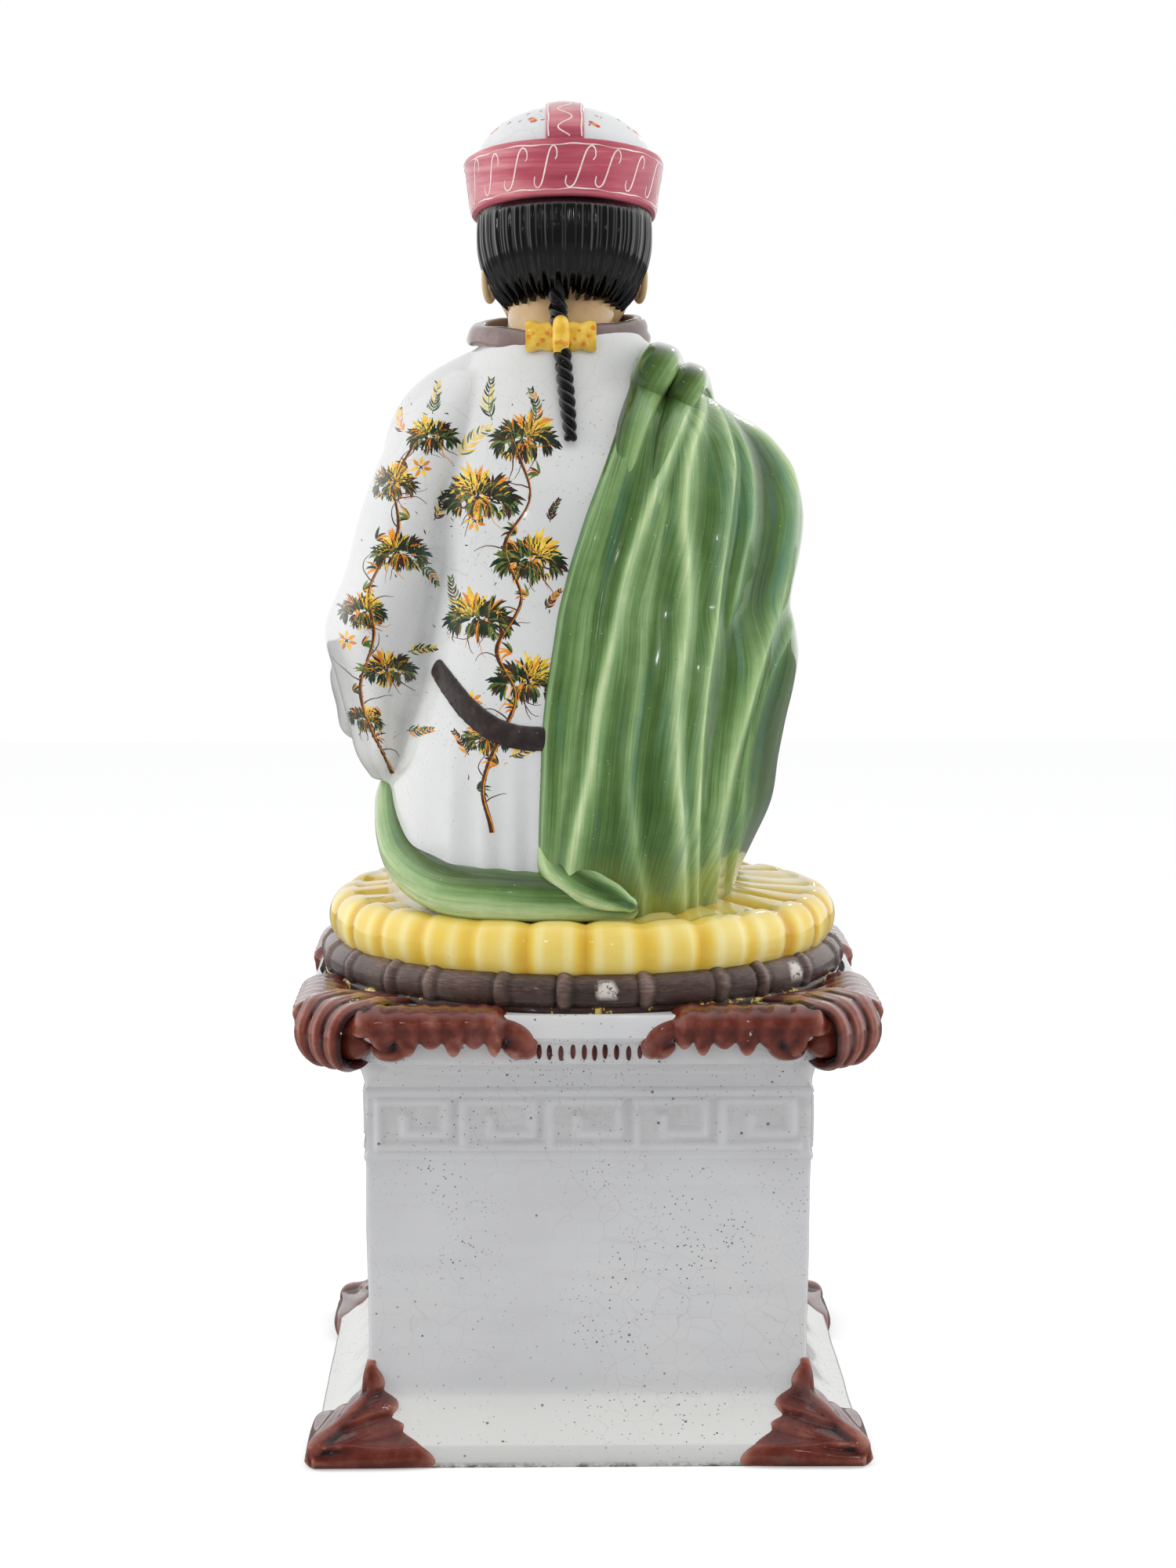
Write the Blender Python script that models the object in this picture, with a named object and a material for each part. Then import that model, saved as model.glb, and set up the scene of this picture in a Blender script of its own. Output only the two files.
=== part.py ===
"""Seated figure of tin-glazed terracotta on its square pedestal, seen from behind.

The figure faces +Y and sits on a gadrooned cushion inside a bamboo ring. Its foot drops into a
round recess on top of the pedestal, which is hollow and open below. A small clay disc levels
one corner. The origin is the middle of the pedestal's base, on the ground.
"""

import math

import bmesh
import bpy
import numpy as np
from mathutils import Vector

for old in list(bpy.data.objects):
    bpy.data.objects.remove(old, do_unlink=True)

# Pedestal
PLINTH_WIDTH = 0.351
BAND_HEIGHT = 0.0150
PLINTH_HEIGHT = 0.0370
DIE_WIDTH = 0.2836
DIE_FLARE = 0.0030
CORNICE_HEIGHT = 0.0330
CORNICE_WIDTH = 0.3630
CORNER_CUT = 0.0400
PEDESTAL_HEIGHT = 0.2950
COVE_HEIGHT = 0.0220
WALL = 0.0120

# Fret band
FRET_DROP = 0.0020
FRET_HEIGHT = 0.0430
FRET_UNITS = 5
FRET_LINE = 0.0045
FRET_RELIEF = 0.0012
FILLET_RELIEF = 0.0014

# Acanthus leaves
ARM_INNER = 0.0345
ARM_ROLL = 0.0104
ARM_LOBES = 7
LOBE_RADIUS = 0.0064
LOBE_DROP = 0.0125
VOLUTE_RADIUS = 0.0230
VOLUTE_WIDTH = 0.0360
VOLUTE_PROUD = 0.0180
FOOT_LEAF_INNER = 0.0990
FOOT_LEAF_ROLL = 0.0098
FOOT_LEAF_CLIMB = 0.0250

# Seat of the figure in the pedestal
RECESS_DEPTH = 0.0070
RECESS_CLEARANCE = 0.0040
GAP = 0.0003

# Levelling pad under one corner, where the foot is ground away
PAD_RADIUS = 0.0130
PAD_HEIGHT = 0.0030
PAD_INSET = 0.0005

# Foot, bamboo ring and cushion
SHIFT_X = -0.0020
FOOT_RADIUS = 0.1745
FOOT_HEIGHT = 0.0120
BAMBOO_RADIUS = 0.1640
BAMBOO_HALF = 0.0125
BAMBOO_NODES = 20
CUSHION_RADIUS = 0.1715
CUSHION_HEIGHT = 0.0380
CUSHION_LOBES = 32
CUSHION_GROOVE = 0.0028

# Body
TORSO_X = -0.0115
TORSO_HEIGHT = 0.3720
TORSO_WIDTH = 0.2440
TORSO_BACK = 0.1400
TORSO_FRONT = 0.1000
MANTLE_THICKNESS = 0.0080
FOLD_HEIGHT = 0.0075
FOLD_SPREAD = 0.0105
LAP_RADIUS = 0.0400
KNEE_LEFT = 0.1080
KNEE_RIGHT = 0.0880
KNEE_Y = 0.0900
KNEE_RISE = 0.0220
ROLL_RADIUS = 0.0170
COLLAR_RADIUS = 0.0555
COLLAR_ROLL = 0.0075
BELT_WIDTH = 0.0140

# Head
HEAD_LIFT = 0.0460
HEAD_WIDTH = 0.1060
HEAD_DEPTH = 0.1340
HEAD_HEIGHT = 0.1480
HEAD_TILT = 10.0
NECK_RADIUS = 0.0360
HAIR_THICKNESS = 0.0050
HAT_LOW_RADIUS = 0.0615
HAT_TOP_RADIUS = 0.0668
HAT_BAND_HEIGHT = 0.0365
HAT_DOME_RISE = 0.0400
STRAP_WIDTH = 0.0250
BRAID_RADIUS = 0.0052
BRAID_LENGTH = 0.0980
BOW_WIDTH = 0.0460
BOW_HEIGHT = 0.0180

# Mesh of the fired-together figure
CLAY_GRAIN = 0.0028
FIGURE_TRIANGLES = 7800
LEAF_GRAIN = 0.0020
LEAF_TRIANGLES = 4600

HALF_PLINTH = PLINTH_WIDTH / 2
HALF_DIE = DIE_WIDTH / 2
HALF_CORNICE = CORNICE_WIDTH / 2
CORNICE_Z = PEDESTAL_HEIGHT - CORNICE_HEIGHT
FRET_Z = CORNICE_Z - COVE_HEIGHT - FRET_DROP - FRET_HEIGHT
VOLUTE_REACH = (2 * HALF_CORNICE - CORNER_CUT) / math.sqrt(2) + VOLUTE_PROUD
RECESS_Z = PEDESTAL_HEIGHT - RECESS_DEPTH
FIGURE_Z = RECESS_Z + GAP
BAMBOO_Z = FOOT_HEIGHT + BAMBOO_HALF / 2
CUSHION_Z = BAMBOO_Z + BAMBOO_HALF * 0.45
SEAT_Z = CUSHION_Z + CUSHION_HEIGHT
HEAD_Z = SEAT_Z + TORSO_HEIGHT + HEAD_LIFT


def material(name, colour, roughness, coat=0.0):
    mat = bpy.data.materials.new(name)
    mat.use_nodes = True
    shader = mat.node_tree.nodes["Principled BSDF"]
    shader.inputs["Base Color"].default_value = (*colour, 1.0)
    shader.inputs["Roughness"].default_value = roughness
    shader.inputs["Metallic"].default_value = 0.0
    shader.inputs["Coat Weight"].default_value = coat
    mat.diffuse_color = (*colour, 1.0)
    return mat


def solid(name, points, faces, mat=None, guide=False):
    mesh = bpy.data.meshes.new(name)
    mesh.from_pydata([tuple(p) for p in points], [], faces)
    mesh.validate()
    bm = bmesh.new()
    bm.from_mesh(mesh)
    bmesh.ops.remove_doubles(bm, verts=bm.verts, dist=1e-7)
    bmesh.ops.recalc_face_normals(bm, faces=bm.faces)
    bm.to_mesh(mesh)
    bm.free()
    obj = bpy.data.objects.new(name, mesh)
    bpy.context.scene.collection.objects.link(obj)
    if mat:
        mesh.materials.append(mat)
    if guide:
        obj.hide_render = True
        obj.display_type = "WIRE"
    return obj


def loft(rings):
    """Points and faces of a closed skin over rings of equal length, with fan caps."""
    rings = [np.asarray(ring, float) for ring in rings]
    count = len(rings[0])
    points = [p for ring in rings for p in ring]
    faces = []
    for i in range(len(rings) - 1):
        low = i * count
        for j in range(count):
            k = (j + 1) % count
            faces.append((low + j, low + k, low + count + k, low + count + j))
    for ring, start, turn in ((rings[0], 0, True), (rings[-1], len(points) - count, False)):
        middle = len(points)
        points.append(ring.mean(axis=0))
        for j in range(count):
            k = (j + 1) % count
            faces.append((start + k, start + j, middle) if turn else (start + j, start + k, middle))
    return points, faces


def track(keys, t):
    """Smooth value at t through rows of (t, value, ...)."""
    keys = np.asarray(keys, float)
    slope = np.gradient(keys[:, 1:], keys[:, 0], axis=0)
    t = min(max(t, keys[0, 0]), keys[-1, 0])
    i = min(int(np.searchsorted(keys[:, 0], t, side="right")) - 1, len(keys) - 2)
    span = keys[i + 1, 0] - keys[i, 0]
    s = (t - keys[i, 0]) / span
    h = (2 * s**3 - 3 * s**2 + 1, s**3 - 2 * s**2 + s, 3 * s**2 - 2 * s**3, s**3 - s**2)
    low, high = keys[i, 1:], keys[i + 1, 1:]
    return h[0] * low + h[1] * span * slope[i] + h[2] * high + h[3] * span * slope[i + 1]


def curve_points(keys, steps):
    """Rows of a smooth curve through rows of equal spacing in t."""
    rows = [(i / (len(keys) - 1), *row) for i, row in enumerate(keys)]
    return np.array([track(rows, i / steps) for i in range(steps + 1)])


def oval(cx, left, right, back, front, z, power=2.3, sides=48):
    """Level ring, from the back through +X, with its own reach on each side."""
    ring = []
    for i in range(sides):
        turn = 2 * math.pi * i / sides
        s, c = math.sin(turn), math.cos(turn)
        x = (right if s > 0 else -left) * abs(s) ** (2 / power)
        y = (-back if c > 0 else front) * abs(c) ** (2 / power)
        ring.append((cx + x, y, z))
    return ring


def tube(keys, sides=12, steps=16, flat=1.0):
    """Tapered limb through rows of (x, y, z, radius) with rounded ends."""
    rows = curve_points(keys, steps)
    path, radii = rows[:, :3], rows[:, 3]
    ends = []
    for sign, at in ((-1, 0), (1, steps)):
        direction = path[min(at + 1, steps)] - path[max(at - 1, 0)]
        direction /= np.linalg.norm(direction)
        caps = [(path[at] + sign * direction * radii[at] * math.sin(a), radii[at] * math.cos(a))
                for a in (0.5, 1.0, 1.35)]
        ends.append(caps)
    stations = ends[0][::-1] + list(zip(path, radii)) + ends[1]
    centres = np.array([s[0] for s in stations])
    rings = []
    side = None
    for i, (centre, radius) in enumerate(stations):
        along = centres[min(i + 1, len(stations) - 1)] - centres[max(i - 1, 0)]
        along /= np.linalg.norm(along)
        if side is None:
            side = np.cross(along, (0.0, 0.0, 1.0))
            if np.linalg.norm(side) < 0.2:
                side = np.cross(along, (0.0, 1.0, 0.0))
        side = side - along * side.dot(along)
        side /= np.linalg.norm(side)
        up = np.cross(side, along)
        rings.append([centre + radius * (math.cos(a) * side + flat * math.sin(a) * up)
                      for a in (2 * math.pi * j / sides for j in range(sides))])
    return loft(rings)


def ball(centre, size, tilt=0.0, rows=14, sides=24):
    """Ellipsoid of half sizes, tilted forward about X by degrees."""
    rings = []
    a = math.radians(tilt)
    for i in range(1, rows):
        v = -math.pi / 2 + math.pi * i / rows
        ring = []
        for j in range(sides):
            u = 2 * math.pi * j / sides
            x = size[0] * math.cos(v) * math.cos(u)
            y = size[1] * math.cos(v) * math.sin(u)
            z = size[2] * math.sin(v)
            ring.append((centre[0] + x,
                         centre[1] + y * math.cos(a) + z * math.sin(a),
                         centre[2] - y * math.sin(a) + z * math.cos(a)))
        rings.append(ring)
    return loft(rings)


def torso_section(t):
    """Left, right, back and front reach of the robe at height t from seat to neck."""
    half = TORSO_WIDTH / 2
    keys = [(0.00, 0.98, 0.88, 0.97, 1.00), (0.13, 1.00, 0.92, 1.00, 1.00),
            (0.27, 0.95, 0.94, 0.96, 0.92), (0.40, 0.89, 0.97, 0.89, 0.85),
            (0.56, 0.85, 0.97, 0.80, 0.78), (0.73, 0.82, 0.88, 0.70, 0.70),
            (0.83, 0.72, 0.74, 0.57, 0.60), (0.91, 0.60, 0.58, 0.44, 0.52),
            (0.965, 0.49, 0.49, 0.36, 0.46), (1.00, 0.40, 0.40, 0.31, 0.42)]
    left, right, back, front = track(keys, t)
    return left * half, right * half, back * TORSO_BACK, front * TORSO_FRONT


def torso():
    rings = []
    for i in range(33):
        t = i / 32
        left, right, back, front = torso_section(t)
        rings.append(oval(TORSO_X, left, right, back, front, SEAT_Z - 0.01 + t * (TORSO_HEIGHT + 0.01)))
    return loft(rings)


def mantle_edges(t):
    """Inner edge and outer reach of the mantle, as shares of the torso's half width, at height t."""
    keys = [(0.00, -0.25, 0.84), (0.10, -0.27, 0.955), (0.255, -0.25, 1.092), (0.40, -0.215, 1.178),
            (0.50, -0.165, 1.16), (0.575, -0.115, 1.15), (0.66, -0.036, 1.198), (0.75, 0.065, 1.157),
            (0.808, 0.132, 1.066), (0.836, 0.165, 1.00), (0.87, 0.21, 0.86), (0.92, 0.278, 0.70),
            (0.96, 0.345, 0.61), (1.00, 0.40, 0.48)]
    return track(keys, t)


def ridge_places(t):
    """X of each crest of the folds at height t, from its share of the mantle's width at five heights."""
    heights = (0.0, 0.22, 0.476, 0.733, 0.86)
    crests = ((0.12, 0.116, 0.11, 0.13, 0.21), (0.16, 0.18, 0.23, 0.31, 0.44),
              (0.54, 0.39, 0.38, 0.36, 0.48), (0.74, 0.58, 0.54, 0.49, 0.66),
              (0.84, 0.69, 0.664, 0.69, 0.80), (0.93, 0.79, 0.79, 0.82, 0.93))
    places = []
    for shares in crests:
        rows = []
        for height, share in zip(heights, shares):
            inner, outer = mantle_edges(height)
            rows.append((height, (inner + share * (outer - inner)) * TORSO_WIDTH / 2))
        rows.append((1.0, (0.40 + 0.10 * (shares[-1] - 0.2)) * TORSO_WIDTH / 2))
        places.append(float(track(rows, t)[0]))
    return places


def fold_relief(x, u, crests):
    """Height of the mantle's folds: sharp crests with hollow cloth between, then broad side folds."""
    high = 0.0
    for k, crest in enumerate(crests):
        weight = 0.45 if k == 0 else 0.9
        fade = min(1.0, max(0.0, (1.03 - u) / 0.05))
        high = max(high, weight * fade * math.exp(-abs(x - crest) / FOLD_SPREAD))
    for at in (0.975, 1.16, 1.36, 1.56, 1.76):
        high = max(high, 0.85 * math.exp(-abs(u - at) / 0.075))
    return FOLD_HEIGHT * high


def mantle():
    """Wrap of cloth over the right side: a fluted skin closed through the body, domed on the shoulder."""
    rings = []
    half = TORSO_WIDTH / 2
    for t in list(np.linspace(0, 0.94, 58)) + [0.955, 0.968, 0.98, 0.99, 0.997, 1.0]:
        inner, outer = mantle_edges(t) * half
        crests = ridge_places(t)
        left, right, back, front = torso_section(min(t, 0.93))
        dome = math.sqrt(max(0.0, 1 - (max(0.0, t - 0.94) / 0.063) ** 2))
        reach = outer - TORSO_X
        depth = (back + MANTLE_THICKNESS) * (0.16 + 0.84 * dome)
        fore = (front + MANTLE_THICKNESS) * (0.16 + 0.84 * dome)
        z = SEAT_Z - 0.004 + t * (TORSO_HEIGHT - 0.003)
        ring = [(inner * 0.9 + 0.006, -depth * 0.35, z), (inner, -depth * 0.80, z)]
        for j in range(109):
            k = j / 108
            if k <= 0.66:
                share = k / 0.66
                s0 = min(max((inner - TORSO_X) / reach, -0.9), 0.9)
                a = math.asin(s0) * (1 - share) + math.pi / 2 * share
            else:
                share = (k - 0.66) / 0.34
                a = math.pi / 2 + share * math.radians(62)
            s, c = math.sin(a), math.cos(a)
            bx = TORSO_X + reach * s
            by = -depth * abs(c) ** 0.87 if c > 0 else fore * abs(c) ** 0.87
            u = (bx - inner) / (outer - inner) if a <= math.pi / 2 else 1.0 + share
            edge = min(1.0, (k / 0.03)) ** 0.5
            lift = fold_relief(bx, u, crests) * (0.25 + 0.75 * dome) - MANTLE_THICKNESS * (1.0 - edge)
            lift -= 0.003 * (0.25 + 0.75 * dome)
            keep = 1 - 0.75 * math.exp(-((a - math.pi / 2) / 0.22) ** 2)
            n = Vector((s / max(reach, 0.02), -c / max(depth if c > 0 else fore, 0.02), 0)).normalized()
            ring.append((bx + n.x * lift * keep, by + n.y * lift, z))
        ring.append((TORSO_X + 0.4 * reach, fore * 0.35, z))
        rings.append(ring)
    return loft(rings)


def hem_curl():
    """Foot of the mantle's inner panel, rolled to the right over the cushion."""
    z = SEAT_Z
    return tube([(-0.0220, -0.130, z + 0.0460, 0.0120), (-0.0170, -0.136, z + 0.0315, 0.0140),
                 (-0.0060, -0.142, z + 0.0230, 0.0138), (0.0060, -0.145, z + 0.0175, 0.0122),
                 (0.0180, -0.146, z + 0.0135, 0.0098), (0.0275, -0.146, z + 0.0095, 0.0055)],
                sides=16, steps=14)


def cushion():
    rings = []
    for i in range(15):
        v = -math.pi / 2 + math.pi * (i + 0.5) / 15
        ring = []
        for j in range(CUSHION_LOBES * 6):
            a = 2 * math.pi * j / (CUSHION_LOBES * 6)
            lobe = abs(math.cos(a * CUSHION_LOBES / 2)) ** 0.8
            edge = max(0.0, math.cos(v))
            r = CUSHION_RADIUS - 0.5 * CUSHION_HEIGHT * (1 - edge ** 0.8)
            r -= CUSHION_GROOVE * (1 - lobe) * edge
            rise = 0.5 * CUSHION_HEIGHT * math.sin(v) - 0.6 * CUSHION_GROOVE * (1 - lobe) * (1 - edge)
            ring.append((r * math.sin(a), r * math.cos(a), CUSHION_Z + CUSHION_HEIGHT / 2 + rise))
        rings.append(ring)
    for share, lift in ((0.85, 0.0030), (0.70, 0.0045)):
        rings.append([(share * x, share * y, z + lift) for x, y, z in rings[14]])
    return loft(rings)


def bamboo():
    """Ring of bent bamboo: a turned ring that swells at each node."""
    rings = []
    count = BAMBOO_NODES * 8
    for i in range(13):
        v = -math.pi / 2 + math.pi * i / 12
        ring = []
        for j in range(count):
            swell = {0: 0.0018, 1: -0.0014, 7: -0.0008}.get(j % 8, -0.0002)
            r = BAMBOO_RADIUS + (BAMBOO_HALF + swell) * math.cos(v)
            a = 2 * math.pi * j / count
            ring.append((r * math.sin(a), r * math.cos(a), BAMBOO_Z + (BAMBOO_HALF + swell) * math.sin(v)))
        rings.append(ring)
    return loft(rings)


def foot():
    rings = []
    for r, z in ((FOOT_RADIUS - 0.001, 0.0), (FOOT_RADIUS, 0.002), (FOOT_RADIUS, FOOT_HEIGHT)):
        rings.append([(r * math.sin(a), r * math.cos(a), z) for a in np.linspace(0, 2 * math.pi, 97)[:-1]])
    return loft(rings)


def collar():
    """Rolled collar round the neck, low at the back."""
    rings = []
    for i in range(49):
        a = 2 * math.pi * i / 48
        centre = np.array([COLLAR_RADIUS * math.sin(a), -0.84 * COLLAR_RADIUS * math.cos(a), 0.0])
        out = centre / np.linalg.norm(centre)
        z = SEAT_Z + TORSO_HEIGHT - 0.002 - 0.004 * math.cos(a)
        rings.append([(TORSO_X - 0.004 + centre[0] + out[0] * COLLAR_ROLL * math.cos(b),
                       0.004 + centre[1] + out[1] * COLLAR_ROLL * math.cos(b),
                       z + COLLAR_ROLL * math.sin(b))
                      for b in (2 * math.pi * j / 10 for j in range(10))])
    points = [p for ring in rings[:-1] for p in ring]
    faces = []
    for i in range(48):
        k = (i + 1) % 48
        for j in range(10):
            m = (j + 1) % 10
            faces.append((i * 10 + j, i * 10 + m, k * 10 + m, k * 10 + j))
    return points, faces


def in_head(x, y, z):
    """Point of the tilted head, from its middle, in the figure's frame."""
    a = math.radians(HEAD_TILT)
    c, s = math.cos(a), math.sin(a)
    return (TORSO_X + x, 0.010 + y * c + z * s, HEAD_Z - y * s + z * c)


def head():
    """Skull, jaw, ears, nose, brow, lips and cheeks of a calm, plain face."""
    w, d, h = HEAD_WIDTH / 2, HEAD_DEPTH / 2, HEAD_HEIGHT / 2
    forms = [ball(in_head(0, 0, 0.15 * h), (w, d, 0.85 * h), HEAD_TILT),
             ball(in_head(0, 0.24 * d, -0.30 * h), (0.74 * w, 0.74 * d, 0.68 * h), HEAD_TILT),
             ball(in_head(0, 0.74 * d, -0.76 * h), (0.30 * w, 0.20 * d, 0.17 * h), HEAD_TILT),
             tube([(*in_head(0, 0.93 * d, 0.10 * h), 0.0045), (*in_head(0, 1.04 * d, -0.10 * h), 0.0060),
                   (*in_head(0, 1.08 * d, -0.25 * h), 0.0085)], sides=10, steps=6),
             ball(in_head(0, 0.98 * d, -0.52 * h), (0.30 * w, 0.10 * d, 0.075 * h), HEAD_TILT)]
    for side in (-1, 1):
        ear = in_head(side * 0.98 * w, -0.02 * d, -0.12 * h)
        cheek = in_head(side * 0.50 * w, 0.70 * d, -0.22 * h)
        forms.append(ball(ear, (0.0060, 0.0110, 0.0185), HEAD_TILT))
        forms.append(ball(cheek, (0.0190, 0.0150, 0.0240), HEAD_TILT))
    neck = HEAD_Z - HEAD_HEIGHT * 0.75
    forms.append(tube([(TORSO_X - 0.003, -0.004, neck, NECK_RADIUS * 1.1),
                       (TORSO_X - 0.002, 0.002, (neck + HEAD_Z) / 2, NECK_RADIUS),
                       (TORSO_X, 0.008, HEAD_Z, NECK_RADIUS)], sides=24, steps=8))
    return forms


def hair():
    """Cropped hair below the hat: a grooved cap over the back of the skull."""
    w, d, h = HEAD_WIDTH / 2, HEAD_DEPTH / 2, HEAD_HEIGHT / 2
    rings = []
    for i in range(9):
        v = i / 8
        z = (-0.34 + 0.95 * v) * h
        keys = [(0.0, 0.72), (0.06, 0.79), (0.2, 0.90), (0.42, 0.985), (0.62, 1.0), (1.0, 0.97)]
        swell = track(keys, v)[0]
        ring = []
        for j in range(96):
            a = 2 * math.pi * j / 96
            groove = 0.0010 * math.cos(a * 44)
            thick = HAIR_THICKNESS * (1.0 if math.cos(a) > -0.1 else -1.2)
            x = ((w + thick) * swell + groove) * math.sin(a)
            y = -((d * 0.96 + thick) * swell + groove) * math.cos(a)
            ring.append(in_head(x, y, z))
        rings.append(ring)
    return loft(rings)


def hat():
    """Flared brim band, low dome and the strap that crosses it."""
    low = 0.40 * HEAD_HEIGHT / 2
    top = low + HAT_BAND_HEIGHT
    rows = [(HAT_LOW_RADIUS * 0.90, low), (HAT_LOW_RADIUS, low + 0.001), (HAT_TOP_RADIUS, top - 0.002),
            (HAT_TOP_RADIUS - 0.002, top), (HAT_TOP_RADIUS - 0.006, top)]
    band = loft([[in_head(r * math.sin(a), 1.06 * r * -math.cos(a), z)
                  for a in np.linspace(0, 2 * math.pi, 65)[:-1]] for r, z in rows])
    dome = ball(in_head(0, 0, top - 0.004), (HAT_TOP_RADIUS - 0.008, HAT_TOP_RADIUS - 0.005, HAT_DOME_RISE),
                HEAD_TILT)
    strap = []
    for i in range(13):
        a = math.pi * i / 12
        ring = []
        for side, lift in ((-1, -0.004), (1, -0.004), (1, 0.0025), (-1, 0.0025)):
            r = HAT_TOP_RADIUS - 0.005 + lift
            ring.append(in_head(side * STRAP_WIDTH / 2, -r * math.cos(a),
                                top - 0.004 + (HAT_DOME_RISE + lift) * math.sin(a)))
        strap.append(ring)
    return [band, dome, loft(strap)]


def braid_path():
    start = Vector(in_head(-0.006, -0.60 * HEAD_DEPTH / 2 - 0.012, -0.36 * HEAD_HEIGHT / 2))
    rows = []
    for i in range(7):
        t = i / 6
        z = start.z - t * BRAID_LENGTH
        rise = max(0.0, min(1.0, (z - SEAT_Z) / TORSO_HEIGHT))
        back = torso_section(rise)[2] if rise < 1.0 else 0.0
        y = min(start.y + 0.004, -back - 0.004) if z < SEAT_Z + TORSO_HEIGHT + 0.004 else start.y + 0.004
        if z < SEAT_Z + TORSO_HEIGHT + 0.012:
            y = min(y, -0.84 * COLLAR_RADIUS - COLLAR_ROLL + 0.003)
        rows.append((start.x + 0.009 * t, y, z, BRAID_RADIUS * (1.0 if t < 0.8 else 1.8 - t)))
    return rows


def braid():
    return tube(braid_path(), sides=10, steps=24)


def bow():
    rows = curve_points(braid_path(), 24)
    x, y, z = rows[8][:3]
    forms = [ball((x, y - 0.003, z), (0.0065, 0.0055, BOW_HEIGHT * 0.46))]
    for side in (-1, 1):
        rings = []
        for i in range(8):
            s = i / 7
            high = BOW_HEIGHT / 2 * (0.55 + 0.45 * math.sin(math.pi * min(1.0, s * 0.62 + 0.1)))
            reach = side * s * BOW_WIDTH / 2
            rings.append([(x + reach, y + 0.003 + 0.0045 * math.cos(a), z + high * math.sin(a))
                          for a in (2 * math.pi * j / 12 for j in range(12))])
        forms.append(loft(rings))
    return forms


def sleeve():
    """Left arm under its wide sleeve, the sleeve's hanging tip and the forearm."""
    keys = [(0.20, -0.128, 0.012, -0.040, 0.020), (0.24, -0.130, 0.019, -0.058, 0.030),
            (0.30, -0.129, 0.026, -0.070, 0.045), (0.38, -0.128, 0.035, -0.082, 0.060),
            (0.46, -0.131, 0.040, -0.088, 0.062), (0.57, -0.122, 0.036, -0.090, 0.050),
            (0.68, -0.113, 0.034, -0.085, 0.040), (0.78, -0.101, 0.032, -0.072, 0.034),
            (0.86, -0.087, 0.031, -0.058, 0.030), (0.93, -0.068, 0.022, -0.036, 0.022)]
    half = TORSO_WIDTH / 2
    rings = []
    for i in range(29):
        t = keys[0][0] + (keys[-1][0] - keys[0][0]) * i / 28
        cx, w, back, front = track(keys, t)
        z = SEAT_Z + t * TORSO_HEIGHT
        middle = (front + back) / 2
        ring = [(half / 0.122 * cx + w * math.sin(a), middle - (front - back) / 2 * math.cos(a), z)
                for a in (2 * math.pi * j / 28 for j in range(28))]
        rings.append(ring)
    elbow, wrist = SEAT_Z + 0.45 * TORSO_HEIGHT, SEAT_Z + 0.31 * TORSO_HEIGHT
    forearm = tube([(-0.128, 0.000, elbow, 0.036), (-0.138, 0.040, (elbow + wrist) / 2, 0.034),
                    (-0.142, 0.076, wrist, 0.030)], sides=20, steps=8)
    high = SEAT_Z + TORSO_HEIGHT
    shoulder = tube([(-0.028, -0.006, high - 0.024, 0.020), (-0.060, -0.004, high - 0.036, 0.027),
                     (-0.089, -0.006, high - 0.064, 0.036), (-0.100, -0.010, high - 0.100, 0.036)],
                    sides=20, steps=10)
    return [loft(rings), forearm, shoulder]


def right_arm():
    """Right arm that lifts the mantle outward, and its forearm to the lap."""
    shoulder, elbow = SEAT_Z + 0.770 * TORSO_HEIGHT, SEAT_Z + 0.52 * TORSO_HEIGHT
    wrist = SEAT_Z + 0.25 * TORSO_HEIGHT
    upper = tube([(0.080, 0.010, shoulder, 0.028), (0.098, 0.030, 0.5 * shoulder + 0.5 * elbow, 0.030),
                  (0.098, 0.050, elbow, 0.031)], sides=20, steps=12)
    fore = tube([(0.098, 0.050, elbow, 0.031), (0.094, 0.074, (elbow + wrist) / 2, 0.030),
                 (0.072, 0.096, wrist, 0.024)], sides=20, steps=8)
    return [upper, fore]


def hand(x, y, z, turn, side):
    """Relaxed hand, palm down, fingers slightly spread."""
    c, s = math.cos(turn), math.sin(turn)

    def at(forward, across, down):
        return (x + c * across - s * forward, y + s * across + c * forward, z - down)

    forms = [tube([(*at(-0.030, 0.0, -0.004), 0.0150), (*at(-0.008, 0.0, 0.0), 0.0170),
                   (*at(0.014, 0.0, 0.003), 0.0165)], sides=14, steps=6, flat=0.62)]
    for k in range(4):
        across = (k - 1.5) * 0.0088
        reach = 0.036 - 0.004 * abs(k - 1.3)
        forms.append(tube([(*at(0.014, across, 0.002), 0.0052),
                           (*at(0.014 + reach * 0.6, across * 1.1, 0.005), 0.0048),
                           (*at(0.014 + reach, across * 1.15, 0.014), 0.0040)], sides=8, steps=6))
    forms.append(tube([(*at(-0.012, side * 0.014, 0.002), 0.0065), (*at(0.006, side * 0.024, 0.006), 0.0056),
                       (*at(0.022, side * 0.025, 0.012), 0.0045)], sides=8, steps=6))
    return forms


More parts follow.
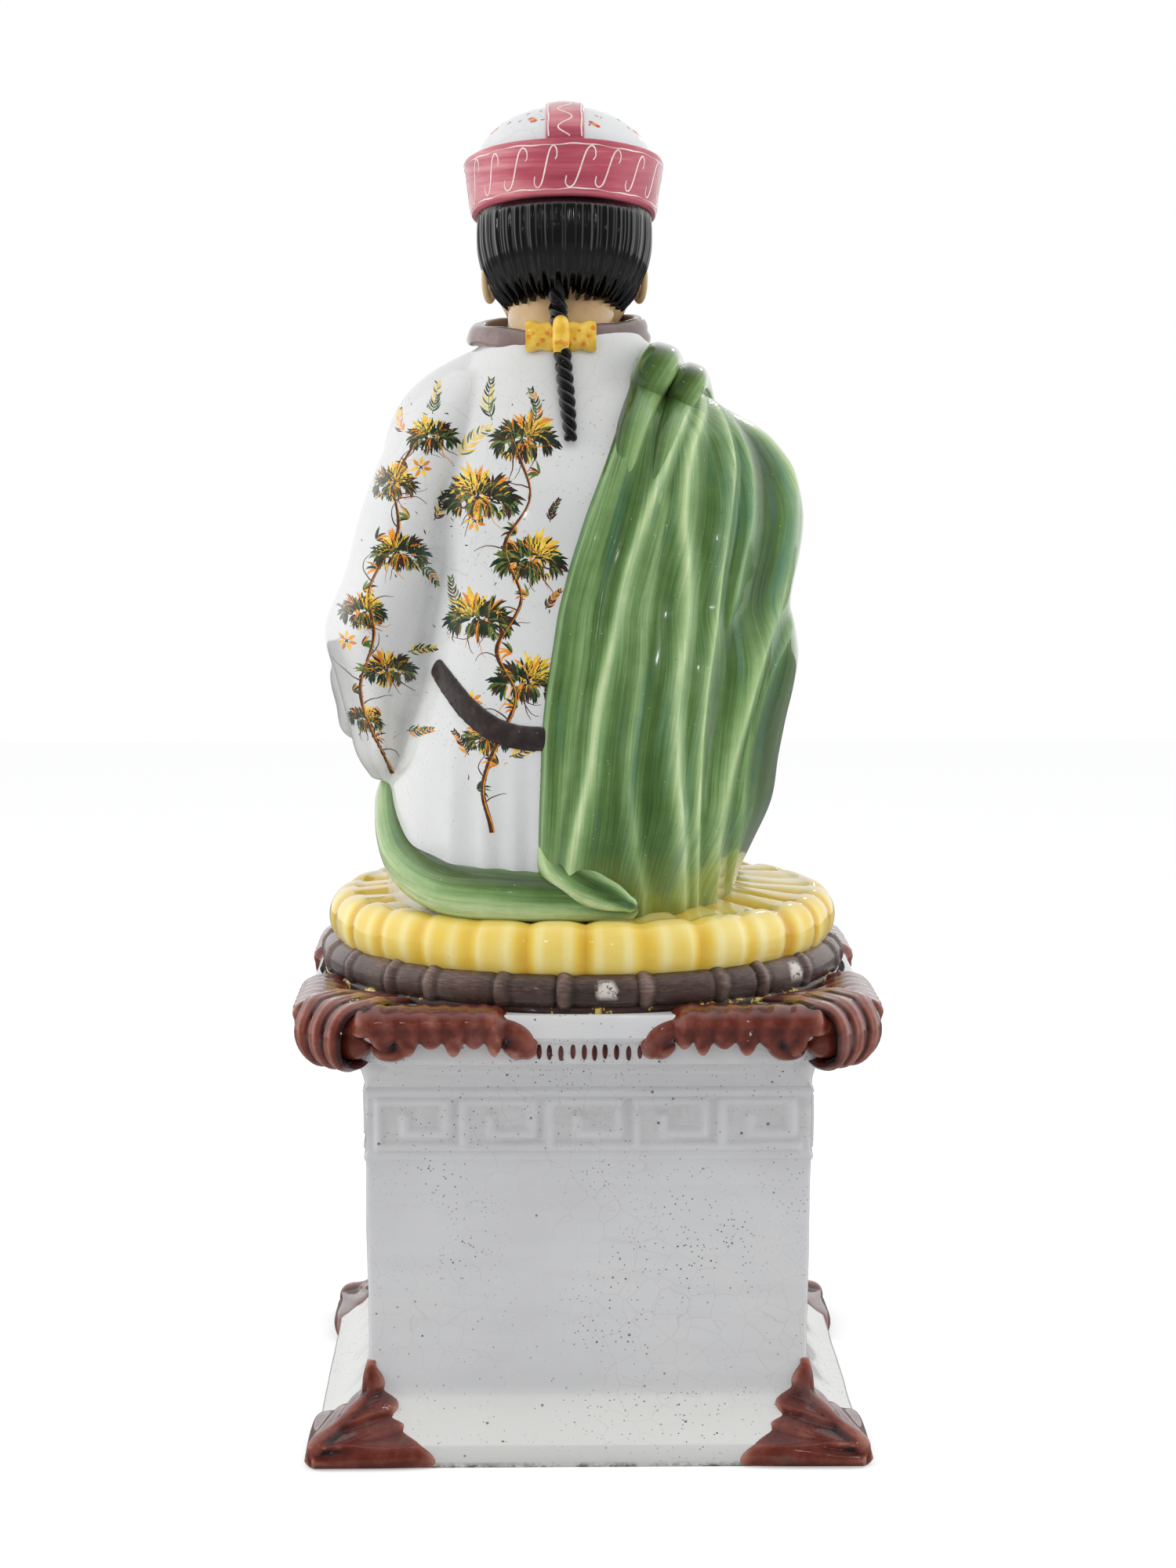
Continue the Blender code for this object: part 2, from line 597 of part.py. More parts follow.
def lap():
    """Crossed legs under the green cloth, with the roll that comes round the back."""
    z = SEAT_Z + LAP_RADIUS * 0.72
    forms = []
    for side in (-1, 1):
        knee = (-KNEE_LEFT if side < 0 else KNEE_RIGHT, KNEE_Y, z + (KNEE_RISE if side < 0 else 0.0))
        forms.append(tube([(side * 0.050, -0.010, z, LAP_RADIUS * 1.05),
                           (side * 0.080, 0.048, z + 0.006, LAP_RADIUS),
                           (*knee, LAP_RADIUS * 0.86)], sides=24, steps=10, flat=0.9))
        forms.append(tube([(*knee, LAP_RADIUS * 0.86), (side * 0.060, 0.118, z - 0.004, LAP_RADIUS * 0.80),
                           (-side * 0.012, 0.120, z - 0.006, LAP_RADIUS * 0.72)],
                          sides=24, steps=10, flat=0.9))
    forms.append(ball((TORSO_X / 2, 0.060, z - 0.004), (0.105, 0.080, LAP_RADIUS * 0.80)))
    for k in range(7):
        a = math.radians(-62 + 124 * k / 6)
        forms.append(tube([(0.060 * math.sin(a), 0.030 + 0.050 * math.cos(a), z + 0.030, 0.006),
                           (0.100 * math.sin(a), 0.048 + 0.084 * math.cos(a), z + 0.022, 0.009),
                           (0.112 * math.sin(a), 0.052 + 0.098 * math.cos(a), SEAT_Z - 0.002, 0.009)],
                          sides=10, steps=8))
    low = SEAT_Z + 0.004
    r = ROLL_RADIUS
    forms.append(tube([(-0.118, 0.010, low + 0.076, 0.66 * r), (-0.124, -0.034, low + 0.056, 0.80 * r),
                       (-0.114, -0.078, low + 0.026, r), (-0.088, -0.118, low + 0.012, r),
                       (-0.050, -0.136, low + 0.010, 0.98 * r), (-0.010, -0.141, low + 0.008, 0.85 * r),
                       (0.026, -0.136, low + 0.002, 0.50 * ROLL_RADIUS)], sides=16, steps=28))
    forms.append(tube([(-0.112, 0.014, low + 0.066, 0.018), (-0.110, 0.050, low + 0.056, 0.026),
                       (-0.096, 0.090, low + 0.044, 0.034)], sides=16, steps=8))
    return forms


def belt():
    """Dark girdle that shows as a crescent low on the back."""
    keys = [(-0.084, 0.410, 0.22), (-0.074, 0.380, 0.42), (-0.062, 0.350, 0.70),
            (-0.048, 0.325, 0.92), (-0.034, 0.312, 1.00), (-0.018, 0.306, 1.00)]
    rows = []
    for dx, t, share in curve_points(keys, 14):
        left, right, back, front = torso_section(t)
        y = -back * (1 - abs(dx / left) ** 2.3) ** (1 / 2.3)
        rows.append((TORSO_X + dx, y + 0.001, SEAT_Z + t * TORSO_HEIGHT, BELT_WIDTH / 2 * share))
    return tube(rows, sides=10, steps=20)


def build_figure(mat):
    """All forms joined as clay is: pressed into one body, then thinned to a light mesh."""
    forms = [foot(), bamboo(), cushion(), torso(), mantle(), hem_curl(), collar(), hair(), braid(), belt()]
    forms += head() + hat() + bow() + sleeve() + right_arm() + lap()
    forms += hand(-0.144, 0.098, SEAT_Z + 0.104, math.radians(6), 1)
    forms += hand(0.050, 0.118, SEAT_Z + 0.078, math.radians(52), 1)
    points, faces = [], []
    for form_points, form_faces in forms:
        base = len(points)
        points += [tuple(p) for p in form_points]
        faces += [tuple(base + i for i in face) for face in form_faces]
    figure = solid("seated_figure", points, faces, mat)
    press(figure, CLAY_GRAIN, FIGURE_TRIANGLES)
    cut = solid("ground_cut", *box((0, 0, -0.05), (0.6, 0.6, 0.1)), guide=True)
    cut.parent = figure
    level = figure.modifiers.new("level_foot", "BOOLEAN")
    level.operation = "DIFFERENCE"
    level.object = cut
    figure.location = (SHIFT_X, 0, FIGURE_Z)
    return figure


def box(centre, size):
    cx, cy, cz = centre
    w, d, h = (s / 2 for s in size)
    rings = [[(cx - w, cy - d, z), (cx + w, cy - d, z), (cx + w, cy + d, z), (cx - w, cy + d, z)]
             for z in (cz - h, cz + h)]
    return loft(rings)


def pedestal_profile():
    """Half width and height up the moulded side, foot to cornice."""
    top = HALF_DIE + DIE_FLARE / 2
    fillets = []
    for z in (FRET_Z, FRET_Z + FRET_HEIGHT):
        fillets += [(top, z - 0.003), (top + FILLET_RELIEF, z - 0.001), (top + FILLET_RELIEF, z + 0.001),
                    (top, z + 0.003)]
    slope = HALF_PLINTH - HALF_DIE
    foot_rows = [(HALF_PLINTH - 0.001, 0.0), (HALF_PLINTH, 0.002), (HALF_PLINTH, BAND_HEIGHT - 0.001),
                 (HALF_PLINTH - 0.002, BAND_HEIGHT + 0.001)]
    for k in (0.25, 0.5, 0.75, 0.92):
        rise = PLINTH_HEIGHT - BAND_HEIGHT
        foot_rows.append((HALF_PLINTH - 0.002 - (slope - 0.003) * k, BAND_HEIGHT + 0.001 + rise * k ** 1.25))
    foot_rows.append((HALF_DIE, PLINTH_HEIGHT + 0.007))
    cove = []
    for i in range(7):
        a = math.pi / 2 * i / 6
        cove.append((top + (HALF_CORNICE - 0.009 - top) * (1 - math.cos(a)),
                     CORNICE_Z - COVE_HEIGHT + COVE_HEIGHT * math.sin(a)))
    lip = [(HALF_CORNICE - 0.007, CORNICE_Z + 0.003), (HALF_CORNICE - 0.006, CORNICE_Z + 0.013),
           (HALF_CORNICE - 0.001, CORNICE_Z + 0.016), (HALF_CORNICE, CORNICE_Z + 0.018),
           (HALF_CORNICE, PEDESTAL_HEIGHT - 0.0015), (HALF_CORNICE - 0.0015, PEDESTAL_HEIGHT)]
    return foot_rows + fillets + cove + lip


def square_ring(w, z):
    """Level square ring; the cornice's corners are cut back to make room for the scrolls."""
    cut = 0.0005
    if z > CORNICE_Z - COVE_HEIGHT:
        cut += CORNER_CUT * min(1.0, (z - CORNICE_Z + COVE_HEIGHT) / COVE_HEIGHT) ** 1.5
    ring = []
    for sx, sy in ((-1, -1), (1, -1), (1, 1), (-1, 1)):
        pair = [(sx * w, sy * (w - cut), z), (sx * (w - cut), sy * w, z)]
        ring += pair if sx * sy > 0 else pair[::-1]
    return ring


def side_at(z):
    """Half width of the moulded side at height z."""
    rows = pedestal_profile()
    return float(np.interp(z, [r[1] for r in rows], [r[0] for r in rows]))


def cornice_arm(mirror):
    """Leaf arm on the -Y side: a smooth roll that curls down at its inner end, over hanging lobes."""
    length = HALF_CORNICE - 0.64 * CORNER_CUT - ARM_INNER
    roll = [(1.00, 0.27, 1.08), (0.89, 0.22, 1.04), (0.66, 0.20, 1.00), (0.44, 0.21, 0.94),
            (0.25, 0.26, 0.86),
            (0.13, 0.38, 0.79), (0.06, 0.58, 0.69), (0.016, 0.79, 0.56), (0.0, 0.94, 0.35)]
    forms = [tube([(mirror * (ARM_INNER + along * length), -(HALF_CORNICE - 0.0055),
                    PEDESTAL_HEIGHT - drop * CORNICE_HEIGHT, size * ARM_ROLL)
                   for along, drop, size in roll], 12, 26)]
    start = PEDESTAL_HEIGHT - 0.45 * CORNICE_HEIGHT
    for k in range(ARM_LOBES):
        x = ARM_INNER + (0.91 - 0.85 * k / ARM_LOBES) * length
        size = LOBE_RADIUS * (1.35 if k == 0 else 1.06 - 0.06 * k)
        drop = LOBE_DROP * (1.5 if k == 0 else 1.06 - 0.06 * k)
        forms.append(tube([(mirror * (x + 0.004), -(HALF_CORNICE - 0.008), start + 0.003, 0.8 * size),
                           (mirror * x, -(HALF_CORNICE - 0.0045), start - 0.35 * drop, size),
                           (mirror * (x - 0.005), -(HALF_CORNICE - 0.005), start - 0.80 * drop, 0.92 * size),
                           (mirror * (x - 0.008), -(HALF_CORNICE - 0.0085), start - drop, 0.55 * size)],
                          10, 8))
    return forms


def cornice_volute():
    """Ribbed leaf over the corner that rolls under itself round a solid core, on the -X -Y diagonal."""
    diagonal = Vector((-1, -1, 0)).normalized()
    across = Vector((1, -1, 0)).normalized()
    middle = Vector((VOLUTE_REACH - VOLUTE_RADIUS, PEDESTAL_HEIGHT + 0.0075 - VOLUTE_RADIUS))
    path = [(middle.x - 0.052, PEDESTAL_HEIGHT - 0.0005, 0.004),
            (middle.x - 0.034, PEDESTAL_HEIGHT + 0.002, 0.0064),
            (middle.x - 0.016, PEDESTAL_HEIGHT + 0.005, 0.007)]
    for i in range(19):
        a = math.pi / 2 - math.radians(21) * i
        r = VOLUTE_RADIUS * (1 - 0.030 * i) - 0.0035
        path.append((middle.x + r * math.cos(a), middle.y + r * math.sin(a), 0.0066))
    rings = []
    for i, (d, z, thick) in enumerate(path):
        before, after = path[max(i - 1, 0)], path[min(i + 1, len(path) - 1)]
        along = Vector((after[0] - before[0], after[1] - before[1])).normalized()
        normal = Vector((-along.y, along.x))
        width = VOLUTE_WIDTH / 2 * (1.45 if 0 < i < 4 else 1.0)
        ring = []
        sunk = -1.3 if i < 5 else -0.5
        for side, lift in [(-1, sunk), (1, sunk)] + [(s, 0.1 + 0.38 * abs(math.cos(2.5 * math.pi * s)))
                                                    for s in np.linspace(1, -1, 21)]:
            at = Vector((d, z)) + normal * thick * lift
            ring.append(tuple(diagonal * at.x + across * side * width + Vector((0, 0, at.y))))
        rings.append(ring)
    hub = diagonal * middle.x + Vector((0, 0, middle.y))
    reach = across * VOLUTE_WIDTH * 0.36
    core = tube([(*(hub - reach), 0.62 * VOLUTE_RADIUS), (*hub, 0.66 * VOLUTE_RADIUS),
                 (*(hub + reach), 0.62 * VOLUTE_RADIUS)], 16, 4)
    root = hub - diagonal * 2.2 * VOLUTE_RADIUS
    stem = tube([(root.x, root.y, hub.z, 0.5 * VOLUTE_RADIUS), (*hub, 0.6 * VOLUTE_RADIUS)], 12, 4)
    return [loft(rings), core, stem]


def foot_leaf(mirror):
    """Half of an acanthus leaf round the plinth's corner: stacked lobes and a flame up the die."""
    span = HALF_PLINTH - FOOT_LEAF_INNER
    lobes = [((0.085, 0.28, 1.02), (0.33, 0.30, 0.97), (0.60, 0.28, 0.82), (0.82, 0.23, 0.63),
              (1.0, 0.14, 0.37)),
             ((0.15, 0.10, 0.61), (0.44, 0.11, 0.51), (0.74, 0.08, 0.31)),
             ((0.12, 0.49, 0.87), (0.40, 0.51, 0.77), (0.61, 0.50, 0.61), (0.77, 0.43, 0.31)),
             ((0.23, 0.68, 0.77), (0.44, 0.72, 0.69), (0.61, 0.69, 0.51), (0.69, 0.62, 0.27)),
             ((0.32, 0.84, 0.71), (0.48, 0.93, 0.61), (0.61, 0.91, 0.33))]
    forms = []
    for lobe in lobes:
        rows = [(s * span, z * PLINTH_HEIGHT, size * FOOT_LEAF_ROLL) for s, z, size in lobe]
        forms.append(tube([(mirror * (HALF_PLINTH - s), -side_at(z), z, r) for s, z, r in rows], 10, 12))
    spine = [(HALF_PLINTH, 0.16, 0.87), (HALF_PLINTH - 0.001, 0.40, 0.87)]
    spine += [(side_at(z * PLINTH_HEIGHT), z, size) for z, size in ((0.60, 0.82), (0.81, 0.76), (1.0, 0.68))]
    forms.append(tube([(mirror * (x - 0.002), -(x - 0.002), z * PLINTH_HEIGHT, size * FOOT_LEAF_ROLL)
                       for x, z, size in spine], 10, 12))
    flame = [(0.0, 0.0, 0.72), (0.0, 0.4, 0.50), (0.0015, 0.75, 0.30), (0.003, 1.0, 0.14)]
    forms.append(tube([(mirror * (HALF_DIE - inward), -(HALF_DIE + 0.0015),
                        PLINTH_HEIGHT + rise * FOOT_LEAF_CLIMB, size * FOOT_LEAF_ROLL)
                       for inward, rise, size in flame], 10, 10))
    return forms


def fret_key(offset, pitch):
    """One raised key of the fret, an angular hook, on the -Y side."""
    w = FRET_LINE
    span, high = pitch - 1.2 * w, FRET_HEIGHT - 0.014
    x0, z0 = offset, FRET_Z + 0.007
    line = [(0, 0), (0, high), (span, high), (span, 0.26 * high), (0.42 * span, 0.26 * high),
            (0.42 * span, 0.62 * high)]
    near, far = [], []
    for i, (x, z) in enumerate(line):
        a = Vector(line[i]) - Vector(line[i - 1]) if i else Vector(line[1]) - Vector(line[0])
        b = Vector(line[i + 1]) - Vector(line[i]) if i < len(line) - 1 else a
        a.normalize()
        b.normalize()
        na, nb = Vector((-a.y, a.x)), Vector((-b.y, b.x))
        mitre = (na + nb) if (na + nb).length > 1.5 or i in (0, len(line) - 1) else na + nb
        if i in (0, len(line) - 1):
            mitre = na
        near.append((x + mitre.x * w / 2, z + mitre.y * w / 2))
        far.append((x - mitre.x * w / 2, z - mitre.y * w / 2))
    outline = near + far[::-1]
    count = len(line)
    face = -(HALF_DIE + DIE_FLARE / 2)
    points = [(x0 + x, face + 0.002, z0 + z) for x, z in outline]
    points += [(x0 + x, face - FRET_RELIEF, z0 + z) for x, z in outline]
    n = len(outline)
    faces = []
    for i in range(n):
        k = (i + 1) % n
        faces.append((i, k, n + k, n + i))
    for i in range(count - 1):
        a, b, c, d = i, i + 1, n - 2 - i, n - 1 - i
        faces.append((d, c, b, a))
        faces.append((n + a, n + b, n + c, n + d))
    return points, faces


def turned(form, quarter):
    """The form turned about the vertical axis by quarter turns."""
    c, s = math.cos(quarter * math.pi / 2), math.sin(quarter * math.pi / 2)
    points, faces = form
    return [(p[0] * c - p[1] * s, p[0] * s + p[1] * c, p[2]) for p in points], faces


def gather(forms):
    """The forms repeated on all four sides, as one list of points and faces."""
    points, faces = [], []
    for quarter in range(4):
        for form in forms:
            form_points, form_faces = turned(form, quarter)
            base = len(points)
            points += form_points
            faces += [tuple(base + i for i in face) for face in form_faces]
    return points, faces


def press(obj, grain, triangles):
    """Presses overlapping forms into one skin, as clay is, and thins it to about the given count."""
    remesh = obj.modifiers.new("press", "REMESH")
    remesh.mode = "VOXEL"
    remesh.voxel_size = grain
    thin = obj.modifiers.new("thin", "DECIMATE")
    bpy.context.view_layer.update()
    thin.show_viewport = False
    depsgraph = bpy.context.evaluated_depsgraph_get()
    fused = obj.evaluated_get(depsgraph).to_mesh()
    fused.calc_loop_triangles()
    thin.ratio = triangles / len(fused.loop_triangles)
    obj.evaluated_get(depsgraph).to_mesh_clear()
    thin.show_viewport = True


def cylinder(centre, radius, low, high, sides):
    rings = [[(centre[0] + radius * math.cos(a), centre[1] + radius * math.sin(a), z)
              for a in (2 * math.pi * i / sides for i in range(sides))] for z in (low, high)]
    return loft(rings)


def combine(obj, other, operation):
    mod = obj.modifiers.new(other.name, "BOOLEAN")
    mod.operation = operation
    mod.object = other
    mod.solver = "EXACT"
    return mod


def pad_centre():
    reach = HALF_PLINTH - PAD_INSET - PAD_RADIUS
    return reach, -reach


def build_pedestal(mat):
    rings = [square_ring(w, z) for w, z in pedestal_profile()]
    pedestal = solid("pedestal", *loft(rings), mat)
    half = HALF_DIE + DIE_FLARE / 2
    pitch = 2 * (half - 0.008) / FRET_UNITS
    leaves = solid("leaves", *gather(cornice_volute() + cornice_arm(1) + cornice_arm(-1)
                                     + foot_leaf(1) + foot_leaf(-1)), guide=True)
    press(leaves, LEAF_GRAIN, LEAF_TRIANGLES)
    below = box((0, 0, 2 * GAP - 0.05), (0.6, 0.6, 0.1))
    combine(leaves, solid("leaf_ground_cut", *below, guide=True), "DIFFERENCE")
    combine(pedestal, leaves, "UNION")
    keys = [fret_key(-half + 0.008 + FRET_LINE / 2 + pitch * k, pitch) for k in range(FRET_UNITS)]
    combine(pedestal, solid("fret", *gather(keys), guide=True), "UNION")
    recess = solid("recess_cut", *cylinder((SHIFT_X, 0), FOOT_RADIUS + RECESS_CLEARANCE, RECESS_Z,
                                           PEDESTAL_HEIGHT + 0.05, 72), guide=True)
    combine(pedestal, recess, "DIFFERENCE")
    inside = [(HALF_PLINTH - 0.5 * WALL, -0.01), (HALF_DIE - WALL, PLINTH_HEIGHT - 0.001),
              (HALF_DIE - WALL, RECESS_Z - WALL)]
    inside = [[(-w, -w, z), (w, -w, z), (w, w, z), (-w, w, z)] for w, z in inside]
    combine(pedestal, solid("hollow_cut", *loft(inside), guide=True), "DIFFERENCE")
    x, y = pad_centre()
    reach = 2 * (PAD_RADIUS + 0.0020)
    worn = box((x + 0.5 * reach, y - 0.5 * reach, 0.0), (2 * reach, 2 * reach, 2 * (PAD_HEIGHT + GAP)))
    combine(pedestal, solid("worn_corner_cut", *worn, guide=True), "DIFFERENCE")
    return pedestal


def build_pad(mat):
    x, y = pad_centre()
    return solid("levelling_pad", *cylinder((x, y), PAD_RADIUS, 0.0, PAD_HEIGHT, 32), mat)


WHITE_GLAZE = material("white_glaze", (0.72, 0.73, 0.76), 0.18, 0.5)
FIGURE_GLAZE = material("figure_glaze", (0.74, 0.75, 0.77), 0.15, 0.5)
PAD_CLAY = material("pad_clay", (0.66, 0.58, 0.50), 0.6)

assembly = bpy.data.objects.new("assembly", None)
bpy.context.scene.collection.objects.link(assembly)
for piece in (build_pedestal(WHITE_GLAZE), build_figure(FIGURE_GLAZE), build_pad(PAD_CLAY)):
    piece.parent = assembly
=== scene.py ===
"""Glazed terracotta figure on its pedestal, dressed for the photograph's view of its back."""

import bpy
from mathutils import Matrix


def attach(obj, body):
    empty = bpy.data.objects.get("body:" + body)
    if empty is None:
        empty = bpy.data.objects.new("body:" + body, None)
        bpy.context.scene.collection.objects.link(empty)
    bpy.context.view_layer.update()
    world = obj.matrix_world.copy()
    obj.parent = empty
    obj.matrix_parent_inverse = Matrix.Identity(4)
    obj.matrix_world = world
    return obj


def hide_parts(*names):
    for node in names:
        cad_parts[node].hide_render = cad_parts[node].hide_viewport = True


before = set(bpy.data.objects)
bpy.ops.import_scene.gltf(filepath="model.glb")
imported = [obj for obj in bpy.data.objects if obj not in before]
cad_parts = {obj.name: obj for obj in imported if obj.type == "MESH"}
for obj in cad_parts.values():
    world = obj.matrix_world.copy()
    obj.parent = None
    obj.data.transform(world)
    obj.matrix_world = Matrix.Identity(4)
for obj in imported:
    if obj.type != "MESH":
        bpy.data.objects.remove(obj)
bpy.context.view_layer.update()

import math
import random

import bmesh
import bpy
import numpy as np
from mathutils import Matrix, Vector
from mathutils.bvhtree import BVHTree

# Sizes of the pedestal, in metres, as the solids have them
HALF_PLINTH = 0.1755
BAND = 0.015
PLINTH = 0.037
HALF_DIE = 0.1418
FLARE = 0.0015
CORNICE_Z = 0.262
HALF_CORNICE = 0.1815
CORNER_CUT = 0.04
TOP_Z = 0.295
COVE = 0.022
WALL = 0.012
FRET_Z = 0.195
FRET_HIGH = 0.043
KEYS = 5
RECESS_Z = 0.288
RECESS_R = 0.1785
SCROLL_R = 0.023
SCROLL_WIDTH = 0.036
SCROLL_REACH = 0.2465

# Sizes of the figure, from its own foot up; BASE is where it stands
BASE = np.array([-0.002, 0.0, 0.2883])
FOOT_R = 0.1745
FOOT_HIGH = 0.012
BAMBOO_R = 0.164
BAMBOO_HALF = 0.0125
BAMBOO_Z = FOOT_HIGH + BAMBOO_HALF / 2
CUSHION_R = 0.1715
CUSHION_HIGH = 0.038
CUSHION_Z = BAMBOO_Z + BAMBOO_HALF * 0.45
LOBES = 28
SEAT = CUSHION_Z + CUSHION_HIGH
TORSO_X = -0.0115
TORSO_HIGH = 0.372
HALF_TORSO = 0.122
TORSO_BACK = 0.14
TORSO_FRONT = 0.1
MANTLE_THICK = 0.008
FOLD = 0.0065
KNEE_HIGH = 0.04 * 0.72
HEAD_Z = SEAT + TORSO_HIGH + 0.046
HEAD_W, HEAD_D, HEAD_H = 0.053, 0.067, 0.074
HEAD_TILT = math.radians(10.0)
COLLAR_R = 0.0555
COLLAR_OVAL = 0.84
HAT_LOW, HAT_TOP = 0.0615, 0.0668
HAT_BAND = 0.0365
HAT_RISE = 0.04
HAT_OVAL = 1.06
STRAP = 0.025
BAND_LOW = 0.4 * HEAD_H
BAND_TOP = BAND_LOW + HAT_BAND
DOME_X, DOME_Y = HAT_TOP - 0.0075, HAT_TOP - 0.0045
DOME_Z = BAND_TOP - 0.004
BRAID_LONG, BRAID_TURNS = 0.098, 6.5
SCROLLS = 19           # painted on the hat's band

OUTSIDE = 0.6          # rays that look for a surface start this far from the axis

pieces = {}


def smooth(edge0, edge1, x):
    """Soft step: 0 at edge0, 1 at edge1, whichever of the two is the lower."""
    t = np.clip((x - edge0) / (edge1 - edge0), 0.0, 1.0)
    return t * t * (3 - 2 * t)


def bell(x, width):
    """Bell curve of height 1 about x = 0."""
    return np.exp(-(x / width) ** 2)


def track(keys, t):
    """Smooth rows of values at t (a number or an array) through rows of (t, value, ...)."""
    keys = np.asarray(keys, float)
    t = np.clip(np.asarray(t, float), keys[0, 0], keys[-1, 0])
    slope = np.gradient(keys[:, 1:], keys[:, 0], axis=0)
    i = np.clip(np.searchsorted(keys[:, 0], t, side="right") - 1, 0, len(keys) - 2)
    span = (keys[i + 1, 0] - keys[i, 0])[..., None]
    s = ((t - keys[i, 0])[..., None]) / span
    low, high = keys[i, 1:], keys[i + 1, 1:]
    return ((2 * s**3 - 3 * s**2 + 1) * low + (s**3 - 2 * s**2 + s) * span * slope[i]
            + (3 * s**2 - 2 * s**3) * high + (s**3 - s**2) * span * slope[i + 1])


def wobble(points, scale, seed=0.0):
    """Gentle unevenness of hand work, from a few crossed waves."""
    p = np.asarray(points, float) * scale
    x, y, z = p[..., 0], p[..., 1], p[..., 2]
    return (np.sin(1.7 * x + 2.3 * z + seed) * np.sin(2.1 * y + 1.3 * z + 2 * seed)
            + 0.6 * np.sin(3.9 * x - 3.1 * z + 3 * seed) * np.sin(3.3 * y + 2.7 * x + seed)
            + 0.35 * np.sin(7.3 * z + 5.9 * x + seed) * np.sin(6.1 * y - 5.3 * z + seed)) / 1.95


def keep(name, mesh, slot):
    """Puts a mesh in the scene as a piece that rides the root body."""
    obj = bpy.data.objects.new(name, mesh)
    bpy.context.scene.collection.objects.link(obj)
    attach(obj, "root")
    pieces[name] = obj
    return obj


def add_mesh(name, points, faces, mat, smooth_angle, attributes=None, flow=None, slot="figure_glaze"):
    """One closed piece; attributes and flow are values at its points, read by its glaze."""
    mesh = bpy.data.meshes.new(name)
    mesh.from_pydata(np.asarray(points, float).tolist(), [], faces)
    bm = bmesh.new()
    bm.from_mesh(mesh)
    if attributes is None and flow is None:
        bmesh.ops.remove_doubles(bm, verts=bm.verts, dist=1e-7)
    bmesh.ops.recalc_face_normals(bm, faces=bm.faces)
    bm.to_mesh(mesh)
    bm.free()
    for key, values in (attributes or {}).items():
        layer = mesh.attributes.new(key, "FLOAT", "POINT")
        layer.data.foreach_set("value", np.asarray(values, np.float32).ravel())
    if flow is not None:
        layer = mesh.attributes.new("flow", "FLOAT_VECTOR", "POINT")
        layer.data.foreach_set("vector", np.asarray(flow, np.float32).ravel())
    mesh.materials.append(mat)
    mesh.shade_smooth()
    mesh.set_sharp_from_angle(angle=math.radians(smooth_angle))
    return keep(name, mesh, slot)


def loft(rings):
    """Points and faces of a closed skin over rings of equal length, with fan caps."""
    rings = np.asarray(rings, float)
    n, count = rings.shape[:2]
    points = rings.reshape(-1, 3)
    faces = []
    for i in range(n - 1):
        low = i * count
        for j in range(count):
            k = (j + 1) % count
            faces.append((low + j, low + k, low + count + k, low + count + j))
    extra = [rings[0].mean(axis=0), rings[-1].mean(axis=0)]
    first, last = len(points), len(points) + 1
    for j in range(count):
        k = (j + 1) % count
        faces.append((k, j, first))
        faces.append((len(points) - count + j, len(points) - count + k, last))
    return np.vstack([points, extra]), faces


def wheel(rings):
    """Closed skin over rings that come back to the first."""
    rings = np.asarray(rings, float)
    n, count = rings.shape[:2]
    faces = []
    for i in range(n):
        k = (i + 1) % n
        for j in range(count):
            m = (j + 1) % count
            faces.append((i * count + j, i * count + m, k * count + m, k * count + j))
    return rings.reshape(-1, 3), faces


def tube(keys, sides, steps, flat=1.0, relief=None):
    """Tapered limb through rows of (x, y, z, radius) with rounded ends."""
    t = np.linspace(0, 1, steps + 1)
    rows = track([(i / (len(keys) - 1), *row) for i, row in enumerate(keys)], t)
    path, radii = rows[:, :3], rows[:, 3]
    ends = []
    for sign, at in ((-1, 0), (1, steps)):
        direction = path[min(at + 1, steps)] - path[max(at - 1, 0)]
        direction = direction / np.linalg.norm(direction)
        ends.append([(path[at] + sign * direction * radii[at] * math.sin(a), radii[at] * math.cos(a))
                     for a in (0.3, 0.6, 0.9, 1.15, 1.35, 1.48)])
    stations = ends[0][::-1] + list(zip(path, radii)) + ends[1]
    centres = np.array([s[0] for s in stations])
    rings = []
    side = None
    total = len(stations) - 1
    for i, (centre, radius) in enumerate(stations):
        along = centres[min(i + 1, total)] - centres[max(i - 1, 0)]
        along = along / np.linalg.norm(along)
        if side is None:
            side = np.cross(along, (0.0, 0.0, 1.0))
            if np.linalg.norm(side) < 0.2:
                side = np.cross(along, (0.0, 1.0, 0.0))
        side = side - along * side.dot(along)
        side = side / np.linalg.norm(side)
        up = np.cross(side, along)
        ring = []
        for j in range(sides):
            a = 2 * math.pi * j / sides
            r = radius * (1.0 + (relief(a, i / total) if relief else 0.0))
            ring.append(centre + r * (math.cos(a) * side + flat * math.sin(a) * up))
        rings.append(ring)
    return loft(rings)


def ball(centre, size, tilt=0.0, rows=28, sides=48):
    """Ellipsoid with half axes size, tipped about X by tilt."""
    v = -math.pi / 2 + math.pi * np.arange(1, rows) / rows
    u = 2 * math.pi * np.arange(sides) / sides
    v, u = np.meshgrid(v, u, indexing="ij")
    x = size[0] * np.cos(v) * np.cos(u)
    y = size[1] * np.cos(v) * np.sin(u)
    z = size[2] * np.sin(v)
    c, s = math.cos(tilt), math.sin(tilt)
    return loft(np.stack([centre[0] + x, centre[1] + y * c + z * s, centre[2] - y * s + z * c], axis=-1))


def merge(forms):
    """One list of points and faces for several forms."""
    points, faces, base = [], [], 0
    for p, f in forms:
        points.append(np.asarray(p, float))
        faces += [tuple(base + i for i in face) for face in f]
        base += len(p)
    return np.vstack(points), faces


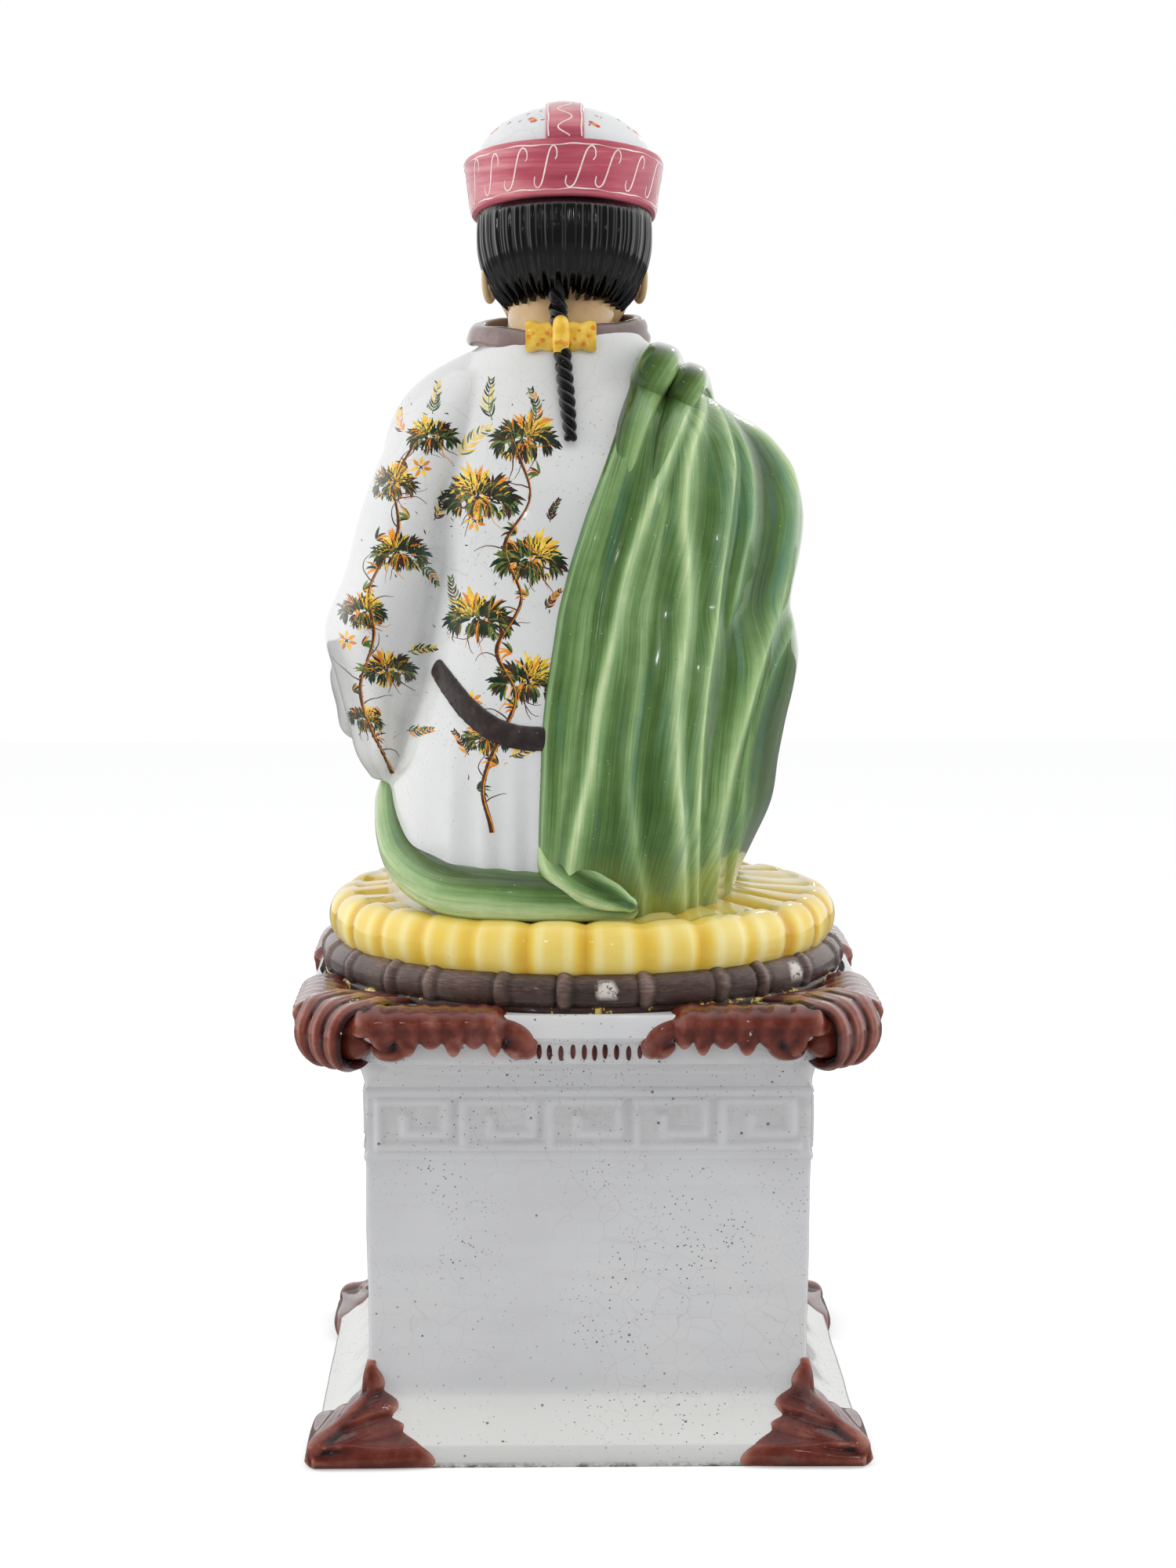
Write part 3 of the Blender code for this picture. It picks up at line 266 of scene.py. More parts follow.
def fuse(name, forms, voxel, rounds, mat, most, shift=BASE, slot="figure_glaze"):
    """Forms pressed into one clay body: remeshed, softened, and kept as one closed mesh."""
    points, faces = merge(forms)
    mesh = bpy.data.meshes.new(name + "_raw")
    mesh.from_pydata((points + shift).tolist(), [], faces)
    bm = bmesh.new()
    bm.from_mesh(mesh)
    bmesh.ops.recalc_face_normals(bm, faces=bm.faces)
    bm.to_mesh(mesh)
    bm.free()
    raw = bpy.data.objects.new(name + "_raw", mesh)
    bpy.context.scene.collection.objects.link(raw)
    remesh = raw.modifiers.new("press", "REMESH")
    remesh.mode = "VOXEL"
    remesh.voxel_size = voxel * 1.0
    soft = raw.modifiers.new("soften", "SMOOTH")
    soft.factor = 0.5
    soft.iterations = rounds
    done = bpy.data.meshes.new_from_object(raw.evaluated_get(bpy.context.evaluated_depsgraph_get()))
    triangles = sum(len(face.vertices) - 2 for face in done.polygons)
    if triangles > most:
        raw.modifiers.clear()
        raw.data = done
        thin = raw.modifiers.new("thin", "DECIMATE")
        thin.ratio = most / triangles
        done = bpy.data.meshes.new_from_object(raw.evaluated_get(bpy.context.evaluated_depsgraph_get()))
    bpy.data.objects.remove(raw, do_unlink=True)
    done.name = name
    done.materials.clear()
    done.materials.append(mat)
    done.shade_smooth()
    return keep(name, done, slot)


# Materials

class Nodes:
    """Short hand for building a material's node tree."""

    def __init__(self, name):
        self.mat = bpy.data.materials.new(name)
        self.mat.use_nodes = True
        self.tree = self.mat.node_tree
        self.shader = self.tree.nodes["Principled BSDF"]
        self.where = self.node("ShaderNodeTexCoord").outputs["Object"]

    def node(self, kind, **values):
        n = self.tree.nodes.new(kind)
        for key, value in values.items():
            if hasattr(n, key):
                setattr(n, key, value)
            else:
                n.inputs[key.replace("_", " ")].default_value = value
        return n

    def link(self, a, b):
        self.tree.links.new(a, b)

    def stretch(self, vector, scale):
        n = self.node("ShaderNodeMapping")
        n.inputs["Scale"].default_value = scale
        self.link(vector, n.inputs["Vector"])
        return n.outputs["Vector"]

    def noise(self, scale, detail=3.0, rough=0.5, vector=None):
        n = self.node("ShaderNodeTexNoise", Scale=scale, Detail=detail, Roughness=rough)
        self.link(vector or self.where, n.inputs["Vector"])
        return n.outputs["Fac"]

    def cells(self, scale, feature="F1", vector=None, out="Distance"):
        n = self.node("ShaderNodeTexVoronoi", feature=feature, Scale=scale)
        self.link(vector or self.where, n.inputs["Vector"])
        return n.outputs[out]

    def ramp(self, value, stops):
        n = self.node("ShaderNodeValToRGB")
        while len(n.color_ramp.elements) < len(stops):
            n.color_ramp.elements.new(0.5)
        for element, (at, colour) in zip(n.color_ramp.elements, stops):
            element.position = at
            element.color = (*colour, 1.0)
        self.link(value, n.inputs["Fac"])
        return n.outputs["Color"]

    def span(self, value, low, high, to_low=0.0, to_high=1.0):
        n = self.node("ShaderNodeMapRange")
        n.inputs["From Min"].default_value = low
        n.inputs["From Max"].default_value = high
        n.inputs["To Min"].default_value = to_low
        n.inputs["To Max"].default_value = to_high
        self.link(value, n.inputs["Value"])
        return n.outputs["Result"]

    def math(self, operation, a, b):
        n = self.node("ShaderNodeMath", operation=operation)
        for socket, value in zip(n.inputs, (a, b)):
            if isinstance(value, (int, float)):
                socket.default_value = value
            else:
                self.link(value, socket)
        return n.outputs[0]

    def weigh(self, *parts):
        """Sum of (socket, weight) pairs."""
        total = None
        for value, weight in parts:
            term = self.math("MULTIPLY", value, weight)
            total = term if total is None else self.math("ADD", total, term)
        return total

    def product(self, first, *others):
        for other in others:
            first = self.math("MULTIPLY", first, other)
        return first

    def mix(self, factor, a, b):
        n = self.node("ShaderNodeMix", data_type="RGBA")
        for socket, value in zip((n.inputs[0], n.inputs[6], n.inputs[7]), (factor, a, b)):
            if isinstance(value, (int, float)):
                socket.default_value = value
            elif isinstance(value, tuple):
                socket.default_value = (*value, 1.0)
            else:
                self.link(value, socket)
        return n.outputs[2]

    def read(self, name, out="Fac"):
        n = self.node("ShaderNodeAttribute", attribute_name=name)
        return n.outputs[out]

    def bump(self, height, strength, distance, before=None):
        n = self.node("ShaderNodeBump")
        n.inputs["Strength"].default_value = strength
        n.inputs["Distance"].default_value = distance
        self.link(height, n.inputs["Height"])
        if before is not None:
            self.link(before, n.inputs["Normal"])
        return n.outputs["Normal"]

    def finish(self, colour, roughness, normal, coat):
        self.link(colour, self.shader.inputs["Base Color"])
        self.shader.inputs["Roughness"].default_value = roughness
        self.shader.inputs["IOR"].default_value = 1.5
        self.shader.inputs["Coat Weight"].default_value = coat
        self.shader.inputs["Coat Roughness"].default_value = 0.05
        self.link(normal, self.shader.inputs["Normal"])
        return self.mat

    def glaze_wear(self, colour, pins=1.0, crackle=0.35, dark=(0.07, 0.055, 0.05)):
        """Fine crackle and dark pinholes laid over a glaze colour."""
        veins = self.cells(62.0, "DISTANCE_TO_EDGE", self.warped(38.0, 0.01))
        fine = self.span(veins, 0.0, 0.02, 1.0, 0.0)
        patches = self.span(self.noise(9.0, 2.0), 0.42, 0.62)
        lines = self.product(fine, patches, crackle)
        colour = self.mix(lines, colour, (0.36, 0.33, 0.31))
        for scale, reach, limit, amount in ((330.0, 0.2, 0.55, 0.9), (150.0, 0.125, 0.6, 1.0)):
            dots = self.cells(scale)
            chance = self.span(self.cells(scale, out="Color"), limit, limit + 0.02)
            spot = self.span(dots, reach * 0.7, reach, 1.0, 0.0)
            gather = self.span(self.noise(16.0, 2.0), 0.4, 0.66)
            colour = self.mix(self.product(spot, chance, gather, amount * pins), colour, dark)
        return colour

    def warped(self, scale, amount):
        n = self.node("ShaderNodeTexNoise", Scale=scale, Detail=2.0)
        self.link(self.where, n.inputs["Vector"])
        push = self.node("ShaderNodeVectorMath", operation="SCALE")
        push.inputs["Scale"].default_value = amount
        self.link(n.outputs["Color"], push.inputs[0])
        total = self.node("ShaderNodeVectorMath", operation="ADD")
        self.link(self.where, total.inputs[0])
        self.link(push.outputs[0], total.inputs[1])
        return total.outputs[0]


def white_glaze(name, tone, warm, pins, crackle, streak=1.0):
    """White tin glaze with faint clouds and brush streaks."""
    m = Nodes(name)
    cloud = m.noise(7.0, 4.0, 0.6)
    colour = m.ramp(cloud, [(0.3, tuple(0.92 * c for c in tone)), (0.55, tone), (0.8, warm)])
    strokes = m.noise(1.0, 4.0, 0.6, m.stretch(m.where, (14.0, 14.0, 90.0)))
    colour = m.mix(m.span(strokes, 0.45, 0.75, 0.0, 0.16 * streak), colour, tuple(0.8 * c for c in tone))
    colour = m.glaze_wear(colour, pins, crackle)
    lumps = m.bump(m.noise(55.0, 3.0, 0.5), 0.16, 0.0014)
    fine = m.bump(m.noise(420.0, 2.0, 0.5), 0.05, 0.0006, lumps)
    return m.finish(colour, 0.13, fine, 0.6)


def green_glaze(name):
    """Copper green brushed along the cloth: pale on the ridges, deep in the hollows, partly from thinned and
    pooled glaze, partly painted highlight and shade carried by the relief attribute.
    """
    m = Nodes(name)
    flow = m.read("flow", "Vector")
    streaks = m.noise(1.0, 5.0, 0.66, m.stretch(flow, (120.0, 4.0, 1.0)))
    broad = m.noise(1.0, 3.0, 0.55, m.stretch(flow, (30.0, 3.0, 1.0)))
    blotch = m.noise(75.0, 4.0, 0.6)
    # relief holds painted highlights on the fold crests and painted shade in the hollows
    value = m.weigh((m.read("relief"), 0.66), (streaks, 0.36), (broad, 0.26), (blotch, 0.12))
    colour = m.ramp(value, [(0.36, (0.02, 0.05, 0.012)), (0.47, (0.05, 0.11, 0.024)),
                            (0.57, (0.092, 0.182, 0.05)), (0.7, (0.19, 0.32, 0.12)),
                            (0.86, (0.38, 0.52, 0.24)), (0.98, (0.6, 0.7, 0.42))])
    blue = m.span(m.noise(1.0, 4.0, 0.6, m.stretch(flow, (14.0, 2.2, 1.0))), 0.54, 0.68, 0.0, 0.5)
    colour = m.mix(blue, colour, (0.07, 0.19, 0.15))
    brown = m.span(m.noise(1.0, 4.0, 0.6, m.stretch(flow, (24.0, 2.6, 1.0))), 0.58, 0.7, 0.0, 0.45)
    dim = m.span(value, 0.42, 0.62, 1.0, 0.0)
    colour = m.mix(m.product(brown, dim), colour, (0.085, 0.082, 0.014))
    patches = m.span(m.noise(34.0, 3.0), 0.35, 0.65, 0.3, 1.0)
    colour = m.mix(m.product(m.read("foot"), patches, 0.75), colour, (0.25, 0.27, 0.035))
    dots = m.product(m.span(m.cells(300.0), 0.08, 0.13, 1.0, 0.0),
                     m.span(m.cells(300.0, out="Color"), 0.78, 0.8, 0.0, 0.6))
    colour = m.mix(dots, colour, (0.6, 0.7, 0.52))
    colour = m.glaze_wear(colour, 0.35, 0.0, (0.03, 0.03, 0.02))
    height = m.bump(streaks, 0.1, 0.001)
    height = m.bump(m.noise(80.0, 3.0), 0.14, 0.001, height)
    return m.finish(colour, 0.14, height, 0.6)


def tinted_glaze(name, low, mid, high, scale=(40.0, 40.0, 40.0), pins=0.2, rough=0.16, relief=None,
                 lumps=0.2):
    """One washed colour, darker and lighter with the brush, with an optional carved relief whose attribute,
    on the cushion, also holds a painted highlight.
    """
    m = Nodes(name)
    wash = m.noise(1.0, 5.0, 0.62, m.stretch(m.where, scale))
    broad = m.noise(9.0, 3.0, 0.55)
    value = m.weigh((wash, 0.6), (broad, 0.4))
    if relief:
        value = m.weigh((value, 1.0 - relief), (m.read("relief"), relief))
    colour = m.ramp(value, [(0.28, low), (0.5, mid), (0.74, high)])
    colour = m.glaze_wear(colour, pins, 0.0)
    bump = m.bump(m.noise(70.0, 3.0), lumps, 0.0012)
    return m.finish(colour, rough, bump, 0.5)


def plain_paint(name, low, high):
    """Painted stroke, a little uneven in tone."""
    m = Nodes(name)
    colour = m.ramp(m.noise(160.0, 3.0, 0.6), [(0.35, low), (0.65, high)])
    return m.finish(colour, 0.2, m.bump(m.noise(300.0, 2.0), 0.1, 0.0004), 0.5)


def pedestal_glaze():
    """White tin glaze, cool on the die and warmer on the foot, with pinholes and painted shade in its
    hollows.
    """
    m = Nodes("white_glaze_fired")
    cloud = m.noise(7.0, 4.0, 0.6)
    colour = m.ramp(cloud, [(0.3, (0.585, 0.585, 0.595)), (0.55, (0.63, 0.632, 0.64)),
                            (0.8, (0.67, 0.664, 0.65))])
    strokes = m.noise(1.0, 4.0, 0.6, m.stretch(m.where, (10.0, 10.0, 110.0)))
    colour = m.mix(m.span(strokes, 0.45, 0.75, 0.0, 0.2), colour, (0.5, 0.495, 0.51))
    parts = m.node("ShaderNodeSeparateXYZ")
    m.link(m.where, parts.inputs[0])
    height = parts.outputs["Z"]
    low = m.span(height, 0.03, 0.046, 1.0, 0.0)
    colour = m.mix(m.product(low, 0.65), colour, (0.675, 0.672, 0.635))
    edge = m.product(m.span(height, 0.0005, 0.0042, 1.0, 0.0), m.span(m.noise(90.0, 4.0, 0.7), 0.42, 0.6))
    colour = m.mix(edge, colour, (0.09, 0.06, 0.045))
    # painted shade: a brownish grey laid where the hollow attribute marks the fret's recesses and the lip
    # under the cornice's top
    patches = m.span(m.noise(60.0, 4.0, 0.6), 0.38, 0.66, 0.25, 0.85)
    colour = m.mix(m.product(m.read("hollow"), patches, 0.42), colour, (0.42, 0.375, 0.375))
    colour = m.glaze_wear(colour, 1.15, 0.3)
    for scale, reach, limit in ((70.0, 0.085, 0.55), (215.0, 0.12, 0.55)):
        spot = m.span(m.cells(scale), reach * 0.6, reach, 1.0, 0.0)
        chance = m.span(m.cells(scale, out="Color"), limit, limit + 0.02)
        colour = m.mix(m.product(spot, chance, 0.85), colour, (0.085, 0.065, 0.055))
    lumps = m.bump(m.noise(55.0, 3.0, 0.5), 0.22, 0.0014)
    fine = m.bump(m.noise(420.0, 2.0, 0.5), 0.06, 0.0006, lumps)
    return m.finish(colour, 0.13, fine, 0.6)


def bamboo_glaze():
    """Purplish brown brushed along the canes, worn to a pale body on two spots."""
    m = Nodes("bamboo_glaze")
    flow = m.read("flow", "Vector")
    streaks = m.noise(1.0, 5.0, 0.7, m.stretch(flow, (7.0, 26.0, 1.0)))
    patches = m.noise(24.0, 4.0, 0.6)
    value = m.weigh((m.read("relief"), 0.4), (streaks, 0.45), (patches, 0.3))
    colour = m.ramp(value, [(0.4, (0.012, 0.008, 0.007)), (0.54, (0.048, 0.029, 0.024)),
                            (0.66, (0.11, 0.064, 0.052)), (0.82, (0.27, 0.19, 0.165))])
    chips = m.product(m.read("chip"), m.span(m.noise(230.0, 4.0, 0.7), 0.4, 0.47))
    colour = m.mix(chips, colour, (0.6, 0.55, 0.5))
    colour = m.glaze_wear(colour, 0.2, 0.0)
    bump = m.bump(streaks, 0.35, 0.0012)
    return m.finish(colour, 0.24, bump, 0.45)


def iron_glaze():
    """Iron red brushed over the leaves: deep in the hollows, thin and pink on the ridges, partly from pooled
    and thinned glaze, partly painted shade and highlight carried by the relief attribute.
    """
    m = Nodes("iron_red_glaze")
    wash = m.noise(70.0, 5.0, 0.66)
    broad = m.noise(18.0, 3.0, 0.55)
    value = m.weigh((m.read("relief"), 0.52), (wash, 0.4), (broad, 0.22))
    colour = m.ramp(value, [(0.36, (0.014, 0.005, 0.005)), (0.48, (0.062, 0.009, 0.006)),
                            (0.6, (0.125, 0.022, 0.013)), (0.73, (0.215, 0.062, 0.042)),
                            (0.92, (0.42, 0.2, 0.15))])
    grey = m.span(m.noise(30.0, 4.0, 0.6), 0.56, 0.72, 0.0, 0.5)
    colour = m.mix(grey, colour, (0.15, 0.095, 0.09))
    bare = m.span(m.noise(26.0, 5.0, 0.7), 0.655, 0.675)
    colour = m.mix(bare, colour, (0.6, 0.56, 0.53))
    colour = m.glaze_wear(colour, 0.3, 0.0, (0.02, 0.012, 0.01))
    bump = m.bump(m.noise(90.0, 4.0), 0.4, 0.0012)
    return m.finish(colour, 0.14, bump, 0.6)


WHITE = pedestal_glaze()
ROBE = white_glaze("robe_glaze_fired", (0.64, 0.648, 0.64), (0.69, 0.684, 0.645), 0.55, 0.3, 0.5)
GREEN = green_glaze("green_glaze_fired")
YELLOW = tinted_glaze("yellow_glaze", (0.62, 0.34, 0.022), (0.77, 0.55, 0.085), (0.84, 0.74, 0.33),
                      (20.0, 20.0, 20.0), 0.12, 0.14, 0.5, 0.12)
BAMBOO = bamboo_glaze()
IRON = iron_glaze()
CRIMSON = tinted_glaze("crimson_glaze", (0.27, 0.028, 0.06), (0.44, 0.085, 0.12), (0.72, 0.33, 0.34),
                       (12.0, 12.0, 170.0), 0.25, 0.15, None, 0.15)
DOME = white_glaze("dome_glaze", (0.64, 0.65, 0.66), (0.72, 0.71, 0.69), 0.5, 0.35, 0.4)
MANGANESE = tinted_glaze("manganese_glaze", (0.09, 0.06, 0.058), (0.19, 0.135, 0.128), (0.36, 0.265, 0.245),
                         (34.0, 34.0, 34.0), 0.5, 0.2, None, 0.2)
BELT = tinted_glaze("belt_glaze", (0.01, 0.007, 0.007), (0.03, 0.02, 0.018), (0.085, 0.06, 0.052),
                    (120.0, 120.0, 120.0), 0.0, 0.38, None, 0.9)
SKIN = tinted_glaze("skin_glaze", (0.5, 0.31, 0.14), (0.64, 0.46, 0.25), (0.74, 0.58, 0.36),
                    (18.0, 18.0, 18.0), 0.3, 0.14, None, 0.12)
HAIR = tinted_glaze("hair_glaze", (0.0018, 0.0018, 0.0022), (0.0034, 0.0034, 0.004), (0.009, 0.009, 0.01),
                    (90.0, 90.0, 20.0), 0.0, 0.12, None, 0.06)
CLAY = tinted_glaze("bare_clay", (0.26, 0.19, 0.14), (0.5, 0.42, 0.34), (0.66, 0.58, 0.5),
                    (80.0, 80.0, 80.0), 0.6, 0.6, None, 0.6)
BOW = plain_paint("bow_yellow", (0.7, 0.4, 0.03), (0.84, 0.58, 0.1))
PAINT = {
    "stem": plain_paint("stem_paint", (0.045, 0.014, 0.008), (0.15, 0.05, 0.025)),
    "dark": plain_paint("dark_leaf_paint", (0.006, 0.016, 0.008), (0.02, 0.045, 0.02)),
    "brown": plain_paint("brown_leaf_paint", (0.03, 0.012, 0.008), (0.085, 0.035, 0.02)),
    "green": plain_paint("green_leaf_paint", (0.07, 0.11, 0.02), (0.17, 0.22, 0.05)),
    "yellow": plain_paint("yellow_leaf_paint", (0.72, 0.4, 0.02), (0.86, 0.62, 0.09)),
    "orange": plain_paint("orange_leaf_paint", (0.62, 0.16, 0.015), (0.8, 0.34, 0.03)),
    "white": plain_paint("white_line_paint", (0.74, 0.52, 0.5), (0.86, 0.74, 0.72)),
    "red": plain_paint("red_sprig_paint", (0.42, 0.03, 0.03), (0.6, 0.1, 0.05)),
}


# Pedestal

def side_profile():
    """Half width and height up the moulded side, foot to cornice."""
    top = HALF_DIE + FLARE
    rows = [(HALF_PLINTH - 0.001, 0.0), (HALF_PLINTH, 0.0015), (HALF_PLINTH, BAND - 0.001),
            (HALF_PLINTH - 0.0004, BAND), (HALF_PLINTH - 0.002, BAND + 0.001)]
    slope = HALF_PLINTH - HALF_DIE
    for k in np.linspace(0.1, 0.97, 12):
        rows.append((HALF_PLINTH - 0.002 - (slope - 0.0025) * k, BAND + 0.001 + (PLINTH - BAND) * k ** 1.25))
    rows += [(HALF_DIE + 0.0002, PLINTH + 0.0025), (HALF_DIE, PLINTH + 0.007)]
    for z in (FRET_Z, FRET_Z + FRET_HIGH):
        rows += [(top, z - 0.0035), (top + 0.001, z - 0.0015), (top + 0.0014, z), (top + 0.001, z + 0.0015),
                 (top, z + 0.0035)]
    for i in range(13):
        a = math.pi / 2 * i / 12
        rows.append((top + (HALF_CORNICE - 0.009 - top) * (1 - math.cos(a)), CORNICE_Z - COVE
                     + COVE * math.sin(a)))
    rows += [(HALF_CORNICE - 0.0075, CORNICE_Z + 0.0015), (HALF_CORNICE - 0.007, CORNICE_Z + 0.004),
             (HALF_CORNICE - 0.0062, CORNICE_Z + 0.013), (HALF_CORNICE - 0.003, CORNICE_Z + 0.0155),
             (HALF_CORNICE, CORNICE_Z + 0.0185), (HALF_CORNICE, TOP_Z - 0.0022),
             (HALF_CORNICE - 0.0007, TOP_Z - 0.0007), (HALF_CORNICE - 0.0022, TOP_Z)]
    return np.array(rows)


PROFILE = side_profile()


def key_mask(x, z):
    """Raised lines of the fret at (x, z) on a side, 0 to 1."""
    width = 2 * (HALF_DIE + FLARE) - 0.01
    pitch = width / KEYS
    u = (x + width / 2) % pitch
    high = FRET_HIGH - 0.012
    v = z - FRET_Z - 0.006
    line = 0.0054
    span = pitch - 2.05 * line
    strokes = [((0, 0), (0, high)), ((0, high), (span, high)), ((span, high), (span, 0.3 * high)),
               ((span, 0.3 * high), (0.4 * span, 0.3 * high)),
               ((0.4 * span, 0.3 * high), (0.4 * span, 0.66 * high)), ((0, 0), (pitch, 0))]
    total = np.zeros_like(u)
    for (x0, z0), (x1, z1) in strokes:
        dx = np.maximum(np.maximum(min(x0, x1) - (u - line / 2), (u - line / 2) - max(x0, x1)), 0)
        dz = np.maximum(np.maximum(min(z0, z1) - v, v - max(z0, z1)), 0)
        total = np.maximum(total, 1 - smooth(0.3 * line, 0.78 * line, np.hypot(dx, dz)))
    inside = smooth(0.0, 0.003, width / 2 - np.abs(x))
    return total * inside * smooth(-0.004, -0.001, v) * (1 - smooth(high + 0.001, high + 0.004, v))


def make_pedestal():
    """The pedestal's skin: rings up the moulded side, over the top, into the recess and back inside."""
    per_side = 142
    share = np.linspace(-1, 1, per_side, endpoint=False)
    bend = np.sign(share) * (1 - (1 - np.abs(share)) ** 1.15)
    sx = np.concatenate([bend, np.ones(per_side), -bend, -np.ones(per_side)])
    sy = np.concatenate([-np.ones(per_side), bend, np.ones(per_side), -bend])
    fine = []
    for (o0, z0), (o1, z1) in zip(PROFILE, PROFILE[1:]):
        length = math.hypot(o1 - o0, z1 - z0)
        step = 0.0017 if FRET_Z - 0.004 < z0 < FRET_Z + FRET_HIGH and z1 - z0 > 0.01 else 0.009
        count = max(1, int(math.ceil(length / step)))
        fine += [(o0 + (o1 - o0) * k / count, z0 + (z1 - z0) * k / count) for k in range(count)]
    fine.append(PROFILE[-1])
    rings, hollow = [], []
    for o, z in fine:
        cut = 0.0016
        if z > CORNICE_Z - COVE:
            cut += CORNER_CUT * min(1.0, (z - CORNICE_Z + COVE) / COVE) ** 1.5
        x, y = o * sx, o * sy
        over = np.abs(x) + np.abs(y) - (2 * o - cut)
        k = 900.0
        push = np.logaddexp(0, over * k) / k / 2
        x, y = x - np.sign(x) * push, y - np.sign(y) * push
        zz = np.full_like(x, z)
        face = np.stack([x, y, zz], axis=-1)
        uneven = 0.0007 * wobble(face, 17.0, 1.0) * smooth(0.0, 0.02, z)
        if FRET_Z - 0.004 < z < FRET_Z + FRET_HIGH + 0.004:
            along = np.where(np.abs(np.abs(y) - o) < 1e-4, x * -np.sign(y), y * np.sign(x))
            key = key_mask(along, zz)
            uneven = uneven + 0.0017 * key
            # hollow: painted shade between the fret's raised lines
            within = np.minimum(z - FRET_Z - 0.003, FRET_Z + FRET_HIGH - 0.003 - z)
            hollow.append((1 - key) * smooth(0, 0.002, within))
        else:
            # painted shade on the lip under the cornice's top edge
            lip = smooth(CORNICE_Z - 0.003, CORNICE_Z, z) * smooth(CORNICE_Z + 0.012, CORNICE_Z + 0.006, z)
            hollow.append(np.zeros(len(x)) + 0.6 * float(lip))
        r = np.maximum(np.abs(sx), np.abs(sy))
        nx, ny = np.where(np.abs(sx) >= r, np.sign(sx), 0), np.where(np.abs(sy) >= r, np.sign(sy), 0)
        rings.append(np.stack([x + nx * uneven, y + ny * uneven, zz], axis=-1))
    angle = np.arctan2(sy, sx)
    circle = np.stack([BASE[0] + RECESS_R * np.cos(angle), RECESS_R * np.sin(angle)], axis=-1)
    last = rings[-1]
    for k in (0.25, 0.5, 0.75, 0.97):
        flat = last[:, :2] * (1 - k) + circle * k
        rings.append(np.column_stack([flat, np.full(len(flat), TOP_Z + 0.0003 * k)]))
    for r, z in ((RECESS_R, TOP_Z - 0.0008), (RECESS_R - 0.0003, RECESS_Z + 0.002),
                 (RECESS_R - 0.0015, RECESS_Z), (RECESS_R * 0.7, RECESS_Z), (RECESS_R * 0.35, RECESS_Z),
                 (0.02, RECESS_Z)):
        rings.append(np.column_stack([BASE[0] + r * np.cos(angle), r * np.sin(angle),
                                      np.full(len(angle), z)]))
    inner = []
    for o, z in ((0.02, RECESS_Z - WALL), (HALF_DIE - WALL, RECESS_Z - WALL), (HALF_DIE - WALL, PLINTH),
                 (HALF_PLINTH - WALL, 0.0)):
        inner.append(np.column_stack([o * sx, o * sy, np.full(len(sx), z)]))
    points, faces = loft(inner + rings)
    pad = (points[:, 0] > 0.1465) & (points[:, 1] < -0.1465) & (points[:, 2] < 0.0033)
    points[pad, 2] = 0.0033
    painted_recess_shade = np.zeros(len(points))
    first = len(inner) * len(sx)
    painted_recess_shade[first:first + len(fine) * len(sx)] = np.concatenate(hollow)
    piece = add_mesh("pedestal_body", points, faces, WHITE, 40, {"hollow": painted_recess_shade}, slot="white_glaze")
    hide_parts("pedestal")


def turned(form, quarter):
    """The form turned about Z by a number of quarter turns."""
    points, faces = form
    c, s = round(math.cos(quarter * math.pi / 2)), round(math.sin(quarter * math.pi / 2))
    p = np.asarray(points)
    return np.stack([p[:, 0] * c - p[:, 1] * s, p[:, 0] * s + p[:, 1] * c, p[:, 2]], axis=-1), faces


def reach_at(z):
    """How far the pedestal's side stands out from the axis at height z."""
    return float(np.interp(z, PROFILE[:, 1], PROFILE[:, 0]))


LEAF_EDGE = [(0.0006, 0.0985), (0.003, 0.0962), (0.006, 0.0968), (0.009, 0.099), (0.012, 0.1022),
             (0.016, 0.1075), (0.019, 0.1145), (0.0208, 0.1185), (0.0222, 0.117), (0.024, 0.1172),
             (0.0258, 0.1215), (0.0272, 0.1262), (0.029, 0.1232), (0.0324, 0.1208), (0.0352, 0.122),
             (0.0375, 0.1256), (0.04, 0.13), (0.0416, 0.1326), (0.0432, 0.1316), (0.0468, 0.1314),
             (0.051, 0.133), (0.0552, 0.1358), (0.0588, 0.1388), (0.0612, 0.1402)]


def foot_leaf(mirror, rnd):
    """Half of a leaf bent round the plinth's corner: three tongues and a flame up the die."""
    rings = []
    sway = rnd.uniform(-0.0012, 0.0012)
    for z in np.linspace(0.0006, 0.0612, 110):
        corner = reach_at(z)
        end = float(np.interp(z, [q[0] for q in LEAF_EDGE], [q[1] for q in LEAF_EDGE])) + sway * (z < 0.042)
        share = np.linspace(0, 1, 40)
        x = corner + 0.0015 + (min(end, corner - 0.0008) - corner - 0.0015) * share
        row = z + 0.009 * (1 - share) ** 1.4 * smooth(0.0, 0.014, z) * smooth(0.062, 0.04, z)
        high = 0.0052 * bell(row - 0.0085, 0.0078) + 0.0008 * bell(row - 0.015, 0.0024)
        high = high + 0.0032 * bell(row - 0.0236, 0.003) + 0.004 * bell(row - 0.0338, 0.0046)
        high = high + 0.0034 * bell(row - 0.048, 0.0085)
        sink = 0.0022 * smooth(0.058, 0.0612, z)
        lift = (0.0014 + high) * np.sqrt(np.clip(1 - share ** 5, 0, 1)) - 0.0006 * share ** 6 - sink
        outer = [(mirror * a, -(corner + b), z) for a, b in zip(x, lift)]
        inner = [(mirror * a, -(corner - 0.0045), z) for a in x[::-1]]
        rings.append(outer + inner)
    forms = [loft(rings)]
    spine = [(mirror * (reach_at(z) - 0.002), -(reach_at(z) - 0.002), z, r)
             for z, r in ((0.0066, 0.0066), (0.015, 0.0062), (0.022, 0.0052), (0.03, 0.0054), (0.038, 0.0044),
                          (0.05, 0.0036), (0.06, 0.0014))]
    forms.append(tube(spine, 24, 40))
    return forms


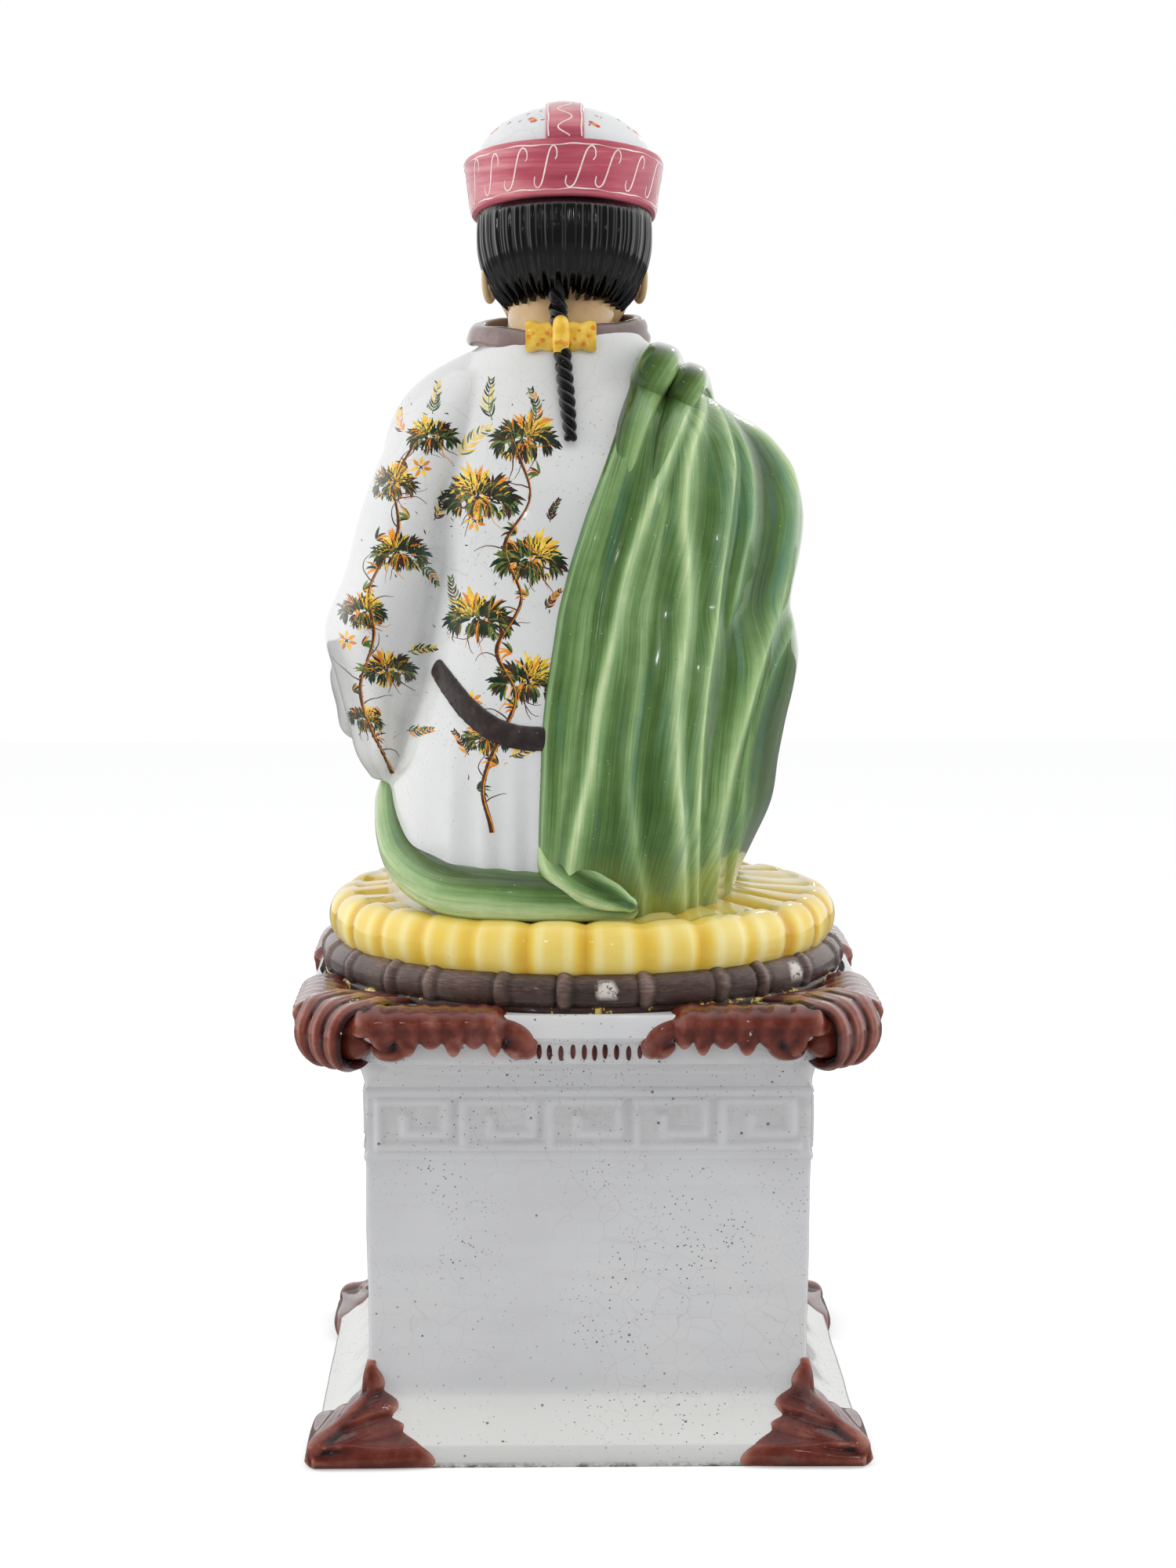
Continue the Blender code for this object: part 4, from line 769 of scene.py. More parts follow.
def leaf_sheet(mirror, rnd):
    """Leaf bent over the cornice's edge, with serrated lobes hanging in front."""
    e = HALF_CORNICE
    bend = [(0.0, -0.026, 0.294), (0.2, -0.016, 0.2962), (0.38, -0.005, 0.296), (0.52, 0.003, 0.2915),
            (0.64, 0.0046, 0.285), (0.76, 0.0028, 0.2788), (0.88, 0.0022, 0.2738), (1.0, 0.0036, 0.2694)]
    starts, x = [], 0.154
    while x > 0.047:
        starts.append(x)
        x -= 0.0105 + 0.006 * (x - 0.045) / 0.11 + rnd.uniform(-0.0012, 0.0012)
    starts.append(x)
    sweep = 0.03
    rings = []
    for x in np.linspace(0.151, 0.047, 150):
        outer, inner = [], []
        v = np.linspace(0, 1, 46)
        # lobes lean toward the arm's end, so each row is read at the place its lobe starts from
        root = x + sweep * np.maximum(v - 0.45, 0) - 0.01 * np.maximum(0.4 - v, 0)
        cell = np.interp(-root, -np.array(starts), np.arange(len(starts)))
        share = cell - np.floor(cell)
        tip = np.sin(math.pi * np.clip(share, 0, 1)) ** 0.55
        near = float(smooth(0.047, 0.06, x) * smooth(0.1515, 0.144, x))
        hang = 0.8 + 0.2 * math.sin(3.1 * math.floor(cell[-1]) + mirror)
        low = 0.7 + (0.3 * float(tip[-1]) * hang) * (0.4 + 0.6 * near)
        high = 0.16 - 0.16 * float(tip[0]) * near
        rows = high + (low - high) * v
        place = track(bend, rows)
        groove = np.interp(rows, v, tip)
        fine = 0.5 + 0.5 * np.cos(np.interp(rows, v, cell) * 4 * math.pi)
        rib = 0.0032 * (groove - 0.55) * (0.12 + 0.88 * np.abs(rows - 0.42) / 0.5) + 0.0003 * fine
        rib = rib - 0.0016 * bell(rows - 0.64, 0.045)
        body = 0.0034 * np.sqrt(np.clip(np.sin(math.pi * v), 0, 1)) * near - 0.0042 * (1 - near)
        slope = np.gradient(place, axis=0)
        size = np.hypot(slope[:, 0], slope[:, 1])
        nx, nz = -slope[:, 1] / size, slope[:, 0] / size
        grow = body + rib * np.sqrt(np.clip(np.sin(math.pi * v), 0, 1))
        for o, z, a, b, g in zip(place[:, 0], place[:, 1], nx, nz, grow):
            outer.append((mirror * x, -(e + o + a * g), z + b * g))
            inner.append((mirror * x, -(e + o - a * 0.0042), z - b * 0.0042))
        rings.append(outer + inner[::-1])
    return loft(rings)


def cornice_arm(mirror, rnd):
    """Leaf arm: a serrated leaf along the cornice and a smooth roll that curls down at its end."""
    e = HALF_CORNICE
    roll = [(0.15, -0.004, 0.286, 0.008), (0.142, 0.0, 0.288, 0.0096), (0.115, 0.0008, 0.2888, 0.0088),
            (0.088, 0.001, 0.2888, 0.0084), (0.065, 0.0012, 0.288, 0.0084), (0.052, 0.0016, 0.2858, 0.0086),
            (0.044, 0.0018, 0.2815, 0.0086), (0.04, 0.0016, 0.2765, 0.008), (0.0392, 0.001, 0.2725, 0.0068)]
    forms = [tube([(mirror * x, -(e - 0.007 + o), z, r) for x, o, z, r in roll], 36, 90),
             leaf_sheet(mirror, rnd)]
    swirl = [(0.127, -0.0015, 0.289, 0.005), (0.1185, 0.002, 0.283, 0.0058), (0.1165, 0.002, 0.2765, 0.0062),
             (0.1215, 0.001, 0.2715, 0.0062), (0.13, 0.0, 0.271, 0.005), (0.1345, -0.001, 0.2745, 0.0034)]
    forms.append(tube([(mirror * x, -(e - 0.004 + o), z, r) for x, o, z, r in swirl], 24, 50))
    forms.append(tube([(mirror * 0.0405, -(e - 0.0075), 0.276, 0.007),
                       (mirror * 0.045, -(e - 0.005), 0.2722, 0.0066),
                       (mirror * 0.05, -(e - 0.0055), 0.2738, 0.0048)], 22, 24))
    return forms


def cornice_scroll():
    """Ribbed leaf lying over the corner, rolled under into a scroll, on the -X -Y diagonal."""
    diagonal = np.array([-1, -1, 0]) / math.sqrt(2)
    across = np.array([1, -1, 0]) / math.sqrt(2)
    up = np.array([0, 0, 1.0])
    mid = np.array([SCROLL_REACH - SCROLL_R, TOP_Z + 0.0075 - SCROLL_R])
    path = [(mid[0] - 0.052, TOP_Z - 0.0005, 0.004), (mid[0] - 0.034, TOP_Z + 0.002, 0.0064),
            (mid[0] - 0.016, TOP_Z + 0.005, 0.007)]
    for i in range(38):
        a = math.pi / 2 - math.radians(10.5) * i
        r = SCROLL_R * (1 - 0.0062 * i) - 0.0035
        path.append((mid[0] + r * math.cos(a), mid[1] - 0.0035 * smooth(0, 20, i) + r * math.sin(a),
                     0.0066 - 0.00004 * i))
    path = np.array(path)
    count = len(path)
    rings, relief = [], []
    profile = np.linspace(-1, 1, 47)
    for i in range(count):
        along = path[min(i + 1, count - 1), :2] - path[max(i - 1, 0), :2]
        along = along / np.linalg.norm(along)
        normal = np.array([-along[1], along[0]])
        lift = normal[0] * diagonal + normal[1] * up
        t = i / (count - 1)
        width = SCROLL_WIDTH / 2 * float(track([(0, 0.95), (0.05, 1.45), (0.16, 1.36), (0.34, 1.1),
                                                (1, 1.02)], t)[0])
        thick = path[i, 2]
        ribs = np.abs(np.cos(profile * math.pi * 1.5 + 0.5 * math.sin(3 * t))) ** 0.8
        fine = 0.5 + 0.5 * np.cos(profile * math.pi * 9.0 + 3 * t)
        crown = np.sqrt(np.clip(1 - profile ** 8, 0, 1))
        wavy = 1 + 0.08 * math.sin(8 * math.pi * t) * max(0.0, 1 - 1.6 * t)
        centre = path[i, 0] * diagonal + path[i, 1] * up
        upper = (0.1 + 0.36 * ribs + 0.06 * fine) * crown * thick
        ring = [centre + lift * h + across * s * width * wavy for s, h in zip(profile, upper)]
        ring += [centre - lift * thick * 0.5 * math.sqrt(max(0, 1 - s ** 8)) + across * s * width * wavy
                 * 0.97 for s in np.linspace(0.97, -0.97, 15)]
        rings.append(ring)
        relief.append(np.concatenate([(ribs * 0.8 + 0.2 * fine) * crown, np.full(15, 0.42)]))
    form = loft(rings)
    hub = mid[0] * diagonal + (mid[1] - 0.0035) * up
    eye = SCROLL_WIDTH / 2 - 0.002
    core = tube([(*(hub - across * eye), 0.0112), (*hub, 0.0125), (*(hub + across * eye), 0.0112)], 36, 24)
    stem = tube([(*(0.15 * diagonal + 0.262 * up), 0.004), (*(0.19 * diagonal + 0.268 * up), 0.012),
                 (*(hub - diagonal * 0.012), 0.013)], 20, 12)
    relief = np.concatenate([np.array(relief).ravel(), [0.3, 0.3], np.full(len(core[0]), 0.55),
                             np.full(len(stem[0]), 0.12)])
    return merge([form, core, stem]), relief


def make_leaves():
    for name, maker, seed, most in (("foot_leaves", foot_leaf, 3, 46000),
                                    ("cornice_arms", cornice_arm, 8, 80000)):
        parts = []
        for quarter in range(4):
            for mirror in (1, -1):
                rnd = random.Random(seed + 10 * quarter + mirror)
                parts += [turned(form, quarter) for form in maker(mirror, rnd)]
        fuse(name, parts, 0.0011, 3, IRON, most, np.zeros(3), "white_glaze")
        hollow_relief(pieces[name], 0.0065)
    parts, relief = [], []
    for quarter in range(4):
        form, r = cornice_scroll()
        parts.append(turned(form, quarter))
        relief.append(r)
    points, faces = merge(parts)
    add_mesh("cornice_scrolls", points, faces, IRON, 60, {"relief": np.concatenate(relief)},
             slot="white_glaze")
    beads = []
    for quarter in range(4):
        for k in range(10):
            x = -0.028 + 0.007 * (k - 0.5) + 0.0005 * math.sin(5 * k + quarter)
            form = ball((x, -(HALF_CORNICE - 0.0072), CORNICE_Z + 0.009 - 0.0006 * (k % 3)),
                        (0.0018, 0.0016, 0.0054), rows=10, sides=12)
            if abs(x) < 0.032:
                beads.append(turned(form, quarter))
    points, faces = merge(beads)
    add_mesh("cornice_beads", points, faces, IRON, 60,
             {"relief": np.clip(0.2 + 0.35 * np.sin(900 * points[:, 0]) ** 2, 0, 1)}, slot="white_glaze")


def hollow_relief(obj, reach):
    """Writes how ridge-like each point is (0 hollow to 1 ridge) from the mesh's own curvature."""
    mesh = obj.data
    n = len(mesh.vertices)
    co = np.empty(n * 3, np.float32)
    no = np.empty(n * 3, np.float32)
    mesh.vertices.foreach_get("co", co)
    mesh.vertices.foreach_get("normal", no)
    co, no = co.reshape(-1, 3).astype(float), no.reshape(-1, 3).astype(float)
    edges = np.empty(len(mesh.edges) * 2, np.int32)
    mesh.edges.foreach_get("vertices", edges)
    edges = edges.reshape(-1, 2)
    d = co[edges[:, 1]] - co[edges[:, 0]]
    length = np.linalg.norm(d, axis=1) + 1e-9
    bend = ((no[edges[:, 1]] - no[edges[:, 0]]) * d).sum(axis=1) / length ** 2
    total = np.bincount(edges[:, 0], bend, n) + np.bincount(edges[:, 1], bend, n)
    count = np.bincount(edges[:, 0], minlength=n) + np.bincount(edges[:, 1], minlength=n)
    value = total / np.maximum(count, 1)
    for _ in range(5):
        around = (np.bincount(edges[:, 0], value[edges[:, 1]], n)
                  + np.bincount(edges[:, 1], value[edges[:, 0]], n))
        value = 0.4 * value + 0.6 * around / np.maximum(count, 1)
    layer = mesh.attributes.new("relief", "FLOAT", "POINT")
    layer.data.foreach_set("value", np.clip(0.45 + value * reach * 0.5, 0, 1).astype(np.float32))


# Cushion, ring and foot

def make_cushion():
    """Fluted cushion: lobes of uneven width and depth, their creases run on over the top."""
    steps = 12 * LOBES
    a = 2 * math.pi * np.arange(steps) / steps
    rnd = random.Random(5)
    depth = np.array([0.35 + 0.85 * rnd.random() for _ in range(LOBES)])
    shift = np.array([0.3 * (rnd.random() - 0.5) for _ in range(LOBES)])
    index = np.floor(a * LOBES / (2 * math.pi)).astype(int) % LOBES
    local = (a * LOBES / (2 * math.pi)) % 1.0
    warp = np.clip(local + shift[index] * np.sin(math.pi * local), 0, 1)
    crease = np.minimum(warp, 1 - warp)
    near = depth[np.where(warp < 0.5, index, (index + 1) % LOBES)]
    groove = near * np.exp(-(crease / 0.15) ** 1.5)
    rim_light = np.exp(-((crease - 0.24) / 0.09) ** 2)
    rings, relief = [], []
    for v in np.linspace(-math.pi / 2 + 0.12, math.pi / 2 - 0.05, 36):
        edge = max(0.0, math.cos(v))
        r = CUSHION_R - 0.5 * CUSHION_HIGH * (1 - edge ** 0.8)
        r = r - 0.0026 * groove * edge ** 0.7
        z = (CUSHION_Z + CUSHION_HIGH / 2 + 0.5 * CUSHION_HIGH * math.sin(v)
             - 0.003 * groove * (1 - edge) ** 0.7)
        rings.append(np.stack([r * np.sin(a), r * np.cos(a), z + 0 * r], axis=-1))
        # tone: creases darker where the yellow pools; rim_light is a painted highlight on each lobe beside
        # its crease
        relief.append(0.62 - 0.62 * groove * (0.45 + 0.55 * edge) + 0.38 * rim_light * edge)
    rim = rings[-1]
    for share in np.linspace(0.985, 0.25, 26):
        fade = smooth(0.55, 0.95, share)
        z = (rim[:, 2].mean() + 0.0045 * (1 - smooth(0.62, 1.0, share))
             - 0.003 * groove * fade - 0.0012 * (1 - fade))
        radial = -0.0011 * groove * smooth(0.45, 0.8, share) + 0.0004 * np.sin(a * 9 + 5 * share) * fade
        twist = 0.05 * (1 - share)
        ct, st = math.cos(twist), math.sin(twist)
        rings.append(np.stack([(rim[:, 0] * ct - rim[:, 1] * st) * share,
                               (rim[:, 0] * st + rim[:, 1] * ct) * share, z + radial], axis=-1))
        relief.append(0.6 - 0.5 * groove * smooth(0.4, 0.9, share) + 0.12 * np.sin(a * 5 + 7 * share))
    points, faces = loft(rings)
    points = points + BASE
    points[:, 2] += 0.001 * wobble(points, 26.0, 4.0)
    rel = np.concatenate([np.concatenate(relief), [0.2, 0.9]])
    piece = add_mesh("cushion", points, faces, YELLOW, 70, {"relief": rel})
    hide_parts("seated_figure")


def make_bamboo():
    """Ring of bamboo with knots at uneven places and two worn chips on the seen side."""
    nodes, count = 24, 24 * 26
    rnd = random.Random(9)
    where = np.sort((np.arange(nodes) + 0.45 * np.array([rnd.random() for _ in range(nodes)])) / nodes)
    size = np.array([0.8 + 0.5 * rnd.random() for _ in range(nodes)])
    s = np.arange(count) / count
    swell = np.zeros(count)
    pinch = np.zeros(count)
    for at, amount in zip(where, size):
        d = (s - at + 0.5) % 1.0 - 0.5
        swell += 0.0018 * amount * bell(d, 0.0042)
        pinch += 0.0015 * amount * bell(d - 0.0044, 0.0013)
        pinch += 0.0008 * amount * bell(d + 0.006, 0.002)
    rings, rel, flow, chip = [], [], [], []
    worn = np.maximum(bell(s - 0.488, 0.0065), bell(s - 0.357, 0.0065))
    for b in 2 * math.pi * np.arange(20) / 20:
        grain = 0.00022 * np.sin(9 * b + 2 * np.sin(2 * math.pi * s * 13)) + 0.0002 * np.sin(17 * b)
        half = BAMBOO_HALF + swell - pinch - 0.0002 + grain
        r = BAMBOO_R + half * math.cos(b)
        rings.append(np.stack([r * np.sin(2 * math.pi * s), r * np.cos(2 * math.pi * s),
                               BAMBOO_Z + half * 0.98 * math.sin(b)], axis=-1))
        # tone: lighter on the knots and darker in the pinches; the sin(b) term is painted light on the cane's
        # top and painted shade on its underside
        rel.append(0.5 + 130 * (swell - 1.6 * pinch) + 0.12 * math.sin(b))
        flow.append(np.stack([s * 20, b * 0.35 + 0 * s, 0 * s], axis=-1))
        chip.append(worn * math.exp(-((b - 0.15) / 0.75) ** 2))
    points, faces = wheel(rings)
    add_mesh("bamboo_ring", points + BASE, faces, BAMBOO, 60,
             {"relief": np.clip(np.concatenate(rel), 0, 1), "chip": smooth(0.3, 0.6, np.concatenate(chip))},
             np.concatenate(flow))


def make_foot():
    """Ragged lower rim of the figure."""
    a = 2 * math.pi * np.arange(300) / 300
    rings = []
    for r, z in ((FOOT_R - 0.02, 0.0), (FOOT_R - 0.0012, 0.0), (FOOT_R, 0.0012), (FOOT_R, FOOT_HIGH * 0.7),
                 (FOOT_R - 0.004, FOOT_HIGH), (FOOT_R - 0.02, FOOT_HIGH)):
        ragged = 0.0004 * np.sin(17 * a) * np.sin(5.3 * a + z * 300)
        rings.append(np.stack([(r + ragged) * np.sin(a), (r + ragged) * np.cos(a), z + 0 * a], axis=-1))
    points, faces = loft(rings)
    add_mesh("foot_rim", points + BASE, faces, DRIP, 50)


def drip_glaze():
    """Raw lower edge with runs of yellow, white and dark brown glaze."""
    m = Nodes("foot_drips")
    a = m.noise(1.0, 4.0, 0.65, m.stretch(m.where, (70.0, 70.0, 60.0)))
    colour = m.ramp(a, [(0.3, (0.022, 0.012, 0.009)), (0.555, (0.055, 0.028, 0.02)),
                        (0.575, (0.56, 0.38, 0.06)), (0.63, (0.7, 0.52, 0.12)), (0.67, (0.66, 0.64, 0.6))])
    return m.finish(colour, 0.25, m.bump(a, 0.4, 0.0012), 0.4)


DRIP = drip_glaze()


# Body

TORSO_KEYS = [(0.0, 0.98, 0.88, 0.97, 1.0), (0.13, 1.0, 0.92, 1.0, 1.0), (0.27, 0.95, 0.94, 0.96, 0.92),
              (0.4, 0.89, 0.97, 0.89, 0.85), (0.56, 0.85, 0.97, 0.8, 0.78), (0.73, 0.82, 0.88, 0.7, 0.7),
              (0.83, 0.72, 0.74, 0.57, 0.6), (0.91, 0.6, 0.58, 0.44, 0.52), (0.965, 0.49, 0.49, 0.36, 0.46),
              (1.0, 0.4, 0.4, 0.31, 0.42)]


def torso_section(t):
    """Half widths to left and right and depths to back and front at share t of the torso's height."""
    left, right, back, front = track(TORSO_KEYS, t)
    return left * HALF_TORSO, right * HALF_TORSO, back * TORSO_BACK, front * TORSO_FRONT


def torso():
    """The robe's body: fuller at the back, with folds gathered at the foot of the back."""
    rings = []
    turn = 2 * math.pi * np.arange(200) / 200
    s, c = np.sin(turn), np.cos(turn)
    for t in np.linspace(0, 1, 150):
        left, right, back, front = torso_section(t)
        x = np.where(s > 0, right, left) * np.sign(s) * np.abs(s) ** (2 / 2.3)
        y = np.where(c > 0, -back, front) * np.abs(c) ** (2 / 2.3)
        lift = np.zeros_like(x)
        low = smooth(0.42, 0.12, t)
        for at, lean, width, weight in ((-0.062, 0.05, 0.006, 0.9), (-0.04, 0.02, 0.005, 1.0),
                                        (-0.022, -0.01, 0.005, 1.0), (-0.006, -0.02, 0.005, 0.8),
                                        (-0.086, 0.08, 0.008, 0.7)):
            lift += 0.0026 * weight * low * bell(x - TORSO_X - at - 0.1 * lean * (t - 0.2), width) * (c > 0)
        fan = smooth(0.55, 0.9, t) * (c > 0)
        lift += 0.0012 * fan * np.sin(110 * x + 9 * t) * smooth(0.02, 0.06, np.abs(x - TORSO_X))
        n = np.stack([s, -c], axis=-1)
        rings.append(np.stack([TORSO_X + x + n[:, 0] * lift, y + n[:, 1] * lift,
                               np.full_like(x, SEAT - 0.01 + t * (TORSO_HIGH + 0.01))], axis=-1))
    return loft(rings)


def sleeve():
    """The bare left sleeve: upper part, forearm toward the lap, and shoulder."""
    keys = [(0.2, -0.128, 0.012, -0.04, 0.02), (0.24, -0.13, 0.019, -0.058, 0.03),
            (0.3, -0.129, 0.026, -0.07, 0.045), (0.38, -0.128, 0.035, -0.082, 0.06),
            (0.46, -0.131, 0.04, -0.088, 0.062), (0.57, -0.122, 0.036, -0.09, 0.05),
            (0.68, -0.113, 0.034, -0.085, 0.04), (0.78, -0.101, 0.032, -0.072, 0.034),
            (0.86, -0.087, 0.031, -0.058, 0.03), (0.93, -0.068, 0.022, -0.036, 0.022)]
    rings = []
    a = 2 * math.pi * np.arange(90) / 90
    for t in np.linspace(0.2, 0.93, 110):
        cx, w, back, front = track(keys, t)
        lift = 0.0016 * smooth(0.7, 0.45, t) * np.sin(5 * a + 8 * t)
        half = (front - back) / 2 + lift
        rings.append(np.stack([cx + (w + lift) * np.sin(a), (front + back) / 2 - half * np.cos(a),
                               np.full_like(a, SEAT + t * TORSO_HIGH)], axis=-1))
    elbow, wrist = SEAT + 0.45 * TORSO_HIGH, SEAT + 0.31 * TORSO_HIGH
    forearm = tube([(-0.128, 0.0, elbow, 0.036), (-0.138, 0.04, (elbow + wrist) / 2, 0.034),
                    (-0.142, 0.076, wrist, 0.03)], sides=60, steps=50,
                   relief=lambda a, t: 0.05 * math.sin(6 * a + 5 * t) * t)
    high = SEAT + TORSO_HIGH
    shoulder = tube([(-0.028, -0.006, high - 0.024, 0.02), (-0.06, -0.004, high - 0.036, 0.027),
                     (-0.089, -0.006, high - 0.064, 0.036), (-0.1, -0.01, high - 0.1, 0.036)], 48, 40)
    return [loft(rings), forearm, shoulder]


def make_robe():
    forms = [torso()] + sleeve()
    forms.append(tube([(0.086, 0.0, SEAT + 0.8 * TORSO_HIGH, 0.026),
                       (0.1, 0.03, SEAT + 0.55 * TORSO_HIGH, 0.03),
                       (0.07, 0.094, SEAT + 0.26 * TORSO_HIGH, 0.022)], sides=40, steps=40))
    fuse("robe", forms, 0.0021, 6, ROBE, 78000)


# Crests of the mantle's folds, one to a row: x at ten heights,
# then weight, left and right reach, and half the width of the painted highlight line
FOLD_ROWS = (0.05, 0.15, 0.26, 0.38, 0.5, 0.6, 0.7, 0.8, 0.9, 1.0)
FOLDS = [
    (-0.021, -0.0172, -0.0107, -0.0035, -0.0005, 0.0038, 0.012, 0.0279, 0.044, 0.052,
     0.5, 0.01, 0.009, 0.004),
    (-0.0125, -0.0068, 0.002, 0.0085, 0.0184, 0.0262, 0.0386, 0.053, 0.066, 0.06,
     1.0, 0.0065, 0.012, 0.0016),
    (0.036, 0.0298, 0.0262, 0.0325, 0.0368, 0.0425, 0.0505, 0.06, 0.069, 0.062,
     0.55, 0.007, 0.007, 0.0028),
    (0.061, 0.0602, 0.0567, 0.0569, 0.0626, 0.0643, 0.0622, 0.0668, 0.0768, 0.064,
     0.95, 0.011, 0.009, 0.0024),
    (0.07, 0.0704, 0.0718, 0.0755, 0.082, 0.0865, 0.0922, 0.0952, 0.085, 0.067,
     0.9, 0.009, 0.006, 0.0015),
    (0.078, 0.079, 0.082, 0.086, 0.093, 0.101, 0.108, 0.106, 0.089, 0.069,
     0.65, 0.007, 0.007, 0.0018),
    (0.083, 0.085, 0.093, 0.1065, 0.12, 0.1295, 0.1335, 0.129, 0.095, 0.071,
     0.85, 0.009, 0.01, 0.003),
    (0.097, 0.102, 0.105, 0.117, 0.133, 0.142, 0.144, 0.138, 0.1, 0.073,
     0.55, 0.008, 0.008, 0.0026)]
RIDGES = [(list(zip(FOLD_ROWS, row)), *row[len(FOLD_ROWS):]) for row in FOLDS]
SIDE_FOLDS = (1.16, 1.36, 1.56, 1.76)
MANTLE_EDGE = [(0.0, -0.25, 0.84), (0.04, -0.262, 0.87), (0.1, -0.27, 0.955), (0.17, -0.262, 1.05),
               (0.255, -0.25, 1.092), (0.326, -0.24, 1.134), (0.383, -0.222, 1.171), (0.44, -0.195, 1.19),
               (0.49, -0.17, 1.165), (0.533, -0.148, 1.135), (0.575, -0.115, 1.15), (0.611, -0.085, 1.174),
               (0.66, -0.036, 1.198), (0.7, 0.005, 1.2), (0.752, 0.065, 1.157), (0.808, 0.132, 1.066),
               (0.836, 0.165, 1.0), (0.862, 0.2, 0.885), (0.892, 0.239, 0.73), (0.92, 0.278, 0.6),
               (0.942, 0.31, 0.54), (0.965, 0.35, 0.5), (1.0, 0.4, 0.48)]


def fold_relief(x, u, t):
    """Height of the folds, sharp crests with hollow cloth between them, and a painted highlight: a pale line
    on each crest, spread more to one side.
    """
    high, line = np.zeros_like(u), np.zeros_like(u)
    narrow = 1 - 0.45 * smooth(0.78, 0.93, t)
    gone = {2: smooth(0.78, 0.7, t), 5: smooth(0.46, 0.56, t), 7: smooth(0.56, 0.48, t)}
    for k, (rows, weight, left, right, pale) in enumerate(RIDGES):
        d = x - float(track(rows, t)[0])
        reach = np.where(d > 0, right, left) * narrow
        fade = weight * float(gone.get(k, 1.0)) * (1 - smooth(1.0, 1.05, u))
        high = np.maximum(high, fade * np.exp(0.1 - np.sqrt((d / reach) ** 2 + 0.01)))
        # glow: painted highlight spread wider on one side of each crest
        side = 3.4 if k % 2 else 2.2
        glow = np.exp(-(d / (1.7 * pale * np.where(d > 0, side, 5.0 - side))) ** 2)
        line = np.maximum(line, fade * (0.5 * np.exp(-(d / (1.5 * pale)) ** 2) + 0.44 * glow))
    for k, at in enumerate(SIDE_FOLDS):
        d = u - at - 0.02 * math.sin(5 * t + 2 * k)
        high = np.maximum(high, 0.85 * np.exp(0.1 - np.sqrt((d / 0.075) ** 2 + 0.01)))
        line = np.maximum(line, 0.85 * np.exp(-(d / 0.02) ** 2))
    return high, line


def make_mantle():
    """The mantle from the back's middle round the right side, ring by ring up the torso."""
    rings, relief, flow, foot = [], [], [], []
    steps, across = ((168, 264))
    top, peak = 0.905, 0.962
    rows = np.concatenate([np.linspace(0, top, steps),
                           top + (peak - top) * np.sin(np.linspace(0.05, 1, 18) * math.pi / 2)])
    for t in rows:
        inner, outer = track(MANTLE_EDGE, t) * HALF_TORSO
        _, _, back, front = torso_section(min(t, 0.93))
        dome = math.sqrt(max(0.0, 1 - max(0.0, (t - top) / (peak + 0.002 - top)) ** 2))
        reach = outer - TORSO_X
        depth = (back + MANTLE_THICK) * (0.16 + 0.84 * dome)
        fore = (front + MANTLE_THICK) * (0.16 + 0.84 * dome)
        tuck = smooth(0.035, 0.0, t)
        depth, fore = depth - 0.004 * tuck, fore - 0.004 * tuck
        z = SEAT - 0.004 + t * (TORSO_HIGH - 0.003)
        k = np.arange(across + 1) / across
        s0 = min(max((inner - TORSO_X) / reach, -0.9), 0.9)
        back_share = np.clip(k / 0.66, 0, 1)
        front_share = np.clip((k - 0.66) / 0.34, 0, 1)
        a = np.where(k <= 0.66, math.asin(s0) * (1 - back_share) + math.pi / 2 * back_share,
                     math.pi / 2 + front_share * math.radians(62))
        s, c = np.sin(a), np.cos(a)
        bx = TORSO_X + reach * s
        by = np.where(c > 0, -depth, fore) * np.abs(c) ** 0.87
        u = np.where(a <= math.pi / 2, (bx - inner) / (outer - inner), 1.0 + front_share)
        edge = np.sqrt(np.clip(k / 0.026, 0, 1))
        fold, line = fold_relief(bx, u, t)
        arm = 0.005 * bell(u - 0.96, 0.07) * smooth(0.86, 0.78, t) * smooth(0.3, 0.5, t)
        lift = (1.25 * FOLD * fold + arm - 0.003) * (0.25 + 0.75 * dome) - MANTLE_THICK * (1.0 - edge)
        nx = s / max(reach, 0.02)
        ny = -c / np.maximum(np.where(c > 0, depth, fore), 0.02)
        size = np.hypot(nx, ny)
        # rim silhouettes stay where they are measured: lift fades at the outline itself
        keep = 1 - 0.75 * bell(a - math.pi / 2, 0.22)
        ring = [(inner * 0.9 + 0.006, -depth * 0.35, z), (inner, -depth * 0.8, z)]
        ring += list(zip(bx + nx / size * lift * keep, by + ny / size * lift, np.full(across + 1, z)))
        ring.append((TORSO_X + 0.4 * reach, fore * 0.35, z))
        rings.append(ring)
        # colour value: painted highlights on the crests and on a pale rim just inside the inner edge, painted
        # shade under the arm, and lighter where the cloth turns round the right side
        rim = np.exp(-((bx - inner - 0.0042) / 0.0016) ** 2) * (u < 0.3) * smooth(0.0, 0.06, t)
        arm_shade = 0.2 * bell(u - 0.86, 0.07) * smooth(0.9, 0.8, t) * smooth(0.12, 0.4, t)
        value = 0.13 + 0.24 * np.clip(fold, 0, 1) ** 1.2 + 0.52 * np.maximum(line, 0.7 * rim) - arm_shade
        value = value + 0.16 * smooth(0.93, 1.0, u) * smooth(0.9, 0.8, t)
        relief.append(np.concatenate([[0.2, 0.2], np.clip(value, 0, 1.1), [0.2]]))
        flow.append(np.stack([np.concatenate([[0, 0], u, [2.0]]), np.full(len(ring), t), np.zeros(len(ring))],
                             axis=-1))
        foot.append(np.full(len(ring), float(smooth(0.15, 0.0, t))))
    points, faces = loft(rings)
    pad = [relief[0][:1], relief[-1][:1]]
    add_mesh("mantle", points + BASE, faces, GREEN, 75,
             {"relief": np.concatenate([np.concatenate(relief)] + pad),
              "foot": np.concatenate([np.concatenate(foot), [1.0, 0.0]])},
             np.vstack([np.concatenate(flow), [(0, 0, 0), (0, 1, 0)]]))


